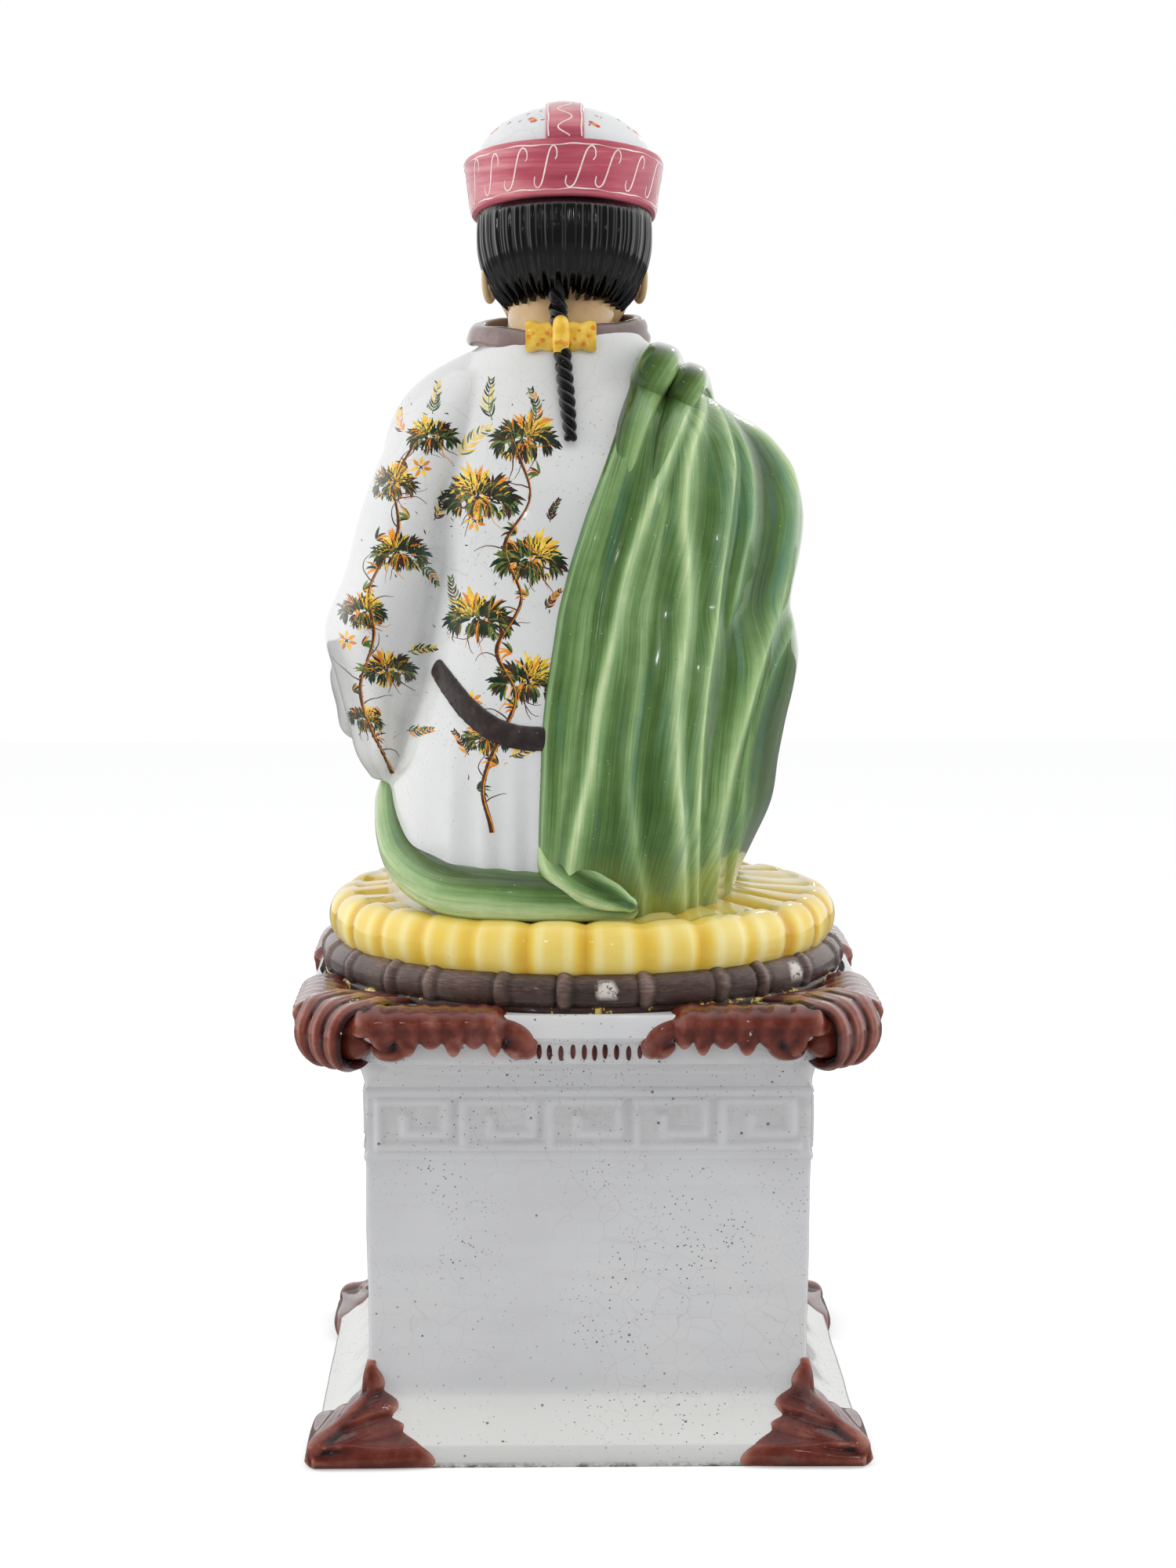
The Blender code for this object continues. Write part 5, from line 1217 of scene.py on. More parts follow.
def green_tube(keys, sides, steps, flat, ridges):
    """A rolled or hanging bunch of the green cloth, streaked along its length."""
    def relief(a, t):
        return 0.07 * math.sin(ridges * a + 3 * t) + 0.025 * math.sin((ridges * 2 + 1) * a - 4 * t)
    points, faces = tube(keys, sides, steps, flat, relief)
    rows = (len(points) - 2) // sides
    t = np.repeat(np.linspace(0, 1, rows), sides)
    a = np.tile(2 * math.pi * np.arange(sides) / sides, rows)
    # pale on each ridge and dark between: painted highlight and shade along the bunch
    rel = np.clip(0.42 + 0.38 * np.sin(ridges * a + 3 * t), 0, 1)
    around = 0.5 + 0.5 * np.cos(a)
    flow = np.stack([around * 0.55, t * 1.2, 0 * t], axis=-1)
    return points, faces, np.append(rel, [0.4, 0.4]), np.vstack([flow, [(0, 0, 0), (0, 1.2, 0)]])


def make_green_bunches():
    """Rolls and hanging bunches of the mantle's cloth, and the cloth over the knees."""
    z = SEAT + KNEE_HIGH
    low = SEAT + 0.004
    roll = 0.017
    high = SEAT + TORSO_HIGH
    # each bunch: sides, steps, flatness and ridges, then its rows of (x, y, z, radius)
    bunches = {
        "shoulder_fold_inner": (36, 90, 1.0, 2, [
            (0.0215, -0.09, high - 0.105, 0.008), (0.031, -0.089, high - 0.066, 0.0112),
            (0.0405, -0.074, high - 0.04, 0.0126), (0.048, -0.056, high - 0.0235, 0.013),
            (0.053, -0.016, high - 0.02, 0.013), (0.058, 0.02, high - 0.029, 0.013),
            (0.064, 0.046, high - 0.056, 0.012)]),
        "shoulder_fold_outer": (36, 90, 1.0, 2, [
            (0.044, -0.088, high - 0.11, 0.006), (0.053, -0.086, high - 0.072, 0.0088),
            (0.062, -0.072, high - 0.048, 0.01), (0.069, -0.054, high - 0.034, 0.0104),
            (0.073, -0.016, high - 0.031, 0.0104), (0.078, 0.02, high - 0.042, 0.011),
            (0.084, 0.044, high - 0.072, 0.011)]),
        "shawl_roll": (40, 110, 1.0, 2, [
            (-0.118, 0.01, low + 0.076, 0.66 * roll), (-0.124, -0.034, low + 0.056, 0.8 * roll),
            (-0.114, -0.078, low + 0.026, roll), (-0.088, -0.118, low + 0.012, roll),
            (-0.05, -0.136, low + 0.01, 0.98 * roll), (-0.01, -0.141, low + 0.008, 0.85 * roll),
            (0.026, -0.136, low + 0.002, 0.5 * roll)]),
        "hem_curl": (48, 90, 0.9, 3, [
            (-0.022, -0.13, 0.108, 0.012), (-0.017, -0.136, 0.0935, 0.014),
            (-0.006, -0.142, 0.085, 0.0138), (0.006, -0.145, 0.0795, 0.0122),
            (0.018, -0.146, 0.0755, 0.0098), (0.0275, -0.146, 0.0715, 0.0055)]),
        "sleeve_drape": (60, 90, 1.0, 5, [
            (0.08, 0.01, SEAT + 0.74 * TORSO_HIGH, 0.028), (0.098, 0.04, SEAT + 0.62 * TORSO_HIGH, 0.03),
            (0.098, 0.062, SEAT + 0.5 * TORSO_HIGH, 0.031), (0.09, 0.08, SEAT + 0.36 * TORSO_HIGH, 0.03)]),
    }
    cloth = Brush(["mantle"]).tree
    for name, (sides, steps, flat, ridges, keys) in bunches.items():
        on_shoulder = name.startswith("shoulder_fold")
        # the lower ends of the shoulder folds are sunk into the mantle's own surface
        if on_shoulder:
            for k, sunk in enumerate((1.25, 0.8, 0.58)):
                kx, _, kz, kr = keys[k]
                hit = cloth.ray_cast(Vector((kx + BASE[0], -OUTSIDE, kz + BASE[2])), Vector((0, 1, 0)))[0]
                keys[k] = (kx, hit.y - BASE[1] + sunk * kr, kz, kr)
        points, faces, rel, flow = green_tube(keys, sides, steps, flat, ridges)
        # the shoulder folds carry less painted highlight
        if on_shoulder:
            rel = 0.72 * rel
        add_mesh(name, points + BASE, faces, GREEN, 75,
                 {"relief": rel, "foot": np.full(len(points), 0.1)}, flow)
    forms = []
    for side, knee_x, rise in ((-1, 0.108, 0.022), (1, 0.088, 0.0)):
        knee = (side * knee_x, 0.09, z + rise)
        forms.append(tube([(side * 0.05, -0.01, z, 0.042), (side * 0.08, 0.048, z + 0.006, 0.04),
                           (*knee, 0.0344)], 60, 50, 0.9))
        forms.append(tube([(*knee, 0.0344), (side * 0.06, 0.118, z - 0.004, 0.032),
                           (-side * 0.012, 0.12, z - 0.006, 0.0288)], 60, 50, 0.9))
    forms.append(ball((TORSO_X / 2, 0.06, z - 0.004), (0.105, 0.08, 0.032)))
    forms.append(tube([(-0.112, 0.014, low + 0.066, 0.018), (-0.11, 0.05, low + 0.056, 0.026),
                       (-0.096, 0.09, low + 0.044, 0.034)], 48, 40))
    for k in range(11):
        a = math.radians(-66 + 132 * k / 10)
        forms.append(tube([(0.06 * math.sin(a), 0.03 + 0.05 * math.cos(a), z + 0.03, 0.004),
                           (0.1 * math.sin(a), 0.048 + 0.084 * math.cos(a), z + 0.022, 0.007),
                           (0.112 * math.sin(a), 0.052 + 0.098 * math.cos(a), SEAT - 0.002, 0.007)], 20, 30))
    fuse("lap_cloth", forms, 0.0022, 8, GREEN_LAP, 42000)


def lap_glaze():
    """The same green where the cloth is fused over the knees."""
    m = Nodes("green_glaze_lap")
    streaks = m.noise(1.0, 5.0, 0.62, m.stretch(m.where, (60.0, 60.0, 14.0)))
    broad = m.noise(14.0, 3.0, 0.55)
    value = m.weigh((streaks, 0.7), (broad, 0.35))
    colour = m.ramp(value, [(0.3, (0.022, 0.062, 0.018)), (0.45, (0.06, 0.15, 0.034)),
                            (0.56, (0.12, 0.245, 0.066)), (0.72, (0.255, 0.42, 0.175))])
    return m.finish(colour, 0.14, m.bump(m.noise(80.0, 3.0), 0.16, 0.0012), 0.6)


GREEN_LAP = lap_glaze()


def make_collar():
    """Rolled collar round the neck, a little higher on its right."""
    rings = []
    for i in range(140):
        a = 2 * math.pi * i / 140
        centre = np.array([COLLAR_R * math.sin(a), -COLLAR_OVAL * COLLAR_R * math.cos(a), 0.0])
        out = centre / np.linalg.norm(centre)
        right = smooth(-0.2, 0.7, math.sin(a))
        z = SEAT + TORSO_HIGH - 0.0015 - 0.005 * math.cos(a) + 0.0006 * math.sin(5 * a) + 0.0015 * right
        high, thick = 0.007 + 0.0026 * right + 0.0004 * math.sin(7 * a), 0.005
        ring = []
        for b in 2 * math.pi * np.arange(28) / 28:
            r = thick * math.copysign(abs(math.cos(b)) ** 0.8, math.cos(b))
            lift = high * math.copysign(abs(math.sin(b)) ** 0.8, math.sin(b))
            dent = 0.0011 * right * bell(lift / high - 0.05, 0.22) * (math.cos(b) > 0)
            ring.append((TORSO_X - 0.004 + centre[0] + out[0] * (r - dent - 0.28 * lift),
                         0.004 + centre[1] + out[1] * (r - dent - 0.28 * lift), z + lift))
        rings.append(ring)
    points, faces = wheel(rings)
    points = points + 0.0003 * wobble(points, 150.0, 2.0)[:, None]
    add_mesh("collar", points + BASE, faces, MANGANESE, 60)


def make_girdle():
    """Flat band round the back, laid on the robe and sunk in at its end."""
    robe = Brush(["robe"])
    keys = [(-0.0985, 0.507, 0.9), (-0.092, 0.4985, 1.0), (-0.0855, 0.4905, 1.02), (-0.0767, 0.4807, 1.05),
            (-0.0643, 0.4714, 1.08), (-0.0518, 0.466, 1.1), (-0.04, 0.464, 1.1), (-0.027, 0.4636, 1.08)]
    path = track([(i / 7, *k) for i, k in enumerate(keys)], np.linspace(0, 1, 90))
    rings = []
    for i, (x, z, share) in enumerate(path):
        d = path[min(i + 1, 89), :2] - path[max(i - 1, 0), :2]
        d = d / np.linalg.norm(d)
        hit = robe.tree.ray_cast(Vector((x, -OUTSIDE, z)), Vector((0, 1, 0)))
        spot, normal = np.array(hit[0]), np.array(hit[1])
        normal = normal if normal[1] < 0 else -normal
        blunt = math.sqrt(max(0.02, 1 - max(0.0, (3 - i) / 3.2) ** 2))
        wide, thick = 0.0071 * share * blunt, 0.0026 * blunt
        side = np.array([-d[1], 0.0, d[0]])
        side = side - normal * side.dot(normal)
        side = side / np.linalg.norm(side)
        ring = []
        for b in 2 * math.pi * np.arange(32) / 32:
            c, e = math.cos(b), math.sin(b)
            ring.append(spot + side * wide * math.copysign(abs(c) ** 0.75, c)
                        + normal * thick * math.copysign(abs(e) ** 0.75, e))
        rings.append(ring)
    points, faces = loft(rings)
    points = points + 0.00022 * wobble(points, 420.0)[:, None]
    add_mesh("girdle", points, faces, BELT, 60)


# Head

def in_head(x, y, z):
    """Points given in the head's own frame, tipped forward by HEAD_TILT."""
    c, s = math.cos(HEAD_TILT), math.sin(HEAD_TILT)
    x, y, z = np.asarray(x, float), np.asarray(y, float), np.asarray(z, float)
    return np.stack(np.broadcast_arrays(TORSO_X + x, 0.01 + y * c + z * s, HEAD_Z - y * s + z * c), axis=-1)


def make_head():
    w, d, h = HEAD_W, HEAD_D, HEAD_H
    rows, cols = 112, 170
    v = np.linspace(-math.pi / 2 + 0.03, math.pi / 2 - 0.03, rows)[:, None]
    u = (2 * math.pi * np.arange(cols) / cols)[None, :]
    # u = 0 looks along +Y, the face
    x = np.cos(v) * np.sin(u)
    y = np.cos(v) * np.cos(u)
    z = np.sin(v) + 0 * u
    front = np.clip(y, 0, 1)
    jaw = smooth(0.1, -0.9, z)
    px = w * x * (1 - 0.26 * jaw)
    px = px * (1 - 0.1 * smooth(0.05, -0.25, y))
    py = d * (y * np.where(y > 0, 1.0 - 0.06 * jaw, 0.84 - 0.4 * jaw) + 0.06 * jaw)
    pz = h * 0.98 * z
    def spot(cx, cz, sx, sz):
        return np.exp(-(((px / w - cx) / sx) ** 2 + ((pz / h - cz) / sz) ** 2)) * smooth(0.0, 0.35, front)
    face = np.zeros_like(px)
    face += (0.013 * spot(0, -0.21, 0.13, 0.1) + 0.0085 * spot(0, -0.1, 0.1, 0.16)
             + 0.0035 * spot(0, 0.04, 0.1, 0.12))
    for side in (-1, 1):
        face += 0.0048 * spot(side * 0.15, -0.25, 0.09, 0.06)
        face -= 0.0062 * spot(side * 0.38, 0.06, 0.22, 0.1)
        face += 0.0042 * spot(side * 0.38, 0.045, 0.15, 0.055)
        face += 0.003 * spot(side * 0.38, 0.19, 0.26, 0.05)
        face += 0.004 * spot(side * 0.52, -0.25, 0.26, 0.2)
        face -= 0.0008 * spot(side * 0.38, 0.04, 0.15, 0.01)
    face += 0.0042 * spot(0, -0.455, 0.23, 0.035) + 0.0044 * spot(0, -0.54, 0.19, 0.04)
    face -= 0.003 * spot(0, -0.497, 0.26, 0.012)
    face -= 0.0024 * spot(0, -0.635, 0.18, 0.04)
    face += 0.0062 * spot(0, -0.8, 0.22, 0.12)
    face -= 0.0012 * spot(0, -0.375, 0.045, 0.05)
    py = py + face
    grid = in_head(px, py, pz)
    points, faces = loft(grid)
    neck_low = SEAT + TORSO_HIGH - 0.025
    neck = tube([(TORSO_X - 0.003, -0.004, neck_low, 0.0385),
                 (TORSO_X - 0.002, 0.002, neck_low + 0.035, 0.0355), (TORSO_X, 0.008, HEAD_Z, 0.035)], 64, 40)
    add_mesh("head_skin", points + BASE, faces, SKIN, 70)
    neck_points, neck_faces = neck
    add_mesh("neck", neck_points + BASE, neck_faces, SKIN, 70)
    ears = []
    for side in (-1, 1):
        ring_rows = []
        for i in range(40):
            a = 2 * math.pi * i / 40
            lobe = 1.0 - 0.25 * smooth(0.2, -1.0, math.sin(a))
            cy, cz = 0.0085 * lobe * math.cos(a), 0.0135 * math.sin(a)
            ring_rows.append([in_head(side * (w * 0.955 - 0.0004 + 0.0022 * math.cos(b)
                                              - 0.003 * math.cos(a)), 0.004 + cy * (1 + 0.22 * math.sin(b)),
                                      -0.16 * h + cz * (1 + 0.16 * math.sin(b))) for b in 2 * math.pi
                              * np.arange(14) / 14])
        ears.append(wheel(np.array(ring_rows)))
        ears.append(ball(in_head(side * (w * 0.955 - 0.002), 0.005, -0.16 * h), (0.0036, 0.0082, 0.013),
                         HEAD_TILT, 20, 30))
    ear_points, ear_faces = merge(ears)
    add_mesh("ears", ear_points + BASE, ear_faces, SKIN, 70)
    features = []
    for side in (-1, 1):
        for z0, width, thick in ((0.045, 0.17, 0.001), (0.205, 0.24, 0.0013)):
            line = []
            for k in np.linspace(-1, 1, 13):
                xx = side * (0.38 + k * width)
                zz = z0 + (0.018 if z0 > 0.1 else 0.028) * (1 - k * k)
                line.append((w * xx, h * zz, thick * (1.05 - 0.8 * abs(k))))
            features.append(line)
    skin = BVHTree.FromPolygons([tuple(p) for p in points + BASE], faces)
    dark = []
    for line in features:
        keys = []
        for x0, z0, r in line:
            a = Vector(in_head(x0, 0.2, z0) + BASE)
            hit = skin.ray_cast(a, Vector(in_head(x0, 0.0, z0) - in_head(x0, 0.2, z0)).normalized())
            keys.append((*(hit[0] if hit[0] else a), r))
        dark.append(tube(keys, 10, 30))
    mouth = []
    for k in np.linspace(-1, 1, 11):
        a = Vector(in_head(0.22 * w * k, 0.2, h * (-0.497 + 0.012 * k * k)) + BASE)
        hit = skin.ray_cast(a, Vector(in_head(0, 0.0, 0) - in_head(0, 0.2, 0)).normalized())
        mouth.append((*(hit[0] if hit[0] else a), 0.0012 * (1.1 - abs(k))))
    add_mesh("brows_and_lids", *merge(dark), PAINT["brown"], 70)
    add_mesh("lip_line", *tube(mouth, 10, 30), PAINT["red"], 70)


def make_hair():
    """Cap of combed hair: grooves run up from tapered tips."""
    w, d, h = HEAD_W, HEAD_D, HEAD_H
    cols = 620
    a = 2 * math.pi * np.arange(cols) / cols
    rings = []
    rnd = random.Random(3)
    phase = [rnd.random() * 6 for _ in range(6)]
    for v in np.linspace(0.0, 1.0, 42):
        swell = float(track([(0.0, 0.72), (0.06, 0.79), (0.2, 0.9), (0.42, 0.985), (0.62, 1.0), (1.0, 0.97)],
                            v)[0])
        comb = (0.5 * np.sin(64 * a + phase[0] + 1.2 * math.sin(3 * v)) + 0.35 * np.sin(101 * a + phase[1])
                + 0.25 * np.sin(37 * a + phase[2] + 2 * v) + 0.2 * np.sin(151 * a + phase[3]))
        groove = 0.00085 * comb * smooth(1.05, 0.55, v)
        tips = 0.0035 * np.sin(64 * a + phase[0]) + 0.0025 * np.sin(29 * a + phase[4])
        z = (-0.36 + 0.97 * v) * h + (tips - 0.002) * (1 - smooth(0.0, 0.18, v))
        side = np.cos(a)
        temple = smooth(-0.02, -0.3, side)
        thick = 0.005 * (1 - temple) - 0.006 * temple
        thick = thick - 0.0045 * (1 - smooth(0.0, 0.1, v)) * (1 - temple)
        x = ((w + thick) * swell + groove) * np.sin(a)
        y = -((d * 0.96 + thick) * swell + groove) * np.cos(a)
        # the hair goes in under the hat's edge
        over = np.maximum(np.hypot(x, y / HAT_OVAL) / (HAT_LOW - 0.003), 1.0)
        squeeze = 1 + (over - 1) * smooth(0.315 * h, 0.395 * h, z)
        rings.append(in_head(x / squeeze, y / squeeze, z))
    points, faces = loft(rings)
    add_mesh("hair", points + BASE, faces, HAIR, 80)


def make_braid():
    """Two twisted strands that hang down the back, with a bow tied on them."""
    start = in_head(-0.006, -0.6 * HEAD_D - 0.012, -0.36 * HEAD_H)
    rows = []
    for i in range(9):
        t = i / 8
        z = start[2] - t * BRAID_LONG
        rise = max(0.0, min(1.0, (z - SEAT) / TORSO_HIGH))
        back = torso_section(rise)[2] if rise < 1.0 else 0.0
        y = start[1] + 0.004
        if z < SEAT + TORSO_HIGH + 0.004:
            y = min(y, -back - 0.0045)
        if z < SEAT + TORSO_HIGH + 0.012:
            y = min(y, -COLLAR_OVAL * COLLAR_R - 0.005)
        rows.append((start[0] + 0.009 * t, y, z, (0.0062 - 0.0012 * t) * (1.0 if t < 0.8 else 1.8 - t)))
    rows[0] = (rows[0][0], rows[0][1] + 0.003, rows[0][2] + 0.01, 0.0058)
    strands = []
    path = track([(i / 8, *r) for i, r in enumerate(rows)], np.linspace(0, 1, 120))
    for k in range(2):
        keys = []
        for i, (x, y, z, r) in enumerate(path):
            turn = math.pi * k + 2 * math.pi * BRAID_TURNS * i / 119
            keys.append((x + 0.46 * r * math.cos(turn), y + 0.4 * r * math.sin(turn), z, 0.62 * r))
        strands.append(tube(keys, 12, 200))
    points, faces = merge(strands)
    add_mesh("braid", points + BASE, faces, HAIR, 80)
    x, y, z = path[40][:3]
    forms = [tube([(x, y - 0.003, z - 0.0085, 0.0052), (x, y - 0.0042, z, 0.0062),
                   (x, y - 0.003, z + 0.0085, 0.0052)], 24, 20)]
    for side in (-1, 1):
        rings = []
        for s in np.linspace(0, 1, 26):
            high = 0.0094 * (0.62 + 0.44 * math.sin(math.pi * min(1.0, s * 0.6 + 0.14)))
            pleat = 1 + 0.1 * math.sin(9 * s)
            rings.append([(x + side * (0.002 + s * 0.021),
                           y + 0.0018 + (0.0044 + 0.0012 * math.sin(math.pi * s)) * math.cos(b),
                           z + high * pleat * math.sin(b)) for b in 2 * math.pi * np.arange(30) / 30])
        forms.append(loft(rings))
    points, faces = merge(forms)
    add_mesh("bow", points + BASE, faces, BOW, 60)
    tree = BVHTree.FromPolygons([tuple(p) for p in points + BASE], faces)
    rnd = random.Random(12)
    dots = []
    for k in range(15):
        bx = x + BASE[0] + (k / 14 - 0.5) * 0.042
        bz = z + BASE[2] + (rnd.random() - 0.5) * 0.011
        hit = tree.ray_cast(Vector((bx, -0.4, bz)), Vector((0, 1, 0)))
        if hit[0]:
            q = hit[1].to_track_quat("Z", "X")
            r = 0.0011 + 0.0006 * rnd.random()
            ring = [[hit[0] + q @ Vector((r * s * math.cos(b), r * s * math.sin(b), lift))
                     for b in 2 * math.pi * np.arange(12) / 12]
                    for s, lift in ((0.9, -0.0004), (1.0, 0.00005), (0.6, 0.00022))]
            dots.append(loft(np.array(ring)))
    points, faces = merge(dots)
    add_mesh("bow_dots", points, faces, PAINT["orange"], 60)


def on_crown(side, lift, b):
    """Place on the strap's arc over the dome: sideways by side, at angle b from the back."""
    shrink = math.sqrt(max(0.2, 1 - (side / DOME_X) ** 2))
    return in_head(side, -(DOME_Y * shrink + lift) * math.cos(b),
                   DOME_Z + (HAT_RISE * shrink + lift) * math.sin(b))


def make_hat():
    """Round brimless hat: band, dome and the strap over it."""
    low, top = BAND_LOW, BAND_TOP
    a = 2 * math.pi * np.arange(200) / 200
    rows = [(HAT_LOW - 0.011, low + 0.003), (HAT_LOW - 0.003, low - 0.0002), (HAT_LOW - 0.0008, low + 0.0002),
            (HAT_LOW + 0.0002, low + 0.0016)]
    for k in np.linspace(0.08, 0.92, 14):
        rows.append((HAT_LOW + (HAT_TOP - HAT_LOW) * k, low + HAT_BAND * k))
    rows += [(HAT_TOP, top - 0.002), (HAT_TOP - 0.0006, top - 0.0004), (HAT_TOP - 0.002, top),
             (HAT_TOP - 0.004, top - 0.0004), (HAT_TOP - 0.0056, top - 0.003), (HAT_TOP - 0.007, top - 0.006)]
    rings = []
    for r, z in rows:
        rr = r + 0.0004 * np.sin(3 * a + 1) + 0.0003 * np.sin(7 * a)
        rings.append(in_head(rr * np.sin(a), -HAT_OVAL * rr * np.cos(a), z))
    points, faces = loft(rings)
    add_mesh("hat_band", points + BASE, faces, CRIMSON, 50)
    points, faces = ball(in_head(0, 0, DOME_Z), (DOME_X, DOME_Y, HAT_RISE), HEAD_TILT, 44, 96)
    add_mesh("hat_dome", points + BASE, faces, DOME, 60)
    rings = []
    for b in math.pi * np.linspace(0.0, 1.0, 90):
        ring = []
        for k, lift in ((-1.0, -0.004), (1.0, -0.004), (1.0, 0.0014), (0.94, 0.0024), (0.8, 0.0026),
                        (0.4, 0.003), (0.0, 0.0031), (-0.4, 0.003), (-0.8, 0.0026), (-0.94, 0.0024),
                        (-1.0, 0.0014)):
            side = k * STRAP / 2
            ring.append(on_crown(side, lift, b))
        rings.append(ring)
    points, faces = loft(np.array(rings))
    add_mesh("hat_strap", points + BASE, faces, CRIMSON, 45)


def make_hands():
    """Two resting hands of simple build: palm, four fingers and a thumb each."""
    for name, x, y, z, turn in (("hand_left", -0.141, 0.096, SEAT + 0.1, 4),
                                ("hand_right", 0.05, 0.118, SEAT + 0.078, 52)):
        c, s = math.cos(math.radians(turn)), math.sin(math.radians(turn))

        def at(forward, across, down):
            return (x + c * across - s * forward, y + s * across + c * forward, z - down)

        forms = [tube([(*at(-0.03, 0.0, -0.004), 0.015), (*at(-0.008, 0.0, 0.0), 0.017),
                       (*at(0.014, 0.0, 0.003), 0.0165)], 32, 20, 0.62)]
        for k in range(4):
            across = (k - 1.5) * 0.0088
            reach = 0.036 - 0.004 * abs(k - 1.3)
            forms.append(tube([(*at(0.014, across, 0.002), 0.0052),
                               (*at(0.014 + reach * 0.6, across * 1.1, 0.005), 0.0048),
                               (*at(0.014 + reach, across * 1.15, 0.014), 0.004)], 18, 20))
        forms.append(tube([(*at(-0.012, 0.014, 0.002), 0.0065), (*at(0.006, 0.024, 0.006), 0.0056),
                           (*at(0.022, 0.025, 0.012), 0.0045)], 18, 20))
        fuse(name, forms, 0.0011, 4, SKIN, 13000)


# Painted decoration

class Brush:
    """Collects strokes laid on a surface, seen from the back (way 1) or the front (way -1), as
    thin closed ribbons, one piece for each colour."""

    def __init__(self, names, way=1):
        self.way = way
        points, faces, base = [], [], 0
        for name in names:
            mesh = pieces[name].data
            co = np.empty(len(mesh.vertices) * 3, np.float32)
            mesh.vertices.foreach_get("co", co)
            points += [tuple(p) for p in co.reshape(-1, 3).tolist()]
            faces += [tuple(base + v for v in poly.vertices) for poly in mesh.polygons]
            base = len(points)
        self.tree = BVHTree.FromPolygons(points, faces)
        self.forms = {}

    def drop(self, x, z, lift):
        hit = self.tree.ray_cast(Vector((x, -OUTSIDE * self.way, z)), Vector((0, self.way, 0)))
        if hit[0] is None or hit[1].y * self.way > 0.12:
            return None
        return hit[0] + hit[1] * lift if hit[1].y * self.way < 0 else hit[0] - hit[1] * lift

    def stroke(self, colour, line, widths, lift=0.00016):
        line = np.asarray(line, float)
        n = len(line)
        rings = []
        for i in range(n):
            d = line[min(i + 1, n - 1)] - line[max(i - 1, 0)]
            d = d / (np.linalg.norm(d) + 1e-9)
            side = np.array([-d[1], d[0]]) * max(widths[i], 0.00005) / 2
            spots = [self.drop(*(line[i] + side), 0.00002), self.drop(*line[i], lift),
                     self.drop(*(line[i] - side), 0.00002)]
            if any(s is None for s in spots):
                return
            if (spots[0] - spots[2]).length > 8 * np.linalg.norm(side):
                return
            rings.append([tuple(s) for s in spots])
        self.forms.setdefault(colour, []).append(loft(np.array(rings)))

    def comma(self, colour, x, z, angle, length, width, bend=0.3, steps=6):
        """A leaf stroke: fat near its root, thin at its tip, bending as it goes."""
        line, widths = [], []
        for i in range(steps + 1):
            t = i / steps
            a = angle + bend * (t - 0.3)
            line.append((x + length * t * math.cos(a), z + length * t * math.sin(a)))
            widths.append(width * (math.sin(math.pi * min(1.0, t * 0.92 + 0.06)) ** 0.7) * (1 - 0.35 * t))
        self.stroke(colour, line, widths)

    def stem(self, colour, x, z, angle, length, width, rnd, sway=0.6, steps=12):
        line, widths = [(x, z)], [width]
        a = angle
        drift = rnd.uniform(-1, 1)
        for i in range(steps):
            t = (i + 1) / steps
            a += sway / steps * (drift + rnd.uniform(-1.2, 1.2))
            line.append((line[-1][0] + length / steps * math.cos(a), line[-1][1] + length / steps
                         * math.sin(a)))
            widths.append(width * (1 - 0.7 * t))
        self.stroke(colour, line, widths)
        return line, a

    def finish(self, prefix):
        for colour, forms in self.forms.items():
            points, faces = merge(forms)
            add_mesh(prefix + "_" + colour, points, faces, PAINT[colour], 60)


def fan(brush, rnd, x, z, size, aim, spread, count, colours, fat=0.26):
    """Leaves fanned out from one point, the outer ones drooping."""
    for k in range(count):
        share = (k + 0.5) / count * 2 - 1
        a = aim + spread * share + rnd.uniform(-0.12, 0.12)
        long = size * (1 - 0.28 * share * share) * rnd.uniform(0.8, 1.12)
        start = 0.1 * size
        droop = -0.9 * math.cos(a) * (0.5 + 0.5 * rnd.random())
        brush.comma(rnd.choice(colours), x + start * math.cos(a), z + start * math.sin(a), a, long,
                    fat * long * rnd.uniform(0.8, 1.2), droop, 4)


def fern(brush, rnd, x, z, angle, length, colours):
    """A small frond: a curved rib with paired strokes."""
    line, _ = brush.stem(colours[0], x, z, angle, length, 0.0007, rnd, 0.9, 10)
    for i, (px, pz) in enumerate(line[1:]):
        a = math.atan2(pz - line[i][1], px - line[i][0])
        size = length * 0.34 * (1 - 0.65 * i / 10)
        for side in (-1, 1):
            brush.comma(rnd.choice(colours), px, pz, a + side * rnd.uniform(0.7, 1.1), size, 0.0015,
                        -side * 0.4, 5)


def flower(brush, rnd, x, z, size, colours):
    """An open flower: a ring of fat petals round a dark eye."""
    turn = rnd.uniform(0, 1)
    for k in range(7):
        a = turn + 2 * math.pi * k / 7
        brush.comma(colours[k % len(colours)], x + 0.22 * size * math.cos(a), z + 0.2 * size * math.sin(a), a,
                    0.62 * size, 0.34 * size, rnd.uniform(-0.3, 0.3), 6)
    for k in range(4):
        a = turn + 1.6 * k
        brush.comma("brown", x, z, a, 0.22 * size, 0.12 * size, 0.0, 4)


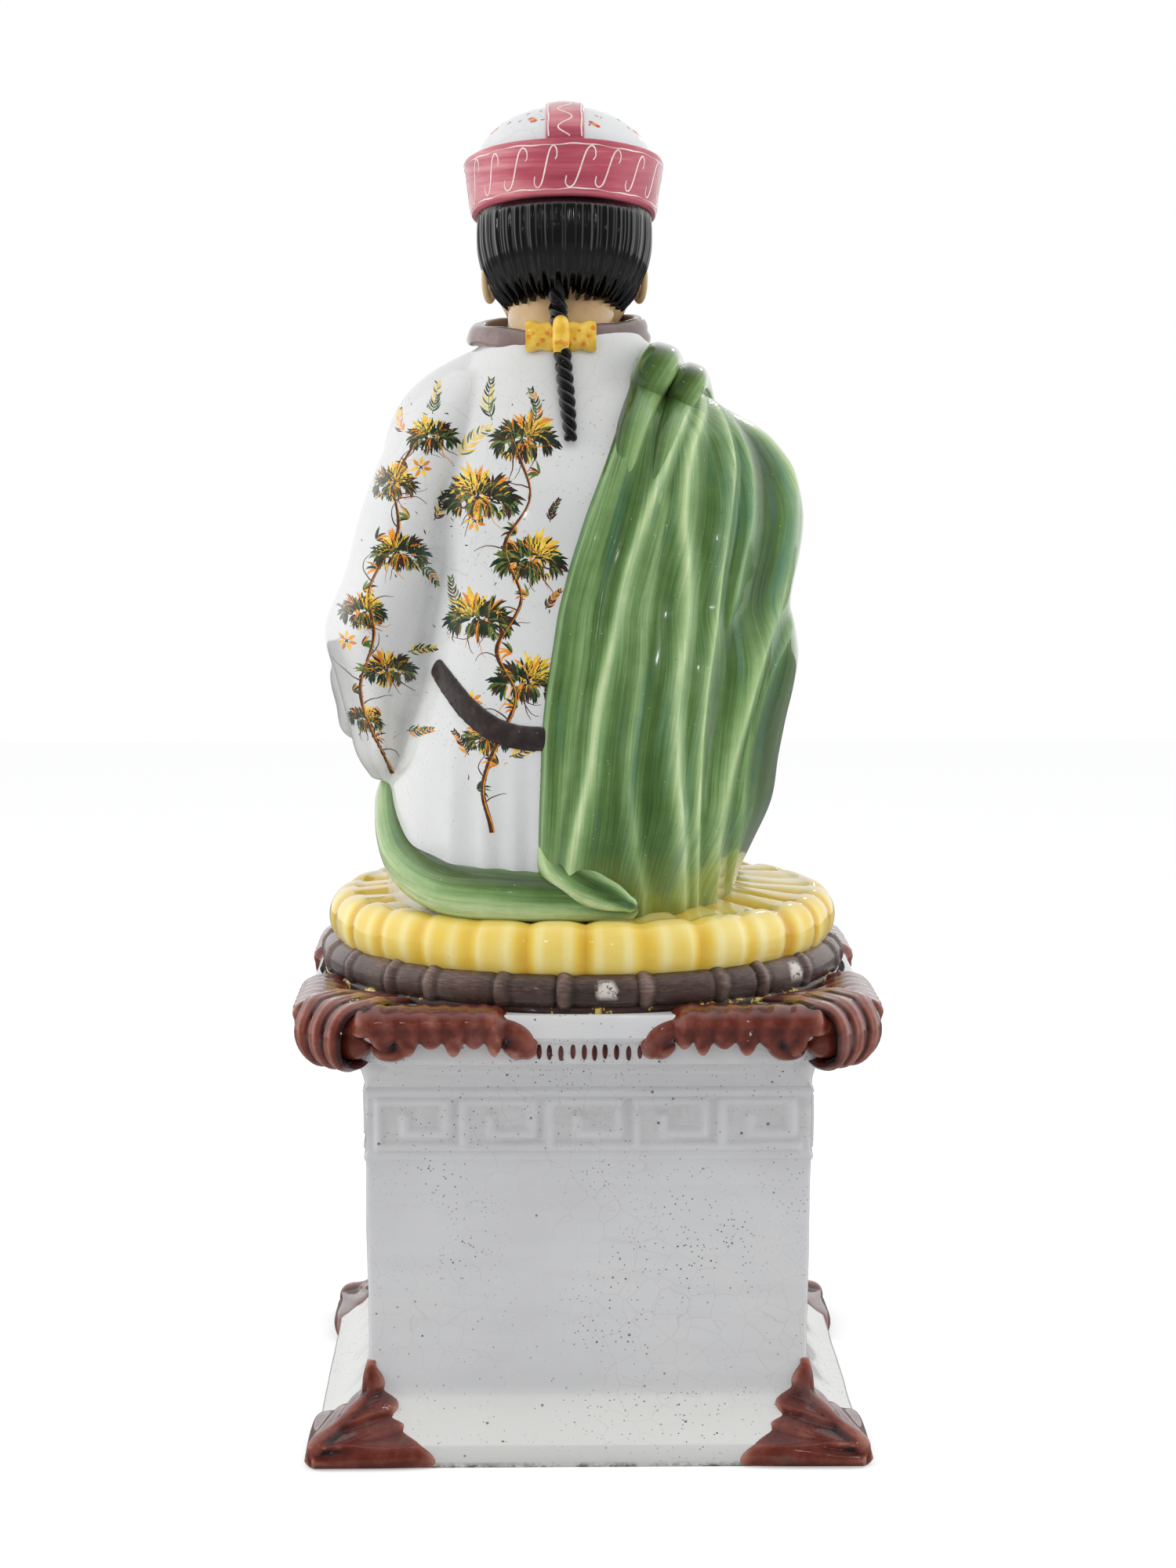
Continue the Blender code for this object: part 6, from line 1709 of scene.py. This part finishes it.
def spray(brush, rnd, x, z, size, lean, bloom):
    """A leafy head on the vine: bright leaves behind, dark fans across, tendrils under it."""
    for _ in range(6):
        a = -math.pi / 2 - 0.5 * lean + rnd.uniform(-0.9, 0.9)
        brush.stem(rnd.choice(("stem", "stem", "orange")), x + rnd.uniform(-0.45, 0.45) * size,
                   z - 0.05 * size, a, size * rnd.uniform(0.7, 1.15), rnd.uniform(0.0007, 0.0013), rnd, 2.2,
                   9)
    fan(brush, rnd, x - 0.16 * size * lean, z + 0.2 * size, 0.75 * size, math.pi / 2 + 0.5 * lean, 1.15, 12,
        ("yellow", "yellow", "orange"), 0.3)
    for at, aim, reach in ((-0.5, 2.75, 0.6), (0.5, 0.4, 0.6), (-0.22, 2.2, 0.66), (0.24, 0.95, 0.66),
                           (0.0, 1.57, 0.6)):
        fan(brush, rnd, x + at * size, z + (0.12 - 0.25 * abs(at)) * size, reach * size, aim, 1.0, 9,
            ("dark", "dark", "dark", "green", "brown"), 0.3)
    for at, aim in ((-0.55, 3.9), (0.58, -0.75), (-0.2, 4.4), (0.22, -1.3)):
        fan(brush, rnd, x + at * size, z - 0.02 * size, 0.46 * size, aim, 0.75, 7,
            ("dark", "brown", "dark", "green"), 0.26)
    fan(brush, rnd, x + 0.3 * size * lean, z + 0.3 * size, 0.5 * size, math.pi / 2 - 0.7 * lean, 0.7, 6,
        ("brown", "brown", "orange"), 0.28)
    fan(brush, rnd, x, z + 0.1 * size, 0.62 * size, -math.pi / 2, 1.1, 9,
        ("brown", "dark", "orange", "green"), 0.24)
    for _ in range(9):
        a = rnd.uniform(0, 6.28)
        fan(brush, rnd, x + 0.62 * size * math.cos(a), z + 0.38 * size * math.sin(a), 0.26 * size, a, 0.8, 4,
            ("dark", "green", "brown", "yellow"), 0.28)
    for _ in range(22):
        brush.comma(rnd.choice(("dark", "dark", "green", "brown", "orange")), x + rnd.uniform(-0.55, 0.55)
                    * size, z + rnd.uniform(-0.06, 0.16) * size, rnd.uniform(0, 6.2), 0.24 * size,
                    0.075 * size, rnd.uniform(-0.8, 0.8), 3)
    if bloom:
        flower(brush, rnd, x - 0.1 * size * lean, z + 0.1 * size, 0.42 * size, ("yellow", "orange"))


def vine(brush, stops, width):
    """The main stem: a wavering double line from foot to tip."""
    path = track([(i / (len(stops) - 1), *q) for i, q in enumerate(stops)], np.linspace(0, 1, 70))
    for colour, share, shift in (("stem", 1.0, 0.0), ("orange", 0.35, 0.5), ("brown", 0.45, -0.45)):
        line = [(x + shift * width * 0.5 + 0.0008 * math.sin(26 * i / 70 + shift), z)
                for i, (x, z) in enumerate(path)]
        brush.stroke(colour, line, [width * share * (1.05 - 0.65 * i / 69) for i in range(70)],
                     0.00016 + 0.00006 * (colour != "stem"))
    return path


def paint_robe():
    """Flowering vines: on the back and the sleeve, and three on the front."""
    brush = Brush(["robe"])
    rnd = random.Random(41)
    back = vine(brush, [(-0.061, 0.404), (-0.067, 0.43), (-0.057, 0.462), (-0.046, 0.492), (-0.058, 0.52),
                             (-0.042, 0.552), (-0.053, 0.585), (-0.036, 0.618), (-0.05, 0.655)], 0.0032)
    arm = vine(brush, [(-0.128, 0.432), (-0.139, 0.46), (-0.148, 0.492), (-0.137, 0.525), (-0.141, 0.556),
                            (-0.122, 0.59), (-0.124, 0.622), (-0.108, 0.655)], 0.0026)
    for path, side in ((back, 1), (arm, 1)):
        for k in range(6, 64, 5):
            x, z = path[k]
            side = -side
            brush.stem("stem", x, z, math.pi / 2 + side * rnd.uniform(0.5, 1.1), rnd.uniform(0.014, 0.026),
                       0.001, rnd, 2.4, 12)
            fan(brush, rnd, x + side * rnd.uniform(0.004, 0.009), z + rnd.uniform(0.004, 0.01), 0.0095,
                math.pi / 2 + side * 0.9, 0.8, 5, ("dark", "green", "orange", "brown"), 0.26)
    for x, z, size, lean, bloom in ((-0.064, 0.462, 0.015, 1, False), (-0.04, 0.497, 0.0215, -1, True),
                                    (-0.069, 0.536, 0.022, 1, False), (-0.037, 0.574, 0.0225, -1, False),
                                    (-0.068, 0.613, 0.024, 1, True), (-0.041, 0.65, 0.0215, -1, False),
                                    (-0.146, 0.468, 0.013, -1, False), (-0.128, 0.502, 0.0165, 1, True),
                                    (-0.146, 0.54, 0.0165, -1, False), (-0.12, 0.578, 0.018, 1, False),
                                    (-0.126, 0.622, 0.016, -1, True), (-0.1, 0.652, 0.0165, 1, False)):
        spray(brush, rnd, x, z, size, lean, bloom)
    for x, z, a, size, colours in ((-0.05, 0.452, 0.5, 0.019, ("stem", "green", "yellow")),
                                   (-0.076, 0.452, 2.2, 0.017, ("stem", "dark", "orange")),
                                   (-0.08, 0.54, 2.0, 0.024, ("stem", "dark", "green")),
                                   (-0.061, 0.664, 1.9, 0.026, ("green", "dark", "yellow")),
                                   (-0.034, 0.662, 1.2, 0.022, ("dark", "green", "orange")),
                                   (-0.083, 0.64, 1.2, 0.028, ("yellow", "yellow", "green")),
                                   (-0.1, 0.668, 1.3, 0.02, ("green", "dark", "yellow")),
                                   (-0.12, 0.655, 1.9, 0.016, ("orange", "yellow", "stem")),
                                   (-0.112, 0.575, -0.4, 0.022, ("dark", "orange", "green")),
                                   (-0.116, 0.515, 0.3, 0.018, ("dark", "yellow", "green")),
                                   (-0.118, 0.462, 0.1, 0.018, ("dark", "orange", "green")),
                                   (-0.099, 0.6, 0.7, 0.018, ("stem", "dark", "yellow")),
                                   (-0.027, 0.545, 1.0, 0.015, ("stem", "orange", "green")),
                                   (-0.024, 0.6, 1.4, 0.015, ("stem", "dark", "green"))):
        fern(brush, rnd, x, z, a, size, colours)
    for x, z in ((-0.072, 0.6), (-0.03, 0.578), (-0.074, 0.486), (-0.107, 0.634), (-0.156, 0.522)):
        flower(brush, rnd, x, z, 0.0085, ("orange", "yellow"))
    for _ in range(60):
        x, z = rnd.uniform(-0.15, -0.02), rnd.uniform(0.43, 0.69)
        brush.comma(rnd.choice(("stem", "dark", "dark", "orange")), x, z, rnd.uniform(0, 6.2),
                    rnd.uniform(0.0012, 0.004), rnd.uniform(0.0005, 0.0011), rnd.uniform(-1, 1), 4)
    brush.finish("robe_paint")
    # the front carries the same kind of planting
    brush = Brush(["robe"], -1)
    rnd = random.Random(77)
    vine(brush, [(-0.034, 0.452), (-0.05, 0.482), (-0.036, 0.512), (-0.052, 0.545), (-0.034, 0.578),
                      (-0.05, 0.612), (-0.038, 0.652)], 0.003)
    vine(brush, [(0.012, 0.452), (0.026, 0.485), (0.014, 0.52), (0.03, 0.555), (0.02, 0.59)], 0.0024)
    vine(brush, [(-0.112, 0.47), (-0.124, 0.5), (-0.116, 0.535), (-0.128, 0.565), (-0.112, 0.6)], 0.0024)
    for x, z, size, lean, bloom in ((-0.055, 0.492, 0.02, 1, True), (-0.03, 0.528, 0.02, -1, False),
                                    (-0.056, 0.566, 0.0215, 1, False), (-0.028, 0.602, 0.021, -1, True),
                                    (-0.046, 0.648, 0.02, 1, False), (0.028, 0.492, 0.0165, -1, False),
                                    (0.012, 0.534, 0.0165, 1, True), (0.024, 0.586, 0.0175, -1, False),
                                    (-0.122, 0.5, 0.015, 1, False), (-0.114, 0.548, 0.016, -1, True),
                                    (-0.108, 0.602, 0.016, 1, False)):
        spray(brush, rnd, x, z, size, lean, bloom)
    for _ in range(22):
        fern(brush, rnd, rnd.uniform(-0.13, 0.045), rnd.uniform(0.44, 0.68), rnd.uniform(0.3, 2.8),
             rnd.uniform(0.014, 0.022), (rnd.choice(("stem", "green", "dark")), "dark",
                                         rnd.choice(("yellow", "orange"))))
    brush.finish("robe_front_paint")


def paint_hat():
    """White line scrolls on the band, small sprigs on the dome, a wavy line on the strap."""
    forms = {"white": [], "red": [], "orange": []}
    sizes = np.array([DOME_X, DOME_Y, HAT_RISE])
    centre = in_head(0, 0, DOME_Z) + BASE

    def ribbon(colour, spots, widths):
        places, normals = [s[0] for s in spots], [s[1] for s in spots]
        n = len(spots)
        rings = []
        for i in range(n):
            d = places[min(i + 1, n - 1)] - places[max(i - 1, 0)]
            side = np.cross(d / (np.linalg.norm(d) + 1e-9), normals[i])
            side = side / (np.linalg.norm(side) + 1e-9) * widths[i] / 2
            rings.append([places[i] + side, places[i] + normals[i] * 0.00022, places[i] - side,
                          places[i] - normals[i] * 0.0006])
        forms[colour].append(loft(np.array(rings)))

    def on_band(angle, v):
        r = (HAT_LOW + (HAT_TOP - HAT_LOW) * v + 0.0001
             + 0.0004 * math.sin(3 * angle + 1) + 0.0003 * math.sin(7 * angle))
        p = in_head(r * math.sin(angle), -HAT_OVAL * r * math.cos(angle), BAND_LOW + HAT_BAND * v) + BASE
        n = p - (in_head(0, 0, BAND_LOW + HAT_BAND * v) + BASE)
        return p, n / np.linalg.norm(n)

    def on_dome(angle, rise):
        n = np.array([math.cos(rise) * math.sin(angle), -math.cos(rise) * math.cos(angle), math.sin(rise)])
        local = n * sizes
        outward = n / sizes
        outward = outward / np.linalg.norm(outward)
        p = in_head(local[0], local[1], DOME_Z + local[2]) + BASE
        far = in_head(*(local[:2] + outward[:2]), DOME_Z + local[2] + outward[2]) + BASE
        return p, (far - p) / np.linalg.norm(far - p)

    turns = np.linspace(0, 2 * math.pi, 181)
    for v in (0.115, 0.885):
        ribbon("white", [on_band(a, v + 0.01 * math.sin(9 * a) + 0.006 * math.sin(23 * a)) for a in turns],
               [0.0007 + 0.0003 * math.sin(11 * a) for a in turns])
    # one scroll: a hook at its foot, a long rise to the right and a hook at its head
    shape = [(-0.44, 0.34), (-0.47, 0.22), (-0.36, 0.15), (-0.2, 0.2), (-0.06, 0.38), (0.06, 0.6),
             (0.18, 0.78), (0.32, 0.86), (0.44, 0.8), (0.45, 0.68), (0.38, 0.62)]
    curve = track([(i / 10, *q) for i, q in enumerate(shape)], np.linspace(0, 1, 34))
    rnd = random.Random(23)
    for k in range(SCROLLS):
        a0 = 2 * math.pi * (k + 0.42) / SCROLLS + rnd.uniform(-0.02, 0.02)
        wide, tall = 0.3 * rnd.uniform(0.85, 1.1), rnd.uniform(0.92, 1.04)
        ribbon("white", [on_band(a0 + wide * x, 0.5 + tall * (v - 0.5)) for x, v in curve],
               [0.00105 * (0.65 + 0.35 * math.sin(math.pi * q)) for q in np.linspace(0, 1, 34)])
    rnd = random.Random(7)
    for k in range(8):
        angle = 2 * math.pi * (k + 0.5) / 8 + rnd.uniform(-0.06, 0.06)
        rise = rnd.uniform(0.42, 0.62)
        lean = rnd.choice((0.9, 2.2)) + rnd.uniform(-0.2, 0.2)
        for j in range(7):
            off = (j - 3) * 0.02
            long = 0.085 * (1 - 0.12 * abs(j - 3)) * rnd.uniform(0.85, 1.1)
            line = [(angle + (off * math.sin(lean) + q * long * math.cos(lean)) / math.cos(rise),
                     rise - off * math.cos(lean) + q * long * math.sin(lean))
                    for q in np.linspace(-0.5, 0.5, 7)]
            colour = "orange" if j in (2, 3, 4) and rnd.random() < 0.8 else "red"
            ribbon(colour, [on_dome(a, r) for a, r in line],
                   [0.0021 * math.sin(math.pi * min(1, q + 0.05)) + 0.0002
                    for q in np.linspace(0.05, 0.95, 7)])
        for j in range(5):
            turn, far = rnd.uniform(0, 6.28), rnd.uniform(0.15, 0.27)
            px, pr = angle + far * math.cos(turn) / math.cos(rise), rise + 0.6 * far * math.sin(turn) + 0.1
            bend = rnd.uniform(-1.5, 1.5)
            line = [(px + 0.055 * q * math.cos(turn + bend * q), pr + 0.055 * q * math.sin(turn + bend * q))
                    for q in np.linspace(0, 1, 7)]
            ribbon("red", [on_dome(a, r) for a, r in line],
                   [rnd.choice((0.0008, 0.0014)) * math.sin(math.pi * min(1, q + 0.08)) + 0.0002
                    for q in np.linspace(0.05, 0.95, 7)])

    def on_strap(side, b):
        p = on_crown(side, 0.0031 - 0.0002 * abs(side) / (STRAP / 2), b) + BASE
        n = p - centre
        return p, n / np.linalg.norm(n)

    arc = np.linspace(0.05, 0.95, 120) * math.pi
    for side, sway in ((0.0, 0.0046), (-0.0108, 0.0002), (0.0108, 0.0002)):
        ribbon("white", [on_strap(side + sway * math.sin(b * 15), b) for b in arc], [0.001] * len(arc))
    for colour, group in forms.items():
        points, faces = merge(group)
        add_mesh("hat_paint_" + colour, points, faces, PAINT[colour], 60)


make_pedestal()
make_leaves()
make_cushion()
make_bamboo()
make_foot()
make_robe()
make_mantle()
make_green_bunches()
make_head()
make_hair()
make_braid()
make_hat()
make_hands()
make_collar()
make_girdle()
paint_robe()
paint_hat()
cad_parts["levelling_pad"].data.materials.clear()
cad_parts["levelling_pad"].data.materials.append(CLAY)


# Stage, light and camera

MIRRORED_FLOOR = 0.22


def bright_for_camera(name, shade, shine):
    """Pale floor: near white to the camera with the shadow on it, matt to light, dim to mirrored rays."""
    mat = bpy.data.materials.new(name)
    mat.use_nodes = True
    nodes, links = mat.node_tree.nodes, mat.node_tree.links
    shader = nodes["Principled BSDF"]
    shader.inputs["Base Color"].default_value = (shade, shade, shade, 1.0)
    shader.inputs["Roughness"].default_value = 0.7
    shader.inputs["Specular IOR Level"].default_value = 0.0
    glow = nodes.new("ShaderNodeEmission")
    seen = nodes.new("ShaderNodeLightPath")
    either = nodes.new("ShaderNodeMath")
    either.operation = "MAXIMUM"
    power = nodes.new("ShaderNodeMath")
    power.operation = "MULTIPLY"
    power.inputs[1].default_value = shine
    links.new(seen.outputs["Is Camera Ray"], either.inputs[0])
    links.new(seen.outputs["Is Transmission Ray"], either.inputs[1])
    links.new(either.outputs[0], power.inputs[0])
    links.new(power.outputs[0], glow.inputs["Strength"])
    both = nodes.new("ShaderNodeAddShader")
    links.new(shader.outputs[0], both.inputs[0])
    links.new(glow.outputs[0], both.inputs[1])
    quiet = nodes.new("ShaderNodeBsdfDiffuse")
    quiet.inputs["Color"].default_value = (MIRRORED_FLOOR, MIRRORED_FLOOR, MIRRORED_FLOOR, 1.0)
    pick = nodes.new("ShaderNodeMixShader")
    links.new(seen.outputs["Is Glossy Ray"], pick.inputs["Fac"])
    links.new(both.outputs[0], pick.inputs[1])
    links.new(quiet.outputs[0], pick.inputs[2])
    links.new(pick.outputs[0], nodes["Material Output"].inputs["Surface"])
    return mat


bpy.ops.mesh.primitive_plane_add(size=8, location=(0, 0, 0))
floor = bpy.context.object
floor.name = "floor"
floor.data.materials.append(bright_for_camera("floor_white", 0.72, 0.4))

world = bpy.data.worlds.new("studio")
bpy.context.scene.world = world
world.use_nodes = True
tree = world.node_tree
plain = tree.nodes["Background"]
plain.inputs["Color"].default_value = (0.985, 0.99, 1.0, 1.0)
plain.inputs["Strength"].default_value = 0.8
# rays mirrored by a glaze meet a bright room behind the object and a dim one on the camera's side
dim = tree.nodes.new("ShaderNodeBackground")
dim.inputs["Color"].default_value = (1.0, 1.0, 1.0, 1.0)
way = tree.nodes.new("ShaderNodeTexCoord")
parts = tree.nodes.new("ShaderNodeSeparateXYZ")
turn = tree.nodes.new("ShaderNodeMapRange")
turn.interpolation_type = "SMOOTHSTEP"
for key, value in (("From Min", -0.75), ("From Max", 0.3), ("To Min", 0.1), ("To Max", 0.95)):
    turn.inputs[key].default_value = value
tree.links.new(way.outputs["Generated"], parts.inputs[0])
tree.links.new(parts.outputs["Y"], turn.inputs["Value"])
tree.links.new(turn.outputs["Result"], dim.inputs["Strength"])
seen = tree.nodes.new("ShaderNodeBackground")
seen.inputs["Color"].default_value = (1.0, 1.0, 1.0, 1.0)
seen.inputs["Strength"].default_value = 1.0
path = tree.nodes.new("ShaderNodeLightPath")
either = tree.nodes.new("ShaderNodeMath")
either.operation = "MAXIMUM"
mirrored = tree.nodes.new("ShaderNodeMixShader")
blend = tree.nodes.new("ShaderNodeMixShader")
tree.links.new(path.outputs["Is Camera Ray"], either.inputs[0])
tree.links.new(path.outputs["Is Transmission Ray"], either.inputs[1])
tree.links.new(path.outputs["Is Glossy Ray"], mirrored.inputs["Fac"])
tree.links.new(plain.outputs[0], mirrored.inputs[1])
tree.links.new(dim.outputs[0], mirrored.inputs[2])
tree.links.new(either.outputs[0], blend.inputs["Fac"])
tree.links.new(mirrored.outputs[0], blend.inputs[1])
tree.links.new(seen.outputs[0], blend.inputs[2])
tree.links.new(blend.outputs[0], tree.nodes["World Output"].inputs["Surface"])


def lamp(name, place, aim, size, power, mirrored=False):
    """Area lamp; only a mirrored one shows as a highlight on the glaze."""
    light = bpy.data.lights.new(name, "AREA")
    light.shape = "RECTANGLE"
    light.size, light.size_y = size
    light.energy = power
    obj = bpy.data.objects.new(name, light)
    bpy.context.scene.collection.objects.link(obj)
    turn = (Vector(aim) - Vector(place)).to_track_quat("-Z", "Y")
    obj.matrix_world = Matrix.Translation(place) @ turn.to_matrix().to_4x4()
    obj.visible_glossy = mirrored


lamp("box_left", (-1.7, -0.35, 0.9), (0, 0, 0.5), (0.8, 1.6), 15)
lamp("box_right", (1.7, -0.35, 0.9), (0, 0, 0.5), (0.8, 1.6), 13)
lamp("box_top", (0.0, -0.9, 2.0), (0, 0, 0.4), (1.4, 0.6), 4)
lamp("spark_left", (-0.75, -1.9, 1.55), (0, 0, 0.5), (0.07, 0.07), 0.5, True)
lamp("spark_right", (0.45, -2.1, 1.35), (0, 0, 0.5), (0.05, 0.05), 0.3, True)
lamp("spark_face", (0.6, 1.9, 1.4), (0, 0, 0.5), (0.07, 0.07), 0.5, True)

PHOTO_HIGH, FOCAL = 2000, 4065      # the photo's height and the lens' focal length, in its pixels
AWAY, EYE = 2.143, 0.6872           # the camera's distance from the axis and its height
YAW, PITCH = math.radians(0.9), math.radians(7.15)
camera = bpy.data.cameras.new("view")
camera.sensor_width = 36.0
camera.lens = camera.sensor_width * FOCAL / PHOTO_HIGH
view = bpy.data.objects.new("view", camera)
bpy.context.scene.collection.objects.link(view)
spot = (0.002 - AWAY * math.sin(YAW), -AWAY * math.cos(YAW), EYE)
view.matrix_world = (Matrix.Translation(spot) @ Matrix.Rotation(-YAW, 4, "Z")
                     @ Matrix.Rotation(math.pi / 2 - PITCH, 4, "X"))
bpy.context.scene.camera = view
bpy.context.scene.view_settings.view_transform = "Standard"
